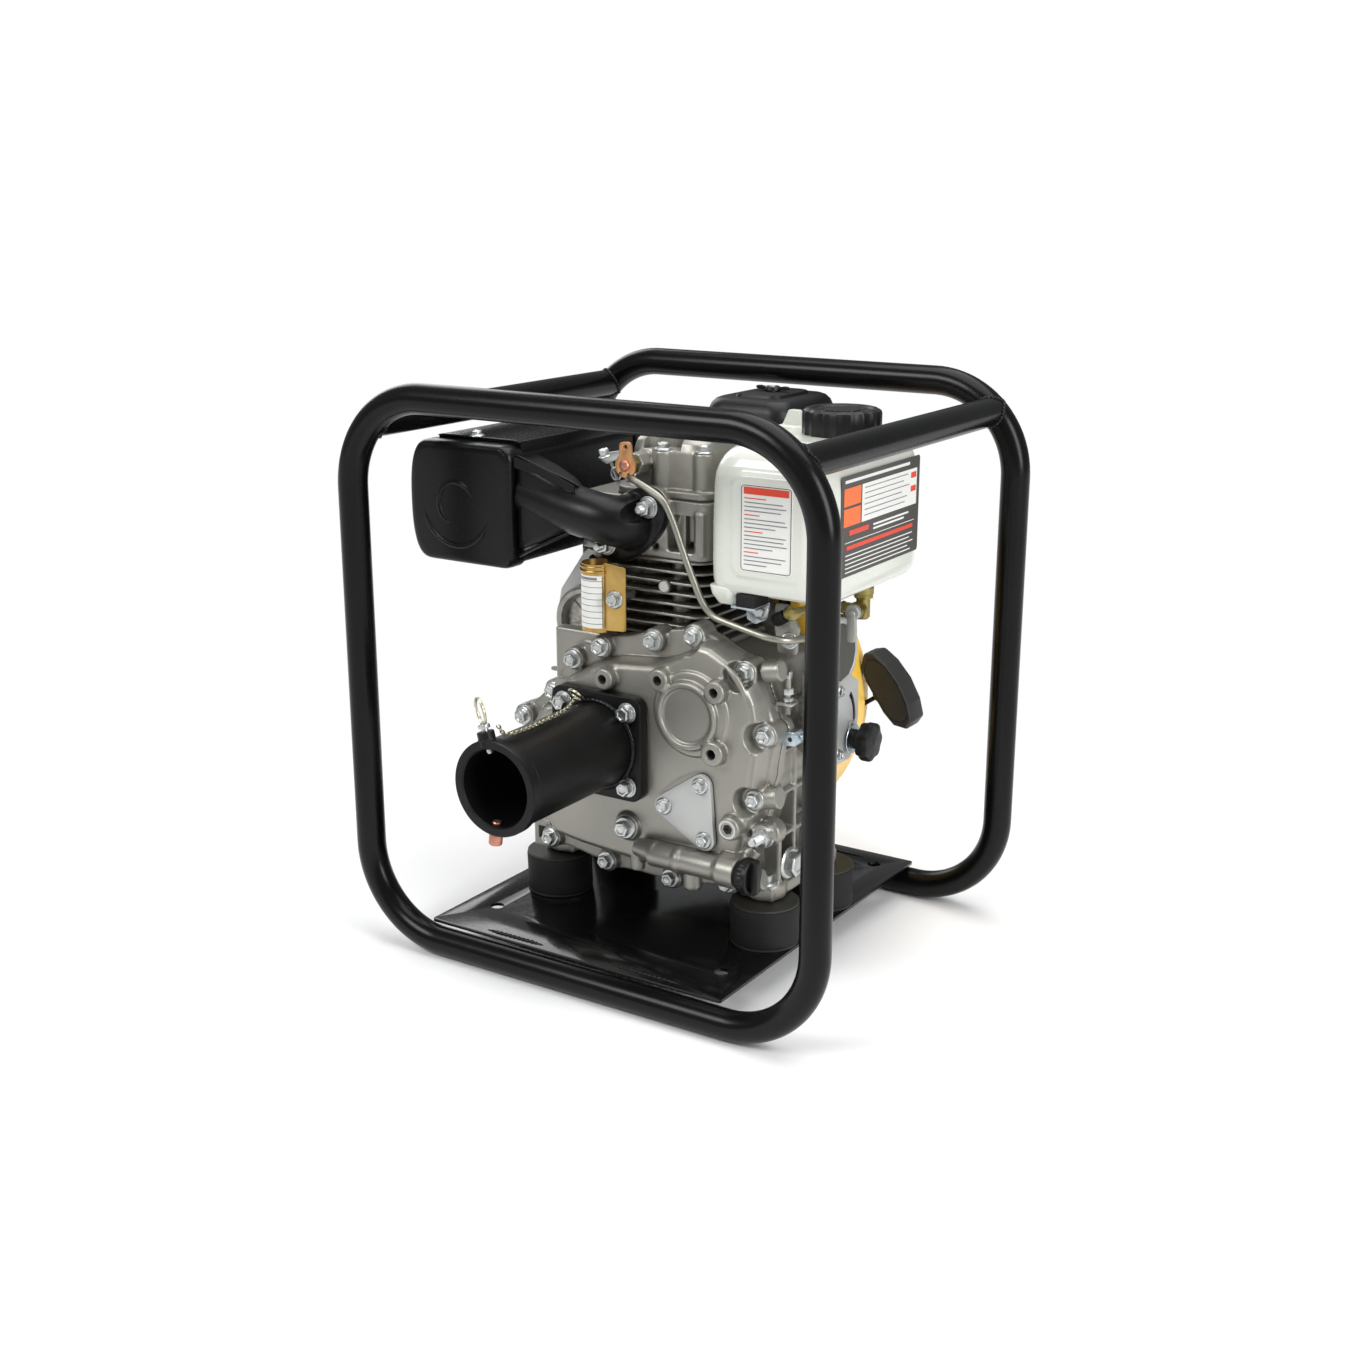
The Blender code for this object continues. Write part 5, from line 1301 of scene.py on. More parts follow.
rp = [prism("t", rounded(-44, 54, -56, 56, 10, 6), "z", 430.6, 437, None),
      stack("t", [(436, rounded(-38, 48, -50, 50, 20, 8)), (470, rounded(-36.5, 46.5, -48.5, 48.5, 20, 8)), (478, rounded(-34, 44, -46, 46, 19, 8)),
                  (482.6, rounded(-28, 38, -40, 40, 15, 8))], "z", None)]
for cx_, cy_ in ((2, -46), (42, -42), (-30, 40), (42, 42)):
    rp.append(turned("t", [(10.5, 431), (9.4, 440), (9.0, 470), (8.4, 471), (0, 471)], "z", (cx_, cy_), None, 32))
for x in (-20, 25):
    rp.append(box("t", x - 1.6, x + 1.6, -36, 36, 480, 484.6))
rp.append(turned("t", [(16, 478), (15, 487), (14, 488), (0, 488)], "z", (4, 0), None, 40))
rp.append(prism("t", hexagon(-16, 460, 18, 0), "y", -67, -44, None))
rocker = cast("rocker_cover_cast", rp, CAST, voxel=1.2, smooth=6)
cut(rocker, turned("c", [(7.2, 468), (7.2, 471.4), (20, 471.4), (20, 520)], "z", (2, -46), CAST, 32))
show(rocker, FRAME, "rocker_cover", slot="cast_alloy")
show(prism("rocker_gasket", rounded(-44.4, 54.4, -56.4, 56.4, 10, 6), "z", 429.8, 430.8, GASKET), FRAME, slot="rubber")
show(bolts("rocker_bolts", [((2, -46, 471.2), UP, 12), ((42, -42, 471.0), UP, 33), ((-30, 40, 471.0), UP, 25), ((42, 42, 471.0), UP, 48)],
           across=10.0, head=5.6, flange_r=8.2, flange_h=1.4), FRAME, slot="zinc")
show(bolts("head_side_bolts", [((54.0, -34, 398), RIGHT, 12), ((54.0, 34, 398), RIGHT, 31)], across=9, head=5, flange_r=7.4), FRAME, slot="zinc")
oil_cap = turned("oil_vent_cap", [(0, 488.2), (13.4, 488.2), (14.2, 489), (14.2, 495), (13.4, 496), (8, 496.4), (0, 496.4)], "z", (4, 0), PLASTIC, 72,
                 radius=lambda r, h, a: r * (1 - (0.05 if r > 13 else 0) * (0.5 + 0.5 * math.cos(12 * a))))
show(oil_cap, FRAME, slot="black_plastic")

# decompression lever with its pivot hex, clamp plate, screw and return ring
arm = [(-6, 20.0), (6.5, 21.5), (7.5, 8), (11, 2), (10.5, -5), (5, -10.5), (-3, -11), (-10, -5.5), (-10.5, 2.5), (-6, 9)]
lever = prism("decompression_lever", soften([(-16 + a, 460 + b) for a, b in arm], 4.5, 6), "y", -80.0, -77.6, COPPER)
cut(lever, turned("h", [(2.1, -90), (2.1, -70)], "y", (-15.4, 476.5), COPPER, 24), turned("h", [(1.2, -90), (1.2, -70)], "y", (-21.0, 453), COPPER, 18),
    turned("h", [(1.2, -90), (1.2, -70)], "y", (-12.4, 452.2), COPPER, 18))
bevel(lever, 0.35, 2)
rivet = turned("t", [(0, -60), (3.0, -60), (3.0, -79.9), (5.2, -80), (5.2, -81.2), (4.4, -82.4), (2.4, -83.2), (0, -83.4)], "y", (-16, 460), COPPER_PIN, 36)
show(merge("decompression_lever_set", [lever, rivet]), "release", "release_lever", slot="copper_zinc")
show(bevel_light(prism("decompression_hex", hexagon(-16, 460, 15.5, 12), "y", -76.6, -67.2, BRASS)), FRAME, slot="brass")
clamp = [bevel(prism("t", soften([(-46, 461), (-40, 458.5), (-22, 466.5), (-24, 472), (-44, 468)], 1.5), "y", -74.2, -71.4, ZINC), 0.4, 2),
         rod("t", (-36.5, -72.8, 462), (-27, -72.8, 441), 1.5, ZINC, 20)]
clamp.append(sweep("t", [(-29 + 5.2 * math.cos(a), -74.6 + 0.8 * math.sin(2 * a), 450.6 + 5.8 * math.sin(a)) for a in [2 * math.pi * k / 40 for k in range(40)]],
                   1.0, ZINC, 12, True))
show(merge("clamp_plate", clamp), FRAME, slot="zinc")
show(bolts("clamp_bolt", [((-41.5, -72.8, 464.4), Vector((-0.25, -0.15, 0.95)), 12)], across=8.6, head=7.0, flange_r=6.6, flange_h=1.2), FRAME, slot="zinc")

# high pressure pipe with union nuts
pk = [(-19, -60, 449.5), (-17, -72, 450.5), (-9, -81, 449.5), (7.7, -84, 444), (22, -84, 437.4), (29.5, -84, 431), (38, -84, 415), (50.5, -83, 382), (63, -81, 351.5),
      (68.5, -80, 342), (77, -79.5, 335.4), (95, -80, 331.8), (130, -79, 324.6), (144, -70, 321.8), (150, -48, 320), (151.2, -33, 317.6), (151, -27, 312), (151, -26, 305.4)]



def filleted(knots, r=9.0, n=7):
    out = [Vector(knots[0])]
    for i in range(1, len(knots) - 1):
        p, a, b = Vector(knots[i]), Vector(knots[i - 1]) - Vector(knots[i]), Vector(knots[i + 1]) - Vector(knots[i])
        d = min(r, a.length * 0.45, b.length * 0.45)
        p0, p1 = p + a.normalized() * d, p + b.normalized() * d
        for k in range(n + 1):
            t = k / n
            out.append((1 - t) ** 2 * p0 + 2 * t * (1 - t) * p + t * t * p1)
    out.append(Vector(knots[-1]))
    return out


pipe = [sweep("t", filleted(pk), 3.1, STEEL, 24),
        bevel_light(prism("t", hexagon(151, -26, 13, 14), "z", 298.4, 307.5, ZINC)),
        turned("t", [(0, 307.4), (5.2, 307.4), (4.6, 310.4), (0, 310.4)], "z", (151, -26), ZINC, 32)]
nut_ = bolts("t", [((-19, -61.5, 449.5), Vector((0.05, -1, 0.02)), 8)], across=12, head=8.5, cupped=False)
show(merge("injector_line", pipe + [nut_]), FRAME, "injector_pipe", slot="steel")

# gold bracket: half sleeve with a bead, flat ear, bolt and a plain lined label
def half_sleeve(cx_, cy_, r, t, z0, z1, a0, a1, n=30):
    o = []
    for k in range(n + 1):
        a = math.radians(a0 + (a1 - a0) * k / n)
        o.append((cx_ + r * math.cos(a), cy_ + r * math.sin(a)))
    for k in range(n + 1):
        a = math.radians(a1 + (a0 - a1) * k / n)
        o.append((cx_ + (r - t) * math.cos(a), cy_ + (r - t) * math.sin(a)))
    return o


SLV = (-45.0, -81.0)
sl = [prism("t", half_sleeve(SLV[0], SLV[1], 15.5, 1.8, 0, 0, 90, 330), "z", 309, 371, GOLD, 50)]
bead_pts = [(SLV[0] + 15.6 * math.cos(math.radians(a)), SLV[1] + 15.6 * math.sin(math.radians(a)), 364.5) for a in range(95, 328, 6)]
sl.append(sweep("t", bead_pts, 1.5, GOLD, 12))
bead2 = [(p[0], p[1], 368.6) for p in bead_pts]
sl.append(sweep("t", bead2, 1.1, GOLD, 12))
ear = prism("t", soften([(-34, 311), (-9.5, 312.5), (-9.5, 371), (-34, 373)], 3), "y", -90.2, -88.4, GOLD)
sl.append(bevel(ear, 0.4, 2))
sl.append(rod("t", (-22, -61.8, 341), (-22, -88.5, 341), 4.6, ZINC, 24))
show(merge("gold_bracket", sl), FRAME, "zinc_bracket", slot="gold_zinc")
show(bolts("gold_bracket_bolt", [((-21, -90.1, 341), FRONT, 16)], across=10.6, head=6.0, flange_r=8.6, flange_h=1.6), FRAME, slot="zinc")
lab = [prism("t", half_sleeve(SLV[0], SLV[1], 15.85, 0.5, 0, 0, 212, 318), "z", 313, 361, WHITE_LABEL, 50)]
for k in range(8):
    z = 317 + 5.6 * k
    lab.append(prism("t", half_sleeve(SLV[0], SLV[1], 15.95, 0.5, 0, 0, 214, 316), "z", z - 0.22, z + 0.22, DARK_LABEL, 50))
lab.append(prism("t", half_sleeve(SLV[0], SLV[1], 15.95, 0.5, 0, 0, 222, 300), "z", 357.2, 359.6, GREY_LABEL, 50))
for a in (213, 317):
    lab.append(prism("t", half_sleeve(SLV[0], SLV[1], 15.96, 0.5, 0, 0, a - 1, a + 1), "z", 313.4, 360.8, DARK_LABEL, 50))
show(merge("gold_bracket_label", lab), FRAME, slot="gold_zinc")

# ------------------------------------------------------------------ fuel tank with its raised front panel, labels, cap, feet and tap
secs = []
for z, inset, r in ((355.2, 13, 16), (356.8, 9.5, 18), (360, 5.0, 21), (364, 2.2, 23), (370, 0.6, 24), (384, 0.2, 24), (420, 0.0, 25), (452, 0.4, 26),
                    (462, 1.2, 26), (470, 3.2, 27), (477, 6.6, 27), (482, 11.0, 27), (485.5, 17, 26), (487, 25, 22)):
    secs.append((z, rounded(70.4 + inset, 189.6 - inset, -89.6 + inset, 99.6 - inset, r, 10)))
tank_body = stack("tank", secs, "z", TANK, 60)
notch_cut = stack("c", [(340, rounded(102, 220, -120, -62, 6, 6)), (359, rounded(103, 220, -120, -64, 6, 6)), (362.4, rounded(106, 220, -120, -70, 6, 6))], "z", TANK)
cut(tank_body, notch_cut)
panel = stack("t", [(-88.0, rounded(98, 172, 376, 466, 12, 8)), (-90.0, rounded(99.5, 170.5, 377.5, 464.5, 11, 8)), (-90.5, rounded(101, 169, 379, 463, 10, 8))],
              "y", TANK, 60)
neckp = [turned("t", [(41, 484), (38.5, 487.6), (31, 488.6), (28.4, 490), (27.4, 492), (27.2, 496.6), (26.2, 497), (21.6, 497), (21.6, 484)], "z", (147, 15), TANK, 72,
                ring=True)]
hump = stack("t", [(484, rounded(86, 176, -58, 78, 30, 10)), (488, rounded(90, 172, -54, 74, 28, 10)), (489.6, rounded(96, 166, -48, 68, 25, 10))], "z", TANK, 60)
tank_vis = cast("fuel_tank_shell", [tank_body, hump, panel], TANK, voxel=1.5, smooth=5)
cut(tank_vis, prism("c", circle(147, 15, 22.6, 64), "z", 470.2, 520, TANK))
lugp = [bevel(box("t", 72, 98, 32, 50, 483, 489.6, TANK), 2.0, 3), bevel(prism("t", soften([(72, 486), (98, 486), (91, 503), (81, 503), (76, 492)], 2.5), "y", 38, 44, TANK), 1.0, 3)]
well = turned("t", [(0, 470.6), (22.4, 470.6), (22.4, 472), (0, 472)], "z", (147, 15), DARK, 48)
# moulding seam around the middle of the tank
seam_pts = [(x, y, 420.0) for x, y in rounded(70.5, 189.5, -89.5, 99.5, 25, 10)]
seam_ = sweep("t", seam_pts, 0.35, TANK, 6, True)
feet = [bevel(stack("t", [(349.5, rounded(80, 99, -82, -64, 7, 6)), (358, rounded(75, 102, -87, -62, 9, 6)), (366, rounded(73, 103, -88, -60, 9, 6))], "z", TANK, 60), 1.4, 3)]
show(merge("fuel_tank_moulding", [tank_vis] + neckp + lugp + [well, seam_] + feet), FRAME, "fuel_tank", slot="tank_paint")


def plate_label(name, u0, u1, v0, v1, at, axis, blocks, base, step=0.16, backing=True):
    """A thin textless label: blocks are (u0, u1, v0, v1, look) in label fractions."""
    parts_ = []
    sign = -1 if at < 0 else 1

    def piece(a0, a1, b0, b1, lift, look, r=0.6):
        lo, hi = sorted((at, at + sign * lift))
        return prism("t", rounded(a0, a1, b0, b1, min(r, (a1 - a0) * 0.4, (b1 - b0) * 0.4), 4), axis, lo, hi, look)
    if backing:
        parts_.append(piece(u0, u1, v0, v1, 0.35, base, 3.0))
    for k, (a0, a1, b0, b1, look) in enumerate(blocks):
        parts_.append(piece(u0 + (u1 - u0) * a0, u0 + (u1 - u0) * a1, v0 + (v1 - v0) * b0, v0 + (v1 - v0) * b1, 0.35 + step * (1 + (k % 3 == 0) * 0.02) +
                            (0.12 if look in (WHITE_LABEL,) else 0.2), look, 0.5))
    return merge(name, parts_)


def border(u0, u1, v0, v1, w, look, at, axis, lift):
    o = rounded(u0, u1, v0, v1, 3, 6)
    i_ = rounded(u0 + w, u1 - w, v0 + w, v1 - w, 2.4, 6)
    bm = bmesh.new()
    n = len(o)
    fr = []
    for pts_ in (o, i_):
        fr.append([bm.verts.new((p[0], at + (-1 if at < 0 else 1) * lift, p[1]) if axis == "y" else (at + lift, p[0], p[1])) for p in pts_])
    for k in range(n):
        bm.faces.new((fr[0][k], fr[0][(k + 1) % n], fr[1][(k + 1) % n], fr[1][k]))
    ob = link("t", bm, look, False)
    so = ob.modifiers.new("t", "SOLIDIFY")
    so.thickness = 0.2 * MM
    so.offset = 0
    applied(ob)
    return ob


rows = [(0.07, 0.93, 0.885, 0.965, RED_LABEL), (0.20, 0.28, 0.905, 0.945, WHITE_LABEL), (0.32, 0.80, 0.915, 0.938, WHITE_LABEL)]
v = 0.845
for k in range(17):
    w_ = (0.42, 0.74, 0.80, 0.70, 0.30, 0.78, 0.82, 0.60, 0.36, 0.80, 0.76, 0.82, 0.55, 0.28, 0.80, 0.72, 0.44)[k]
    rows.append((0.08, 0.08 + w_, v - 0.011, v, RED_LABEL if k in (0, 4, 8, 13) else GREY_LABEL))
    v -= 0.047
front_label = merge("front_label", [plate_label("t", 108.5, 159, 383, 458, -90.45, "y", rows, WHITE_LABEL, 0.05),
                                    border(109.6, 157.9, 384.1, 456.9, 0.55, DARK_LABEL, -90.45, "y", 0.55)])
show(front_label, FRAME, slot="tank_paint")
rt = [(0.04, 0.86, 0.925, 0.955, WHITE_LABEL), (0.03, 0.235, 0.70, 0.875, ORANGE_LABEL), (0.03, 0.235, 0.50, 0.675, ORANGE_LABEL),
      (0.25, 0.96, 0.50, 0.875, WHITE_LABEL), (0.06, 0.20, 0.80, 0.825, WHITE_LABEL), (0.06, 0.17, 0.75, 0.77, WHITE_LABEL),
      (0.06, 0.20, 0.60, 0.625, WHITE_LABEL), (0.06, 0.17, 0.55, 0.57, WHITE_LABEL), (0.88, 0.95, 0.78, 0.84, RED_LABEL), (0.88, 0.95, 0.64, 0.70, RED_LABEL),
      (0.10, 0.34, 0.405, 0.455, RED_LABEL), (0.40, 0.86, 0.425, 0.445, WHITE_LABEL), (0.40, 0.80, 0.385, 0.405, WHITE_LABEL),
      (0.05, 0.94, 0.335, 0.342, WHITE_LABEL), (0.07, 0.92, 0.265, 0.305, RED_LABEL)]
for k in range(5):
    rt.append((0.06, 0.06 + (0.86, 0.82, 0.87, 0.80, 0.84)[k], 0.205 - 0.042 * k, 0.216 - 0.042 * k, WHITE_LABEL))
for k in range(6):
    rt.append((0.28, 0.28 + (0.56, 0.50, 0.58, 0.48, 0.55, 0.52)[k], 0.83 - 0.055 * k, 0.838 - 0.055 * k, GREY_LABEL))
order = [b for b in rt if b[4] is not GREY_LABEL] + []
side_label = plate_label("side_label", -64, 84, 380, 466, 189.55, "x", order, DARK_LABEL, 0.05)
greys = plate_label("t2", -64, 84, 380, 466, 189.55, "x", [b for b in rt if b[4] is GREY_LABEL], DARK_LABEL, 0.30, False)
show(merge("side_label", [side_label, greys]), FRAME, slot="tank_paint")

seal_vis = turned("cap_seal_ring", [(22.4, 497.0), (22.2, 497.4), (22.4, 498.6), (26.2, 498.6), (26.8, 498.2), (26.8, 497.2), (26.2, 497.0)], "z", (147, 15), RUBBER, 72,
                  ring=True)
show(seal_vis, "filler_seal", "cap_seal", slot="rubber")


def ribs(n, depth, floor_):
    return lambda r, h, a: r - (depth * (0.5 + 0.5 * math.cos(n * a)) ** 0.6 if r > floor_ else 0)


cap_vis = turned("tank_cap_moulding", [(29.6, 489), (34.2, 489.2), (34.6, 490), (34.6, 507.5), (33.8, 509.8), (32.0, 511.2), (29.5, 511.8), (27, 511.4), (25.5, 510.0),
                                       (24.5, 509.6), (0, 509.6)], "z", (147, 15), PLASTIC, 216, radius=ribs(18, 1.3, 31.5))
cap_in = turned("t", [(29.6, 489), (29.4, 499), (0, 499.2)], "z", (147, 15), PLASTIC, 72)
cap_top = [turned("t", [(0, 509.4), (15, 509.4), (15, 510.4), (14, 510.8), (0, 510.8)], "z", (147, 15), PLASTIC, 64)]
for a in range(0, 360, 45):
    t_ = math.radians(a + 10)
    cap_top.append(rod("t", (147 + 17 * math.cos(t_), 15 + 17 * math.sin(t_), 509.9), (147 + 23 * math.cos(t_), 15 + 23 * math.sin(t_), 509.9), 0.7, PLASTIC, 10))
show(merge("tank_cap_set", [cap_vis, cap_in] + cap_top), "filler_cap", "tank_cap", slot="black_plastic")

# tank bracket, rubber pad, front bracket
brk = [bevel(box("t", 62, 150, 66, 92, 341, 344, PAINT), 0.8, 2), bevel(box("t", 58, 61.5, 66, 92, 308, 344, PAINT), 0.8, 2),
       bevel(prism("t", [(58, 344), (58, 308), (64, 308), (64, 330), (76, 341)], "y", 77, 80, PAINT), 0.5, 2)]
show(merge("tank_bracket_sheet", brk), FRAME, "tank_bracket", slot="frame_paint")
show(merge("tank_pads", [bevel(box("t", 101, 149, 67, 91, 344.1, 354.8, RUBBER), 1.6, 3)]), FRAME, slot="rubber")
show(bolts("tank_bracket_bolts", [((70, 79, 340.8), (0, 0, -1), 4), ((126, 79, 340.8), (0, 0, -1), 21), ((57.8, 79, 318), (-1, 0, 0), 9)],
           across=9, head=4.8, flange_r=7.6), FRAME, slot="zinc")
front_pad = [bevel(box("t", 103, 121, -88, -62, 350.4, 362, RUBBER), 1.2, 3)]
show(merge("tank_front_pad", front_pad), FRAME, slot="rubber")
fb = [bevel(prism("t", [(96, 347.5), (120, 347.5), (120, 350.2), (96, 350.2)], "y", -84, -58, BLUE_ZINC), 0.5, 2),
      bevel(prism("t", soften([(99, 350), (122, 350), (119, 336), (108, 330), (99, 334)], 3), "y", -62.4, -60, BLUE_ZINC), 0.4, 2)]
show(merge("tank_front_bracket", fb), FRAME, slot="zinc")
show(bolts("tank_front_bolt", [((113.5, -62.4, 343), FRONT, 14)], across=9.4, head=5.6, flange_r=8.0, flange_h=1.4, cupped=False), FRAME, slot="zinc")

# fuel tap, lever, hose
tapb = [turned("t", [(0, 355.4), (9.2, 355.4), (9.2, 349.6), (7.6, 349), (7.6, 345.5), (6.2, 345), (6.2, 328.5), (4.4, 326.4), (0, 326.4)], "z", (170, 20), BRASS, 48),
        bevel_light(prism("t", hexagon(170, 20, 15.6, 9), "z", 345.6, 349.8, BRASS)), rod("t", (170, 20, 335), (150.5, 20, 335), 4.2, BRASS, 32),
        rod("t", (151.5, 20, 335), (149.6, 20, 335), 5.0, BRASS, 32), rod("t", (146.4, 20, 335), (144.6, 20, 335), 4.8, BRASS, 32),
        rod("t", (170, 14, 336), (170, 3.8, 336), 7.3, BRASS, 40), rod("t", (170, 9.6, 336), (170, 8.4, 336), 8.0, BRASS, 40)]
show(merge("fuel_tap", tapb), FRAME, "petcock_body", slot="brass")
lvp = [turned("t", [(0, -1.9), (6.2, -1.8), (7.0, -1.0), (7.0, 3.4), (0, 3.4)], "y", (170, 336), GREY, 48),
       bevel(prism("t", soften([(166.4, 338), (173.6, 338), (174.6, 318), (174.2, 309.2), (165.8, 309.2), (165.4, 318)], 3.4), "y", -3.2, 1.2, GREY), 0.9, 3),
       turned("t", [(0, -3.6), (2.2, -3.5), (2.6, -2.8), (2.6, -1.5), (0, -1.5)], "y", (170, 336), ZINC, 24)]
show(merge("fuel_tap_lever", lvp), "fuel_lever", "petcock_lever", slot="grey_paint")
hp_ = spline([(146.2, 20, 335), (138, 19.8, 334.8), (131, 17, 328), (131, 13, 312), (139, 9, 292), (147, 5.5, 278), (150, 1, 272.8), (150, -3.4, 272)], 10)
clips = []
for p_, d_ in ((Vector((144.0, 20, 335)), Vector((1, 0, 0))), (Vector((150, -1.4, 272.1)), Vector((0, 1, 0.1)).normalized())):
    s_ = d_.orthogonal().normalized()
    t_ = d_.cross(s_)
    for off in (-1.1, 1.1):
        clips.append(sweep("t", [p_ + d_ * off + 4.75 * (math.cos(a) * s_ + math.sin(a) * t_) for a in [2 * math.pi * q / 30 for q in range(30)]], 0.55, ZINC, 8, True))
show(merge("fuel_hose_run", [sweep("t", hp_, 4.2, HOSE, 28)] + clips), FRAME, "fuel_hose", slot="hose")

# ------------------------------------------------------------------ blower housing, flywheel, recoil starter, speed control
GREYC = GREY_LIGHT
shell = turned("shell", [(35, 79.6), (100, 79.4), (133, 81), (143.5, 85), (146.8, 91), (146.8, 129.6), (143.4, 129.6), (143.4, 92), (141, 88), (131, 84.4),
                         (100, 83), (35, 83.2)], "y", (CX, CZ), GREYC, 128, ring=True)
ductp = stack("t", [(300, rounded(-108, 52, 80.5, 129.4, 12, 6)), (400, rounded(-108, 52, 80.5, 129.4, 12, 6)), (420, rounded(-106, 50, 81, 128, 11, 6)),
                    (427.6, rounded(-101, 45, 84, 124, 9, 6))], "z", GREYC)
ductp = cut(ductp, stack("c", [(280, rounded(-104, 48, 84, 126, 9, 6)), (424, rounded(-104, 48, 84, 126, 9, 6))], "z", GREYC))
cut(ductp, turned("c", [(0, 70), (143.6, 70), (143.6, 140), (0, 140)], "y", (CX, CZ), GREYC, 96))
neck_ = turned("t", [(34.5, 63), (43.8, 63), (43.8, 70), (46, 79), (52, 80.5), (34.5, 82.5)], "y", (CX, CZ), GREYC, 72, ring=True)
lip = turned("t", [(143.2, 126.5), (146.8, 126.5), (146.8, 129.9), (143.2, 129.9)], "y", (CX, CZ), GREYC, 128, ring=True)
hb = [shell, ductp, neck_, lip]
for a in (20, 75, 130, 200, 260, 320):
    t_ = math.radians(a)
    hb.append(turned("t", [(7, 84), (7, 129.8), (0, 129.8)], "y", (CX + 139 * math.cos(t_), CZ + 139 * math.sin(t_)), GREYC, 24))
# round inspection port on the engine side, seen past the cylinder
PORT = (-168.0, 266.0)
hb.append(bevel(prism("t", soften([(-112, 345), (-168, 345), (-179, 335), (-208, 294), (-214, 264), (-206, 232), (-178, 212), (-120, 200)], 9, 6), "y", 79.8, 84.6, GREYC), 1.0, 3))
hb.append(turned("t", [(27.5, 79.9), (27.5, 70), (30.5, 66.4), (34.5, 65.8), (37.4, 67.6), (38.6, 72), (39.0, 80.2)], "y", PORT, CAST, 96))
hb.append(turned("t", [(0, 75.0), (27.7, 75.0), (27.7, 77.4), (0, 77.4)], "y", PORT, CAST, 72))
hb.append(turned("t", [(0, 73.2), (9, 73.2), (11, 75.4), (0, 75.4)], "y", PORT, CAST, 40))
for k in range(6):
    t_ = math.radians(60 * k + 15)
    hb.append(rod("t", (PORT[0] + 10 * math.cos(t_), 75.2, PORT[1] + 10 * math.sin(t_)), (PORT[0] + 27 * math.cos(t_), 75.2, PORT[1] + 27 * math.sin(t_)), 1.1, CAST, 10))
# stiffening ribs on the duct's front face
for x in (-96, -60, 0, 40):
    hb.append(bevel(box("t", x - 1.5, x + 1.5, 79.7, 82, 366, 420, GREYC), 0.6, 2))
show(merge("blower_housing_sheet", hb), FRAME, "blower_housing", slot="grey_paint")
# the yellow cover laps forward over the housing on the right-hand side
lap = []
for r_, back_ in ((147.15, False), (146.4, True)):
    row = [(CX + r_ * math.cos(math.radians(a)), CZ + r_ * math.sin(math.radians(a))) for a in range(-62, 63, 2)]
    lap += list(reversed(row)) if back_ else row
lap_band = prism("recoil_cover_lap", lap, "y", 84.0, 130.3, YELLOW, 40)
face = []
for r_, back_ in ((147.1, False), (128.0, True)):
    row = [(CX + r_ * math.cos(math.radians(a)), CZ + r_ * math.sin(math.radians(a))) for a in range(-62, 63, 2)]
    face += list(reversed(row)) if back_ else row
lap_face = prism("t", face, "y", 78.6, 84.2, YELLOW, 40)
show(bevel(merge("recoil_cover_lap", [lap_band, lap_face]), 0.8, 2), FRAME, slot="yellow")
show(bolts("blower_bolts", [((CX + 62 * math.cos(math.radians(a)), 79.4, CZ + 62 * math.sin(math.radians(a))), FRONT, a) for a in (200, 250, 290, 340)],
           across=9, head=4.8, flange_r=7.4), FRAME, slot="zinc")

# flywheel with fan blades
fw = [turned("t", [(20, 91), (105, 91), (110, 92.5), (110, 97), (103, 99.5), (70, 100), (50, 106), (30, 107), (20, 107)], "y", (CX, CZ), CAST_DARK, 96, ring=True),
      turned("t", [(0, 107), (20.5, 107), (20.5, 100), (0, 100)], "y", (CX, CZ), STEEL, 48),
      turned("t", [(109.2, 90.4), (113, 90.4), (113, 96.8), (109.2, 96.8)], "y", (CX, CZ), STEEL, 144, ring=True,
             radius=lambda r, h, a: r - (1.4 * (0.5 + 0.5 * math.cos(72 * a)) if r > 112 else 0))]
for k in range(18):
    t_ = 2 * math.pi * k / 18
    bl = []
    for q in range(7):
        rr_ = 62 + 46 * q / 6
        aa = t_ + 0.30 * (q / 6) ** 1.4
        bl.append((CX + rr_ * math.cos(aa), CZ + rr_ * math.sin(aa)))
    back = []
    for q in range(6, -1, -1):
        rr_ = 62 + 46 * q / 6
        aa = t_ + 0.30 * (q / 6) ** 1.4 + 2.2 / rr_
        back.append((CX + rr_ * math.cos(aa), CZ + rr_ * math.sin(aa)))
    fw.append(prism("t", bl + back, "y", 98.5, 125.6, CAST_DARK))
cup = turned("t", [(29, 106), (29, 125.8), (32, 125.8), (32, 106)], "y", (CX, CZ), STEEL, 64, ring=True)
show(merge("flywheel_fan", fw + [cup]), "crank", "flywheel", slot="cast_alloy")
show(bolts("flywheel_nut", [((CX, 106.8, CZ), (0, 1, 0), 15)], across=24, head=11, washer=[(18, 2.2)]), "crank", slot="zinc")

# recoil cover: yellow pressing with vent slots, centre badge (plain) and screws
prof = [(147, 130.3), (147.0, 134.6), (145.8, 137.0), (141.6, 139.6), (141.0, 141.4), (141.0, 151.4), (139.6, 155.6), (134.4, 159.8), (116, 163.6), (96, 168), (84, 172.6),
        (76, 175.2), (68, 176), (46, 176), (44.5, 175.2), (44, 173.6), (0, 173.6)]
cov = turned("t", prof, "y", (CX, CZ), YELLOW, 160)
cov.data.update()
inner_c = turned("c", [(0, 100), (138.4, 100), (138.4, 151), (136.4, 153.8), (132, 157.2), (95, 165), (72, 172.6), (46, 173), (0, 171)], "y", (CX, CZ), YELLOW, 128)
lid_full = turned("t", [(0, 130.3)] + prof, "y", (CX, CZ), YELLOW, 160)
bpy.data.objects.remove(cov)
cut(lid_full, inner_c)
ventc = []
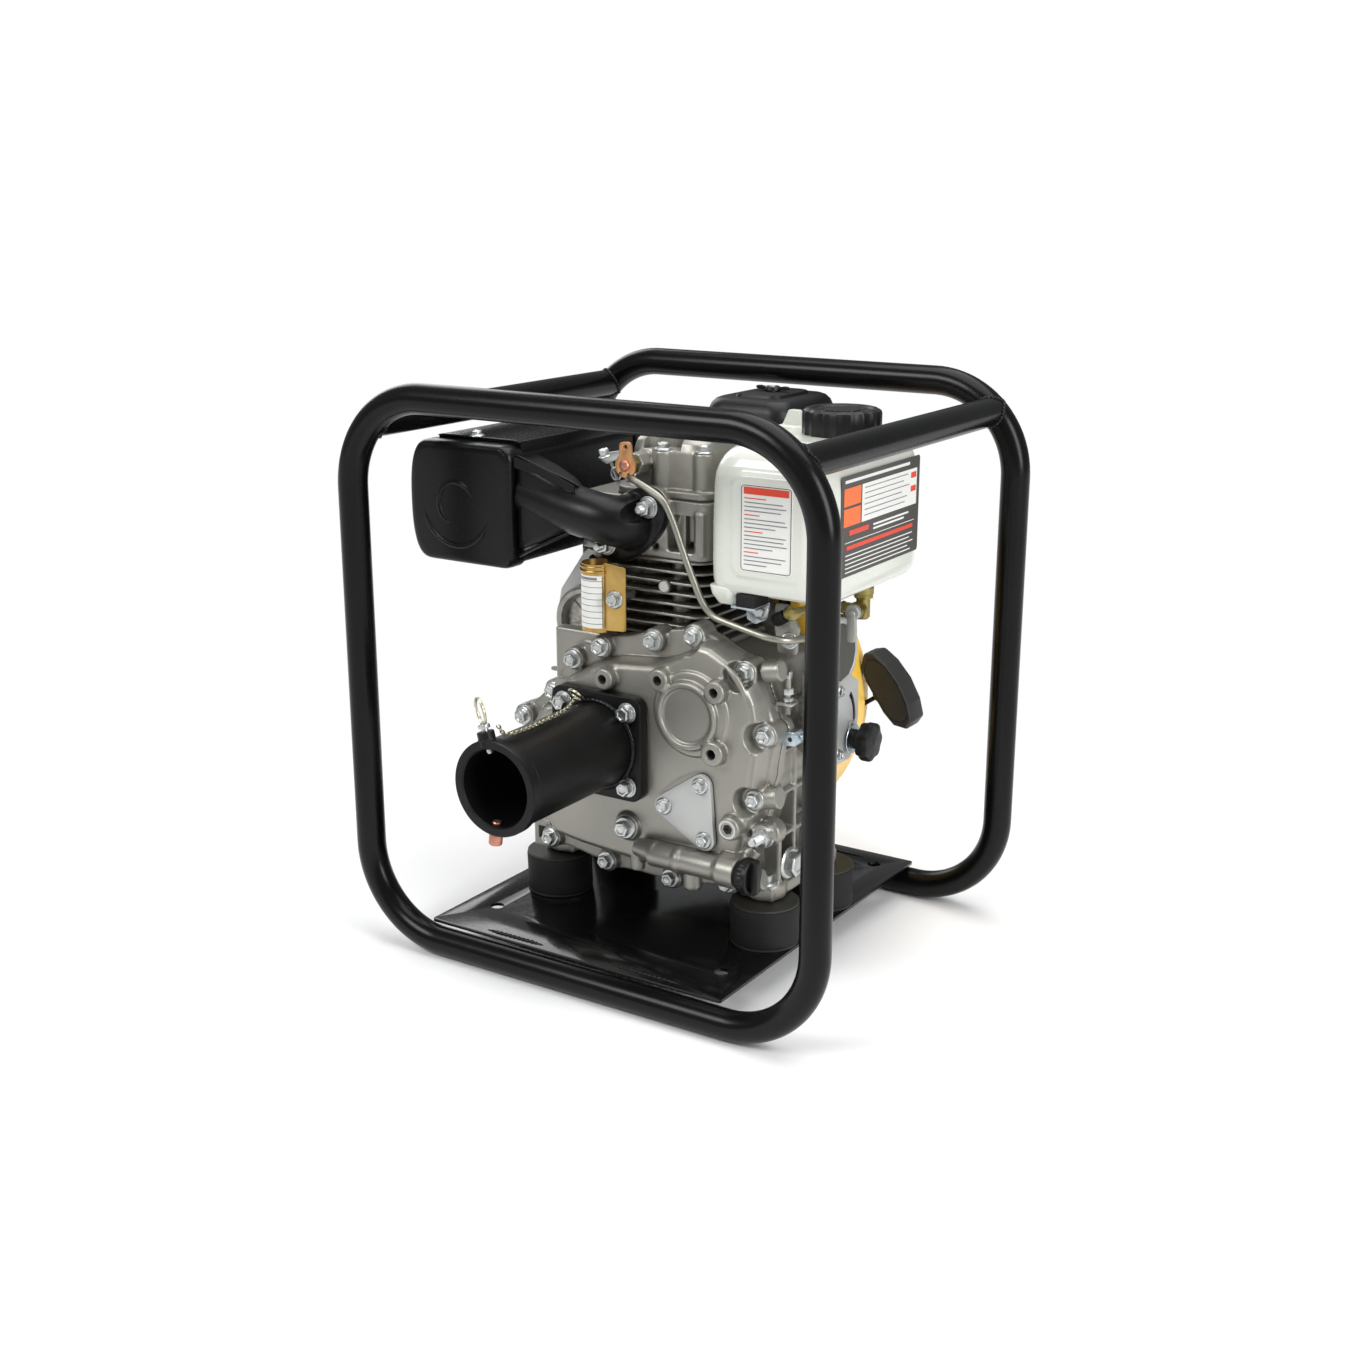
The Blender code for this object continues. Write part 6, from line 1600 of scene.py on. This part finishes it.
for k in range(30):
    t_ = 2 * math.pi * (k + 0.5) / 30
    if k % 10 in (0,):
        continue
    d_ = Vector((math.cos(t_), 0, math.sin(t_)))
    c0, c1 = Vector((CX, 0, CZ)) + d_ * 100, Vector((CX, 0, CZ)) + d_ * 126
    n_ = Vector((-d_.z, 0, d_.x)) * 3.2
    o_ = [(c0 + n_ * 0.7).xz, (c0 - n_ * 0.7).xz, (c1 - n_ * 1.3).xz, (c1 + n_ * 1.3).xz]
    ventc.append(prism("c", soften([(p[0], p[1]) for p in o_], 2.0, 4), "y", 150, 185, YELLOW))
exitp = Vector((126.0, 145.0, 216.4))
ventc.append(spun("c", [(0, -20), (5.2, -20), (5.2, 30), (0, 30)], exitp, Vector((0.8165, 0, 0.5774)), YELLOW, 40))
cut(lid_full, *ventc)
postc = turned("t", [(0, 141), (8.8, 141), (8.8, 172), (0, 172)], "y", (CX, CZ), YELLOW, 40)
badge = [turned("t", [(0, 173.4), (38, 173.4), (38, 174.6), (37, 175.0), (0, 175.0)], "y", (CX, CZ), DARK, 72),
         turned("t", [(39, 175.8), (41, 175.8), (41, 176.0), (39, 176.0)], "y", (CX, CZ), DARK, 72, ring=True)]
eye_ring = spun("t", [(3.0, 10.6), (7.2, 10.6), (7.2, 13.4), (6.4, 14.0), (3.6, 14.0), (3.0, 13.4)], Vector((CX, 145, CZ)) + Vector((0.8165, 0, 0.5774)) * 128.6,
                Vector((0.8165, 0, 0.5774)), PLASTIC, 40, ring=True)
show(merge("recoil_cover_pressing", [lid_full, postc] + badge + [eye_ring]), FRAME, "recoil_cover", slot="yellow")
show(bolts("recoil_screws", [((CX + 143.6 * math.cos(math.radians(a)), 136.6, CZ + 143.6 * math.sin(math.radians(a))), (0, 1, 0), a) for a in (75, 130, 200, 260, 320)],
           across=8, head=4.4, flange_r=5.6, flange_h=1.0), FRAME, slot="zinc")
pul = [turned("t", [(9.6, 142.2), (57, 142.2), (58, 143), (57.6, 144.2), (50, 145.2), (50, 148.8), (57.6, 149.8), (58, 151), (57, 151.8), (9.6, 151.8)], "y", (CX, CZ), PLASTIC, 96,
              ring=True)]
coil = []
for k in range(240):
    a = 2 * math.pi * 3 * k / 239
    coil.append((CX + 50.6 * math.cos(a), 145.6 + 2.8 * k / 239, CZ + 50.6 * math.sin(a)))
pul.append(sweep("t", coil, 1.1, RUBBER, 10))
show(merge("recoil_pulley_reel", pul), "pulley", "recoil_pulley", slot="black_plastic")

# starter handle with inset border line and its rope
PULL, LONG = Vector((0.8165, 0, 0.5774)), Vector((0.5774, 0, -0.8165))
HANDLE = Vector((141, 145, 227))
side_profile = [(-33, -12), (-18, -15), (18, -15), (33, -12), (42, -2), (38, 8), (22, 14), (0, 16.5), (-22, 14), (-38, 8), (-42, -2)]


def grip_outline(k=1.0):
    so_ = soften(side_profile, 2.6, 5)
    out_ = []
    for u_, w_ in so_:
        p = HANDLE + LONG * (u_ * k) + PULL * (1.0 + (w_ - 1.0) * k if k != 1.0 else w_)
        out_.append((p.x, p.z))
    return out_


hsec = [(130.3, grip_outline(0.70)), (130.3, grip_outline(0.80)), (131.0, grip_outline(0.815)), (131.0, grip_outline(0.835)), (130.3, grip_outline(0.85)), (130.5, grip_outline(0.93)),
        (131.8, grip_outline(0.975)), (134, grip_outline(0.998)), (145, grip_outline(1.0)), (156, grip_outline(0.998)), (158.2, grip_outline(0.975)), (159.5, grip_outline(0.93)),
        (159.7, grip_outline(0.85)), (159.0, grip_outline(0.835)), (159.0, grip_outline(0.815)), (159.7, grip_outline(0.80)), (159.7, grip_outline(0.70))]
GRIP_PLASTIC = surface("grip_plastic", (0.026, 0.026, 0.024), 0.0, 0.50, 0.06, 16, 0.15, 1500, 0.3, 0.00015, spec=0.35)
grip = stack("t", hsec, "y", GRIP_PLASTIC, 30)
line1, line2 = [], []
for x, z in grip_outline(0.74):
    line1.append((x, 130.5, z))
    line2.append((x, 159.5, z))
gp = [grip]
gp.append(spun("t", [(0, -20), (6.4, -20), (7.6, -17), (8.6, -13), (8.6, -8), (0, -8)], HANDLE, PULL, PLASTIC, 40))
show(merge("starter_grip", gp), "pull_handle", "recoil_handle", slot="black_plastic")
EYE = HANDLE - PULL * 38
n_rope = 40
rp_ = [EYE - PULL * 9 + (HANDLE - PULL * 12 - (EYE - PULL * 9)) * (k / n_rope) for k in range(n_rope + 1)]
rope = sweep("starter_rope", rp_, 2.2, RUBBER, 16)
try:
    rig.slot(rope, "rubber")
except Exception:
    pass
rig.blend(rope, FRAME, "pull_handle", start=tuple(c * MM if i_ != 1 else (c + CY) * MM for i_, c in enumerate(EYE - PULL * 2)),
         end=tuple(c * MM if i_ != 1 else (c + CY) * MM for i_, c in enumerate(HANDLE - PULL * 14)))

# speed plate, gasket line, lever, lobed knob
out_yz = soften([(8, 186.5), (41, 186.5), (52, 200), (55, 224), (54, 258), (36, 269), (14, 264), (8, 246)], 4, 5)
spl = prism("t", out_yz, "x", 148.2, 150.4, GREY_LIGHT)
slot_o = []
for k in range(13):
    a = math.radians(-8 + 52 * k / 12)
    slot_o.append((14 + 36.0 * math.cos(a), 226 + 36.0 * math.sin(a)))
for k in range(13):
    a = math.radians(44 - 52 * k / 12)
    slot_o.append((14 + 31.0 * math.cos(a), 226 + 31.0 * math.sin(a)))
cut(spl, prism("c", slot_o, "x", 140, 160, GREY), turned("c", [(0, 140), (5.5, 140), (5.5, 160), (0, 160)], "x", (40, 206), GREY, 32))
bevel(spl, 0.4, 2)
sfoot = bevel(box("t", 129, 149.4, 14, 34, 188.3, 190.8, GREY_LIGHT), 0.4, 2)
lobe = soften([(12, 258), (34, 260), (47, 272), (51.5, 287), (49.5, 303), (40, 315), (24, 324), (12, 327)], 6, 6)
mid = (31, 292)


def shrunk(k):
    return [(mid[0] + (y - mid[0]) * k, mid[1] + (z - mid[1]) * k) for y, z in lobe]


LOBE_OLIVE = surface("olive_panel", (0.055, 0.056, 0.044), 0.2, 0.42, 0.06, 14, 0.12, 900, 0.1, 0.0001)
rimp = stack("t", [(146.6, shrunk(1.0)), (149.4, shrunk(1.0)), (149.9, shrunk(0.975)), (149.9, shrunk(0.83)), (149.2, shrunk(0.80))], "x", GREY_LIGHT, 40)
olive = prism("t", shrunk(0.80), "x", 149.0, 149.7, LOBE_OLIVE)
black_edge = prism("t", [(y + 2.4, z + 0.6) for y, z in shrunk(1.05)], "x", 145.0, 147.2, GASKET)
rimp = merge("t", [rimp, olive, black_edge, prism("t", soften([(40, 214), (54, 214), (54, 244), (44, 257), (34, 257)], 3), "x", 146.9, 148.0, DARK)])
show(merge("speed_plate_sheet", [spl, sfoot, rimp]), FRAME, "speed_plate", slot="grey_paint")
show(bolts("speed_plate_screws", [((150.4, 17, 196), RIGHT, 8), ((150.4, 18, 256), RIGHT, 22)], across=7.6, head=3.6, flange_r=5.6, flange_h=0.9),
     FRAME, slot="zinc")
lev = bevel(prism("t", soften([(40 + a, 206 + b) for a, b in ((-8, -8), (8, -8), (8, 6), (3.5, 17), (-3.5, 17), (-8, 6))], 3.4), "x", 151.2, 153.2, ZINC), 0.5, 2)
shaft = turned("t", [(0, 137), (4.8, 137), (4.8, 159.4), (4.2, 160), (0, 160)], "x", (40, 206), ZINC, 36)
show(merge("speed_lever_set", [lev, shaft]), "throttle", "speed_lever", slot="zinc")
kn = turned("t", [(0, 163), (15.0, 163), (17.6, 164), (18.4, 166), (18.4, 172.6), (17.4, 174.6), (15, 175.7), (0, 175.9)], "x", (40, 206), PLASTIC, 168,
            radius=lambda r, h, a: r * (1 + 0.055 * math.cos(7 * a)) - (r * 0.05 if r > 10 else 0))
knn = [kn, turned("t", [(5.2, 154), (9.2, 154), (9.2, 163.4), (5.2, 163.4)], "x", (40, 206), PLASTIC, 48, ring=True),
       turned("t", [(0, 175.8), (4.6, 175.8), (4.2, 176.0), (0, 176.0)], "x", (40, 206), PLASTIC, 24)]
show(merge("speed_knob_set", knn), "throttle_knob", "speed_knob", slot="black_plastic")
show(turned("speed_knob_washer", [(5.1, 153.3), (13.6, 153.3), (14.0, 153.6), (13.6, 153.95), (5.1, 153.95)], "x", (40, 206), BLUE_ZINC, 56, ring=True), "throttle_knob",
     slot="zinc")

# ------------------------------------------------------------------ injection pump, small fittings, air cleaner
ip = [turned("t", [(0, 214), (16.4, 214), (17, 214.8), (17.4, 217), (18.6, 218), (18.6, 261), (17.4, 262.6), (14.8, 264.6), (14.8, 284), (0, 284)], "z", (151, -26), CAST, 56),
      bevel_light(prism("t", hexagon(151, -26, 26, 6), "z", 270, 279, STEEL)), bevel_light(prism("t", hexagon(151, -26, 17.4, 16), "z", 284.2, 292, ZINC)),
      turned("t", [(0, 283.9), (9.6, 284), (9.8, 297), (6.0, 298.2), (5.8, 304.6), (0, 304.6)], "z", (151, -26), ZINC, 40),
      bevel(box("t", 129.4, 148, -41.5, -10.5, 226.5, 261.5, CAST), 2, 3), rod("t", (151, -16, 272), (150.1, -4.9, 272), 4.4, BRASS, 30),
      rod("t", (150.8, -11.5, 272), (150.6, -9.8, 272), 6.2, BRASS, 30)]
for z in (224, 232, 240, 248):
    ip.append(turned("t", [(18.4, z), (18.95, z + 0.6), (18.95, z + 2.0), (18.4, z + 2.6)], "z", (151, -26), CAST, 56, ring=True))
show(merge("injection_pump_set", ip), FRAME, "injection_pump", slot="cast_alloy")
show(bolts("pump_bolts", [((147.4, -37.6, 232), RIGHT, 6), ((147.4, -37.6, 256), RIGHT, 26)], across=8, head=4.2, flange_r=6.4), FRAME, slot="zinc")

# speed limit screw on its tab
tab = [bevel(prism("t", [(131, 262), (147, 262), (147, 264.6), (131, 264.6)], "y", -66, -54, ZINC), 0.5, 2),
       bevel(prism("t", [(131, 246), (133, 246), (133, 264), (131, 264)], "y", -66, -54, ZINC), 0.4, 2),
       rod("t", (140.3, -60, 253.6), (140.3, -60, 287), 2.7, STEEL, 24),
       bevel_light(prism("t", hexagon(140.3, -60, 8.6, 12), "z", 271.6, 277.2, ZINC)), bevel_light(prism("t", hexagon(140.3, -60, 8.6, 25), "z", 265, 268.6, ZINC)),
       bevel(prism("t", rounded(137.3, 143.3, -63, -57, 1, 4), "z", 285.8, 292, ZINC), 0.5, 2)]
for k in range(13):
    z = 254.6 + 1.25 * k
    tab.append(turned("t", [(2.6, z - 0.5), (3.05, z), (2.6, z + 0.5)], "z", (140.3, -60), STEEL, 24))
show(merge("limit_screw", tab), FRAME, slot="zinc")
clv = [spun("t", [(0, 0), (8.4, 0.3), (8.9, 1), (8.9, 2.6), (8.4, 3.2), (0, 3.4)], Vector((136, -60, 232.4)), Vector((0.97, -0.1, 0.12)), BLUE_ZINC, 36),
       cut(bevel(prism("t", soften([(138.5, 226), (152, 227.5), (154, 230), (154, 238), (151, 240.5), (138.5, 239)], 1.6), "y", -68, -54, BLUE_ZINC), 0.9, 3),
           turned("h", [(2.2, -80), (2.2, -50)], "y", (147.5, 233.5), DARK, 24)),
       spun("t", [(0, 15.6), (3.0, 15.6), (3.0, 19.5), (0, 19.7)], Vector((137, -60, 232.6)), Vector((0.97, 0, 0.12)), BLUE_ZINC, 24),
       spun("t", [(5.5, 4), (6.3, 4.4), (6.3, 6.6), (5.5, 7)], Vector((137, -60, 232.6)), Vector((0.97, 0, 0.12)), BLUE_ZINC, 36, ring=True),
       rod("t", (130.5, -60, 232), (138, -60, 232.7), 3.2, ZINC, 24)]
show(merge("cable_clevis", clv), FRAME, slot="zinc")
bj = [spun("t", [(0, 0), (5.4, 0), (5.8, 0.7), (5.8, 10.4), (5.2, 11.2), (0, 11.4)], Vector((126.4, -60, 335.4)), Vector((0.87, 0, 0.5)), RUBBER, 36),
      spun("t", [(0, 11), (3.4, 11), (3.4, 15), (0, 15)], Vector((126.4, -60, 335.4)), Vector((0.87, 0, 0.5)), BRASS, 28),
      spun("t", [(0, 14), (6.2, 14.3), (6.4, 15), (6.4, 19), (5.8, 19.8), (0, 20)], Vector((126.4, -60, 335.4)), Vector((0.87, 0, 0.5)), BRASS, 36),
      bevel_light(prism("t", hexagon(146.5, 344.8, 8.8, 12), "y", -68, -57, BRASS)), rod("t", (146.5, -57, 344.8), (146.5, -34, 344.8), 3.4, BRASS, 24)]
show(merge("bleed_fitting", bj), FRAME, slot="brass")
show(bolts("pump_side_bolt", [((140.5, -60, 319.6), Vector((0.45, -0.85, 0.2)), 12)], across=9.4, head=5.4, flange_r=7.6), FRAME, slot="zinc")
show(merge("pump_bridge", [bevel(prism("t", soften([(128, 306), (146, 306), (148, 330), (138, 350), (124, 350), (124, 330)], 4), "y", -57.6, -53.6, CAST), 0.8, 2)]),
     FRAME, slot="cast_alloy")

# air cleaner bowl, element, lid and wing nut
bo = rounded(-26, 66, 60, 170, 20, 10)
bowl = stack("t", [(432.4, [(20 + (x - 20) * 0.86, 115 + (y - 115) * 0.88) for x, y in bo]), (434, [(20 + (x - 20) * 0.92, 115 + (y - 115) * 0.93) for x, y in bo]),
                   (440, [(20 + (x - 20) * 0.975, 115 + (y - 115) * 0.98) for x, y in bo]), (458, bo), (461.6, bo)], "z", PLASTIC, 50)
cut(bowl, prism("c", rounded(-22, 62, 64, 166, 17, 8), "z", 440, 480, PLASTIC))
lipb = sweep("t", [(x, y, 460.2) for x, y in rounded(-26, 66, 60, 170, 20, 10)], 0.9, PLASTIC, 8, True)
studp = turned("t", [(0, 439), (3.4, 439), (3.4, 512.4), (2.8, 513), (0, 513)], "z", (20, 115), ZINC, 28)
show(merge("air_cleaner_bowl", [bowl, studp]), FRAME, "air_cleaner_base", slot="black_plastic")
bpy.data.objects.remove(lipb)
el = [turned("t", [(12.8, 441.5), (35.8, 441.5), (35.8, 445), (35.0, 446), (35.0, 481.4), (35.8, 482.4), (35.8, 485.8), (12.8, 485.8)], "z", (20, 115), FOAM, 144, ring=True,
             radius=lambda r, h, a: r - (1.6 * (0.5 + 0.5 * math.cos(48 * a)) if 34.5 < r < 35.4 else 0))]
show(merge("air_element", el), FRAME, "air_filter", slot="foam")
co = rounded(-28, 66.5, 58, 171, 22, 10)
csec = [(462.5, [(x, y) for x, y in co]), (464, [(19.2 + (x - 19.2) * 1.0, 114.5 + (y - 114.5) * 1.0) for x, y in co]),
        (486, [(19.2 + (x - 19.2) * 0.985, 114.5 + (y - 114.5) * 0.99) for x, y in co]), (493, [(19.2 + (x - 19.2) * 0.965, 114.5 + (y - 114.5) * 0.975) for x, y in co]),
        (499, [(19.2 + (x - 19.2) * 0.915, 114.5 + (y - 114.5) * 0.935) for x, y in co]), (503, [(19.2 + (x - 19.2) * 0.84, 114.5 + (y - 114.5) * 0.87) for x, y in co]),
        (504.6, [(19.2 + (x - 19.2) * 0.76, 114.5 + (y - 114.5) * 0.80) for x, y in co])]
lidp = [stack("t", csec, "z", PLASTIC, 50), stack("t", [(503, rounded(-6, 46, 80, 149, 12, 8)), (507.4, rounded(-4, 44, 82, 147, 11, 8)), (507.9, rounded(-2, 42, 84, 145, 10, 8))],
                                                   "z", PLASTIC, 50)]
cut(lidp[0], stack("c", [(455, rounded(-24.4, 63, 61.6, 167.4, 19, 8)), (486, rounded(-23.6, 62.2, 62.4, 166.6, 18, 8)), (496, rounded(-18, 57, 68, 160, 14, 8))], "z", PLASTIC))
for p_ in lidp:
    cut(p_, turned("c", [(4.0, 480), (4.0, 520), (0, 520)], "z", (20, 115), PLASTIC, 32) if False else prism("c", circle(20, 115, 4.0, 32), "z", 480, 520, PLASTIC))
for y in (94, 100, 130, 136):
    lidp.append(bevel(box("t", 2, 38, y - 1.0, y + 1.0, 507.0, 507.95, PLASTIC), 0.3, 2))
show(merge("air_cleaner_lid", lidp), "filter_lid", "air_cleaner_cover", slot="black_plastic")
wn = [turned("t", [(3.7, 508.5), (7.6, 508.5), (8.0, 509.0), (7.4, 511.6), (6.0, 512.6), (3.7, 512.6)], "z", (20, 115), PLASTIC, 40, ring=True)]
for s in (-1, 1):
    wing = soften([(20 + s * 5.5, 509.0), (20 + s * 12, 509.0), (20 + s * 17.0, 509.6), (20 + s * 17.4, 512.4), (20 + s * 12.8, 512.8), (20 + s * 7, 511.8)], 1.2, 6)
    wn.append(bevel(prism("t", wing, "y", 113.4, 116.6, PLASTIC), 0.5, 3))
show(merge("wing_nut_set", wn), "filter_nut", "wing_nut", slot="black_plastic")
# intake neck from the bowl down to the head
show(merge("intake_neck", [rod("t", (20, 96, 433), (20, 96, 416), 15, CAST, 48), sweep("t", spline([(20, 96, 420), (20, 92, 402), (20, 76, 396), (20, 60, 396)], 8), 14, CAST, 32)]),
     FRAME, slot="cast_alloy")

# ------------------------------------------------------------------ finishes of the CAD nodes that stay in sight or inside
NODE_LOOK = {
    "front_hoop": PAINT, "rear_hoop": PAINT, "left_cross_tube": PAINT, "right_cross_tube": PAINT, "base_plate": PLATE_PAINT,
    "mount_front_left": RUBBER, "mount_front_right": RUBBER, "mount_rear_left": RUBBER, "mount_rear_right": RUBBER,
    "crankcase": CAST, "crankcase_cover": CAST, "governor_plate": GREY_LIGHT, "cover_hex_plug": ZINC, "filter_bolt": ZINC,
    "dipstick_seal": RUBBER, "dipstick": PLASTIC, "crankshaft": STEEL, "connecting_rod": STEEL, "piston": STEEL,
    "camshaft": STEEL, "cylinder": FIN_SHADED_ALLOY, "cylinder_head": CAST, "rocker_cover": CAST, "coupling_tube": TUBE_PAINT,
    "flange_bolt_1": ZINC, "flange_bolt_2": ZINC, "flange_bolt_3": ZINC, "flange_bolt_4": ZINC, "drive_dog": STEEL,
    "lock_pin": ZINC, "plunger": COPPER, "pin_chain": CHAIN, "exhaust_elbow": EXH_PAINT, "exhaust_nut_1": ZINC,
    "exhaust_nut_2": ZINC, "muffler": MUFF_PAINT, "heat_shield": MUFF_PAINT, "blower_housing": GREY, "flywheel": FIN_SHADED_ALLOY,
    "recoil_cover": YELLOW, "recoil_pulley": PLASTIC, "recoil_handle": STEM_PLASTIC, "fuel_tank": TANK, "cap_seal": RUBBER,
    "tank_cap": PLASTIC, "tank_bracket": PAINT, "petcock_body": BRASS, "petcock_lever": GREY, "fuel_hose": HOSE,
    "injection_pump": CAST, "injector_pipe": STEEL, "release_lever": COPPER, "zinc_bracket": GOLD, "speed_plate": BLUE_ZINC,
    "speed_lever": BLUE_ZINC, "speed_knob": PLASTIC, "air_cleaner_base": PLASTIC, "air_filter": FOAM,
    "air_cleaner_cover": PLASTIC, "wing_nut": ZINC,
}
for node_name, look in NODE_LOOK.items():
    ob = bpy.data.objects.get(node_name)
    if ob is None:
        continue
    if not ob.data.materials:
        ob.data.materials.append(look)
    for i in range(len(ob.data.materials)):
        ob.data.materials[i] = look

VISUAL_BOX = [list(map(float, c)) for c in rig.bounds()]
with open("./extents.json", "w") as handle_file:
    json.dump({"cad": CAD_BOX, "visual": VISUAL_BOX}, handle_file)
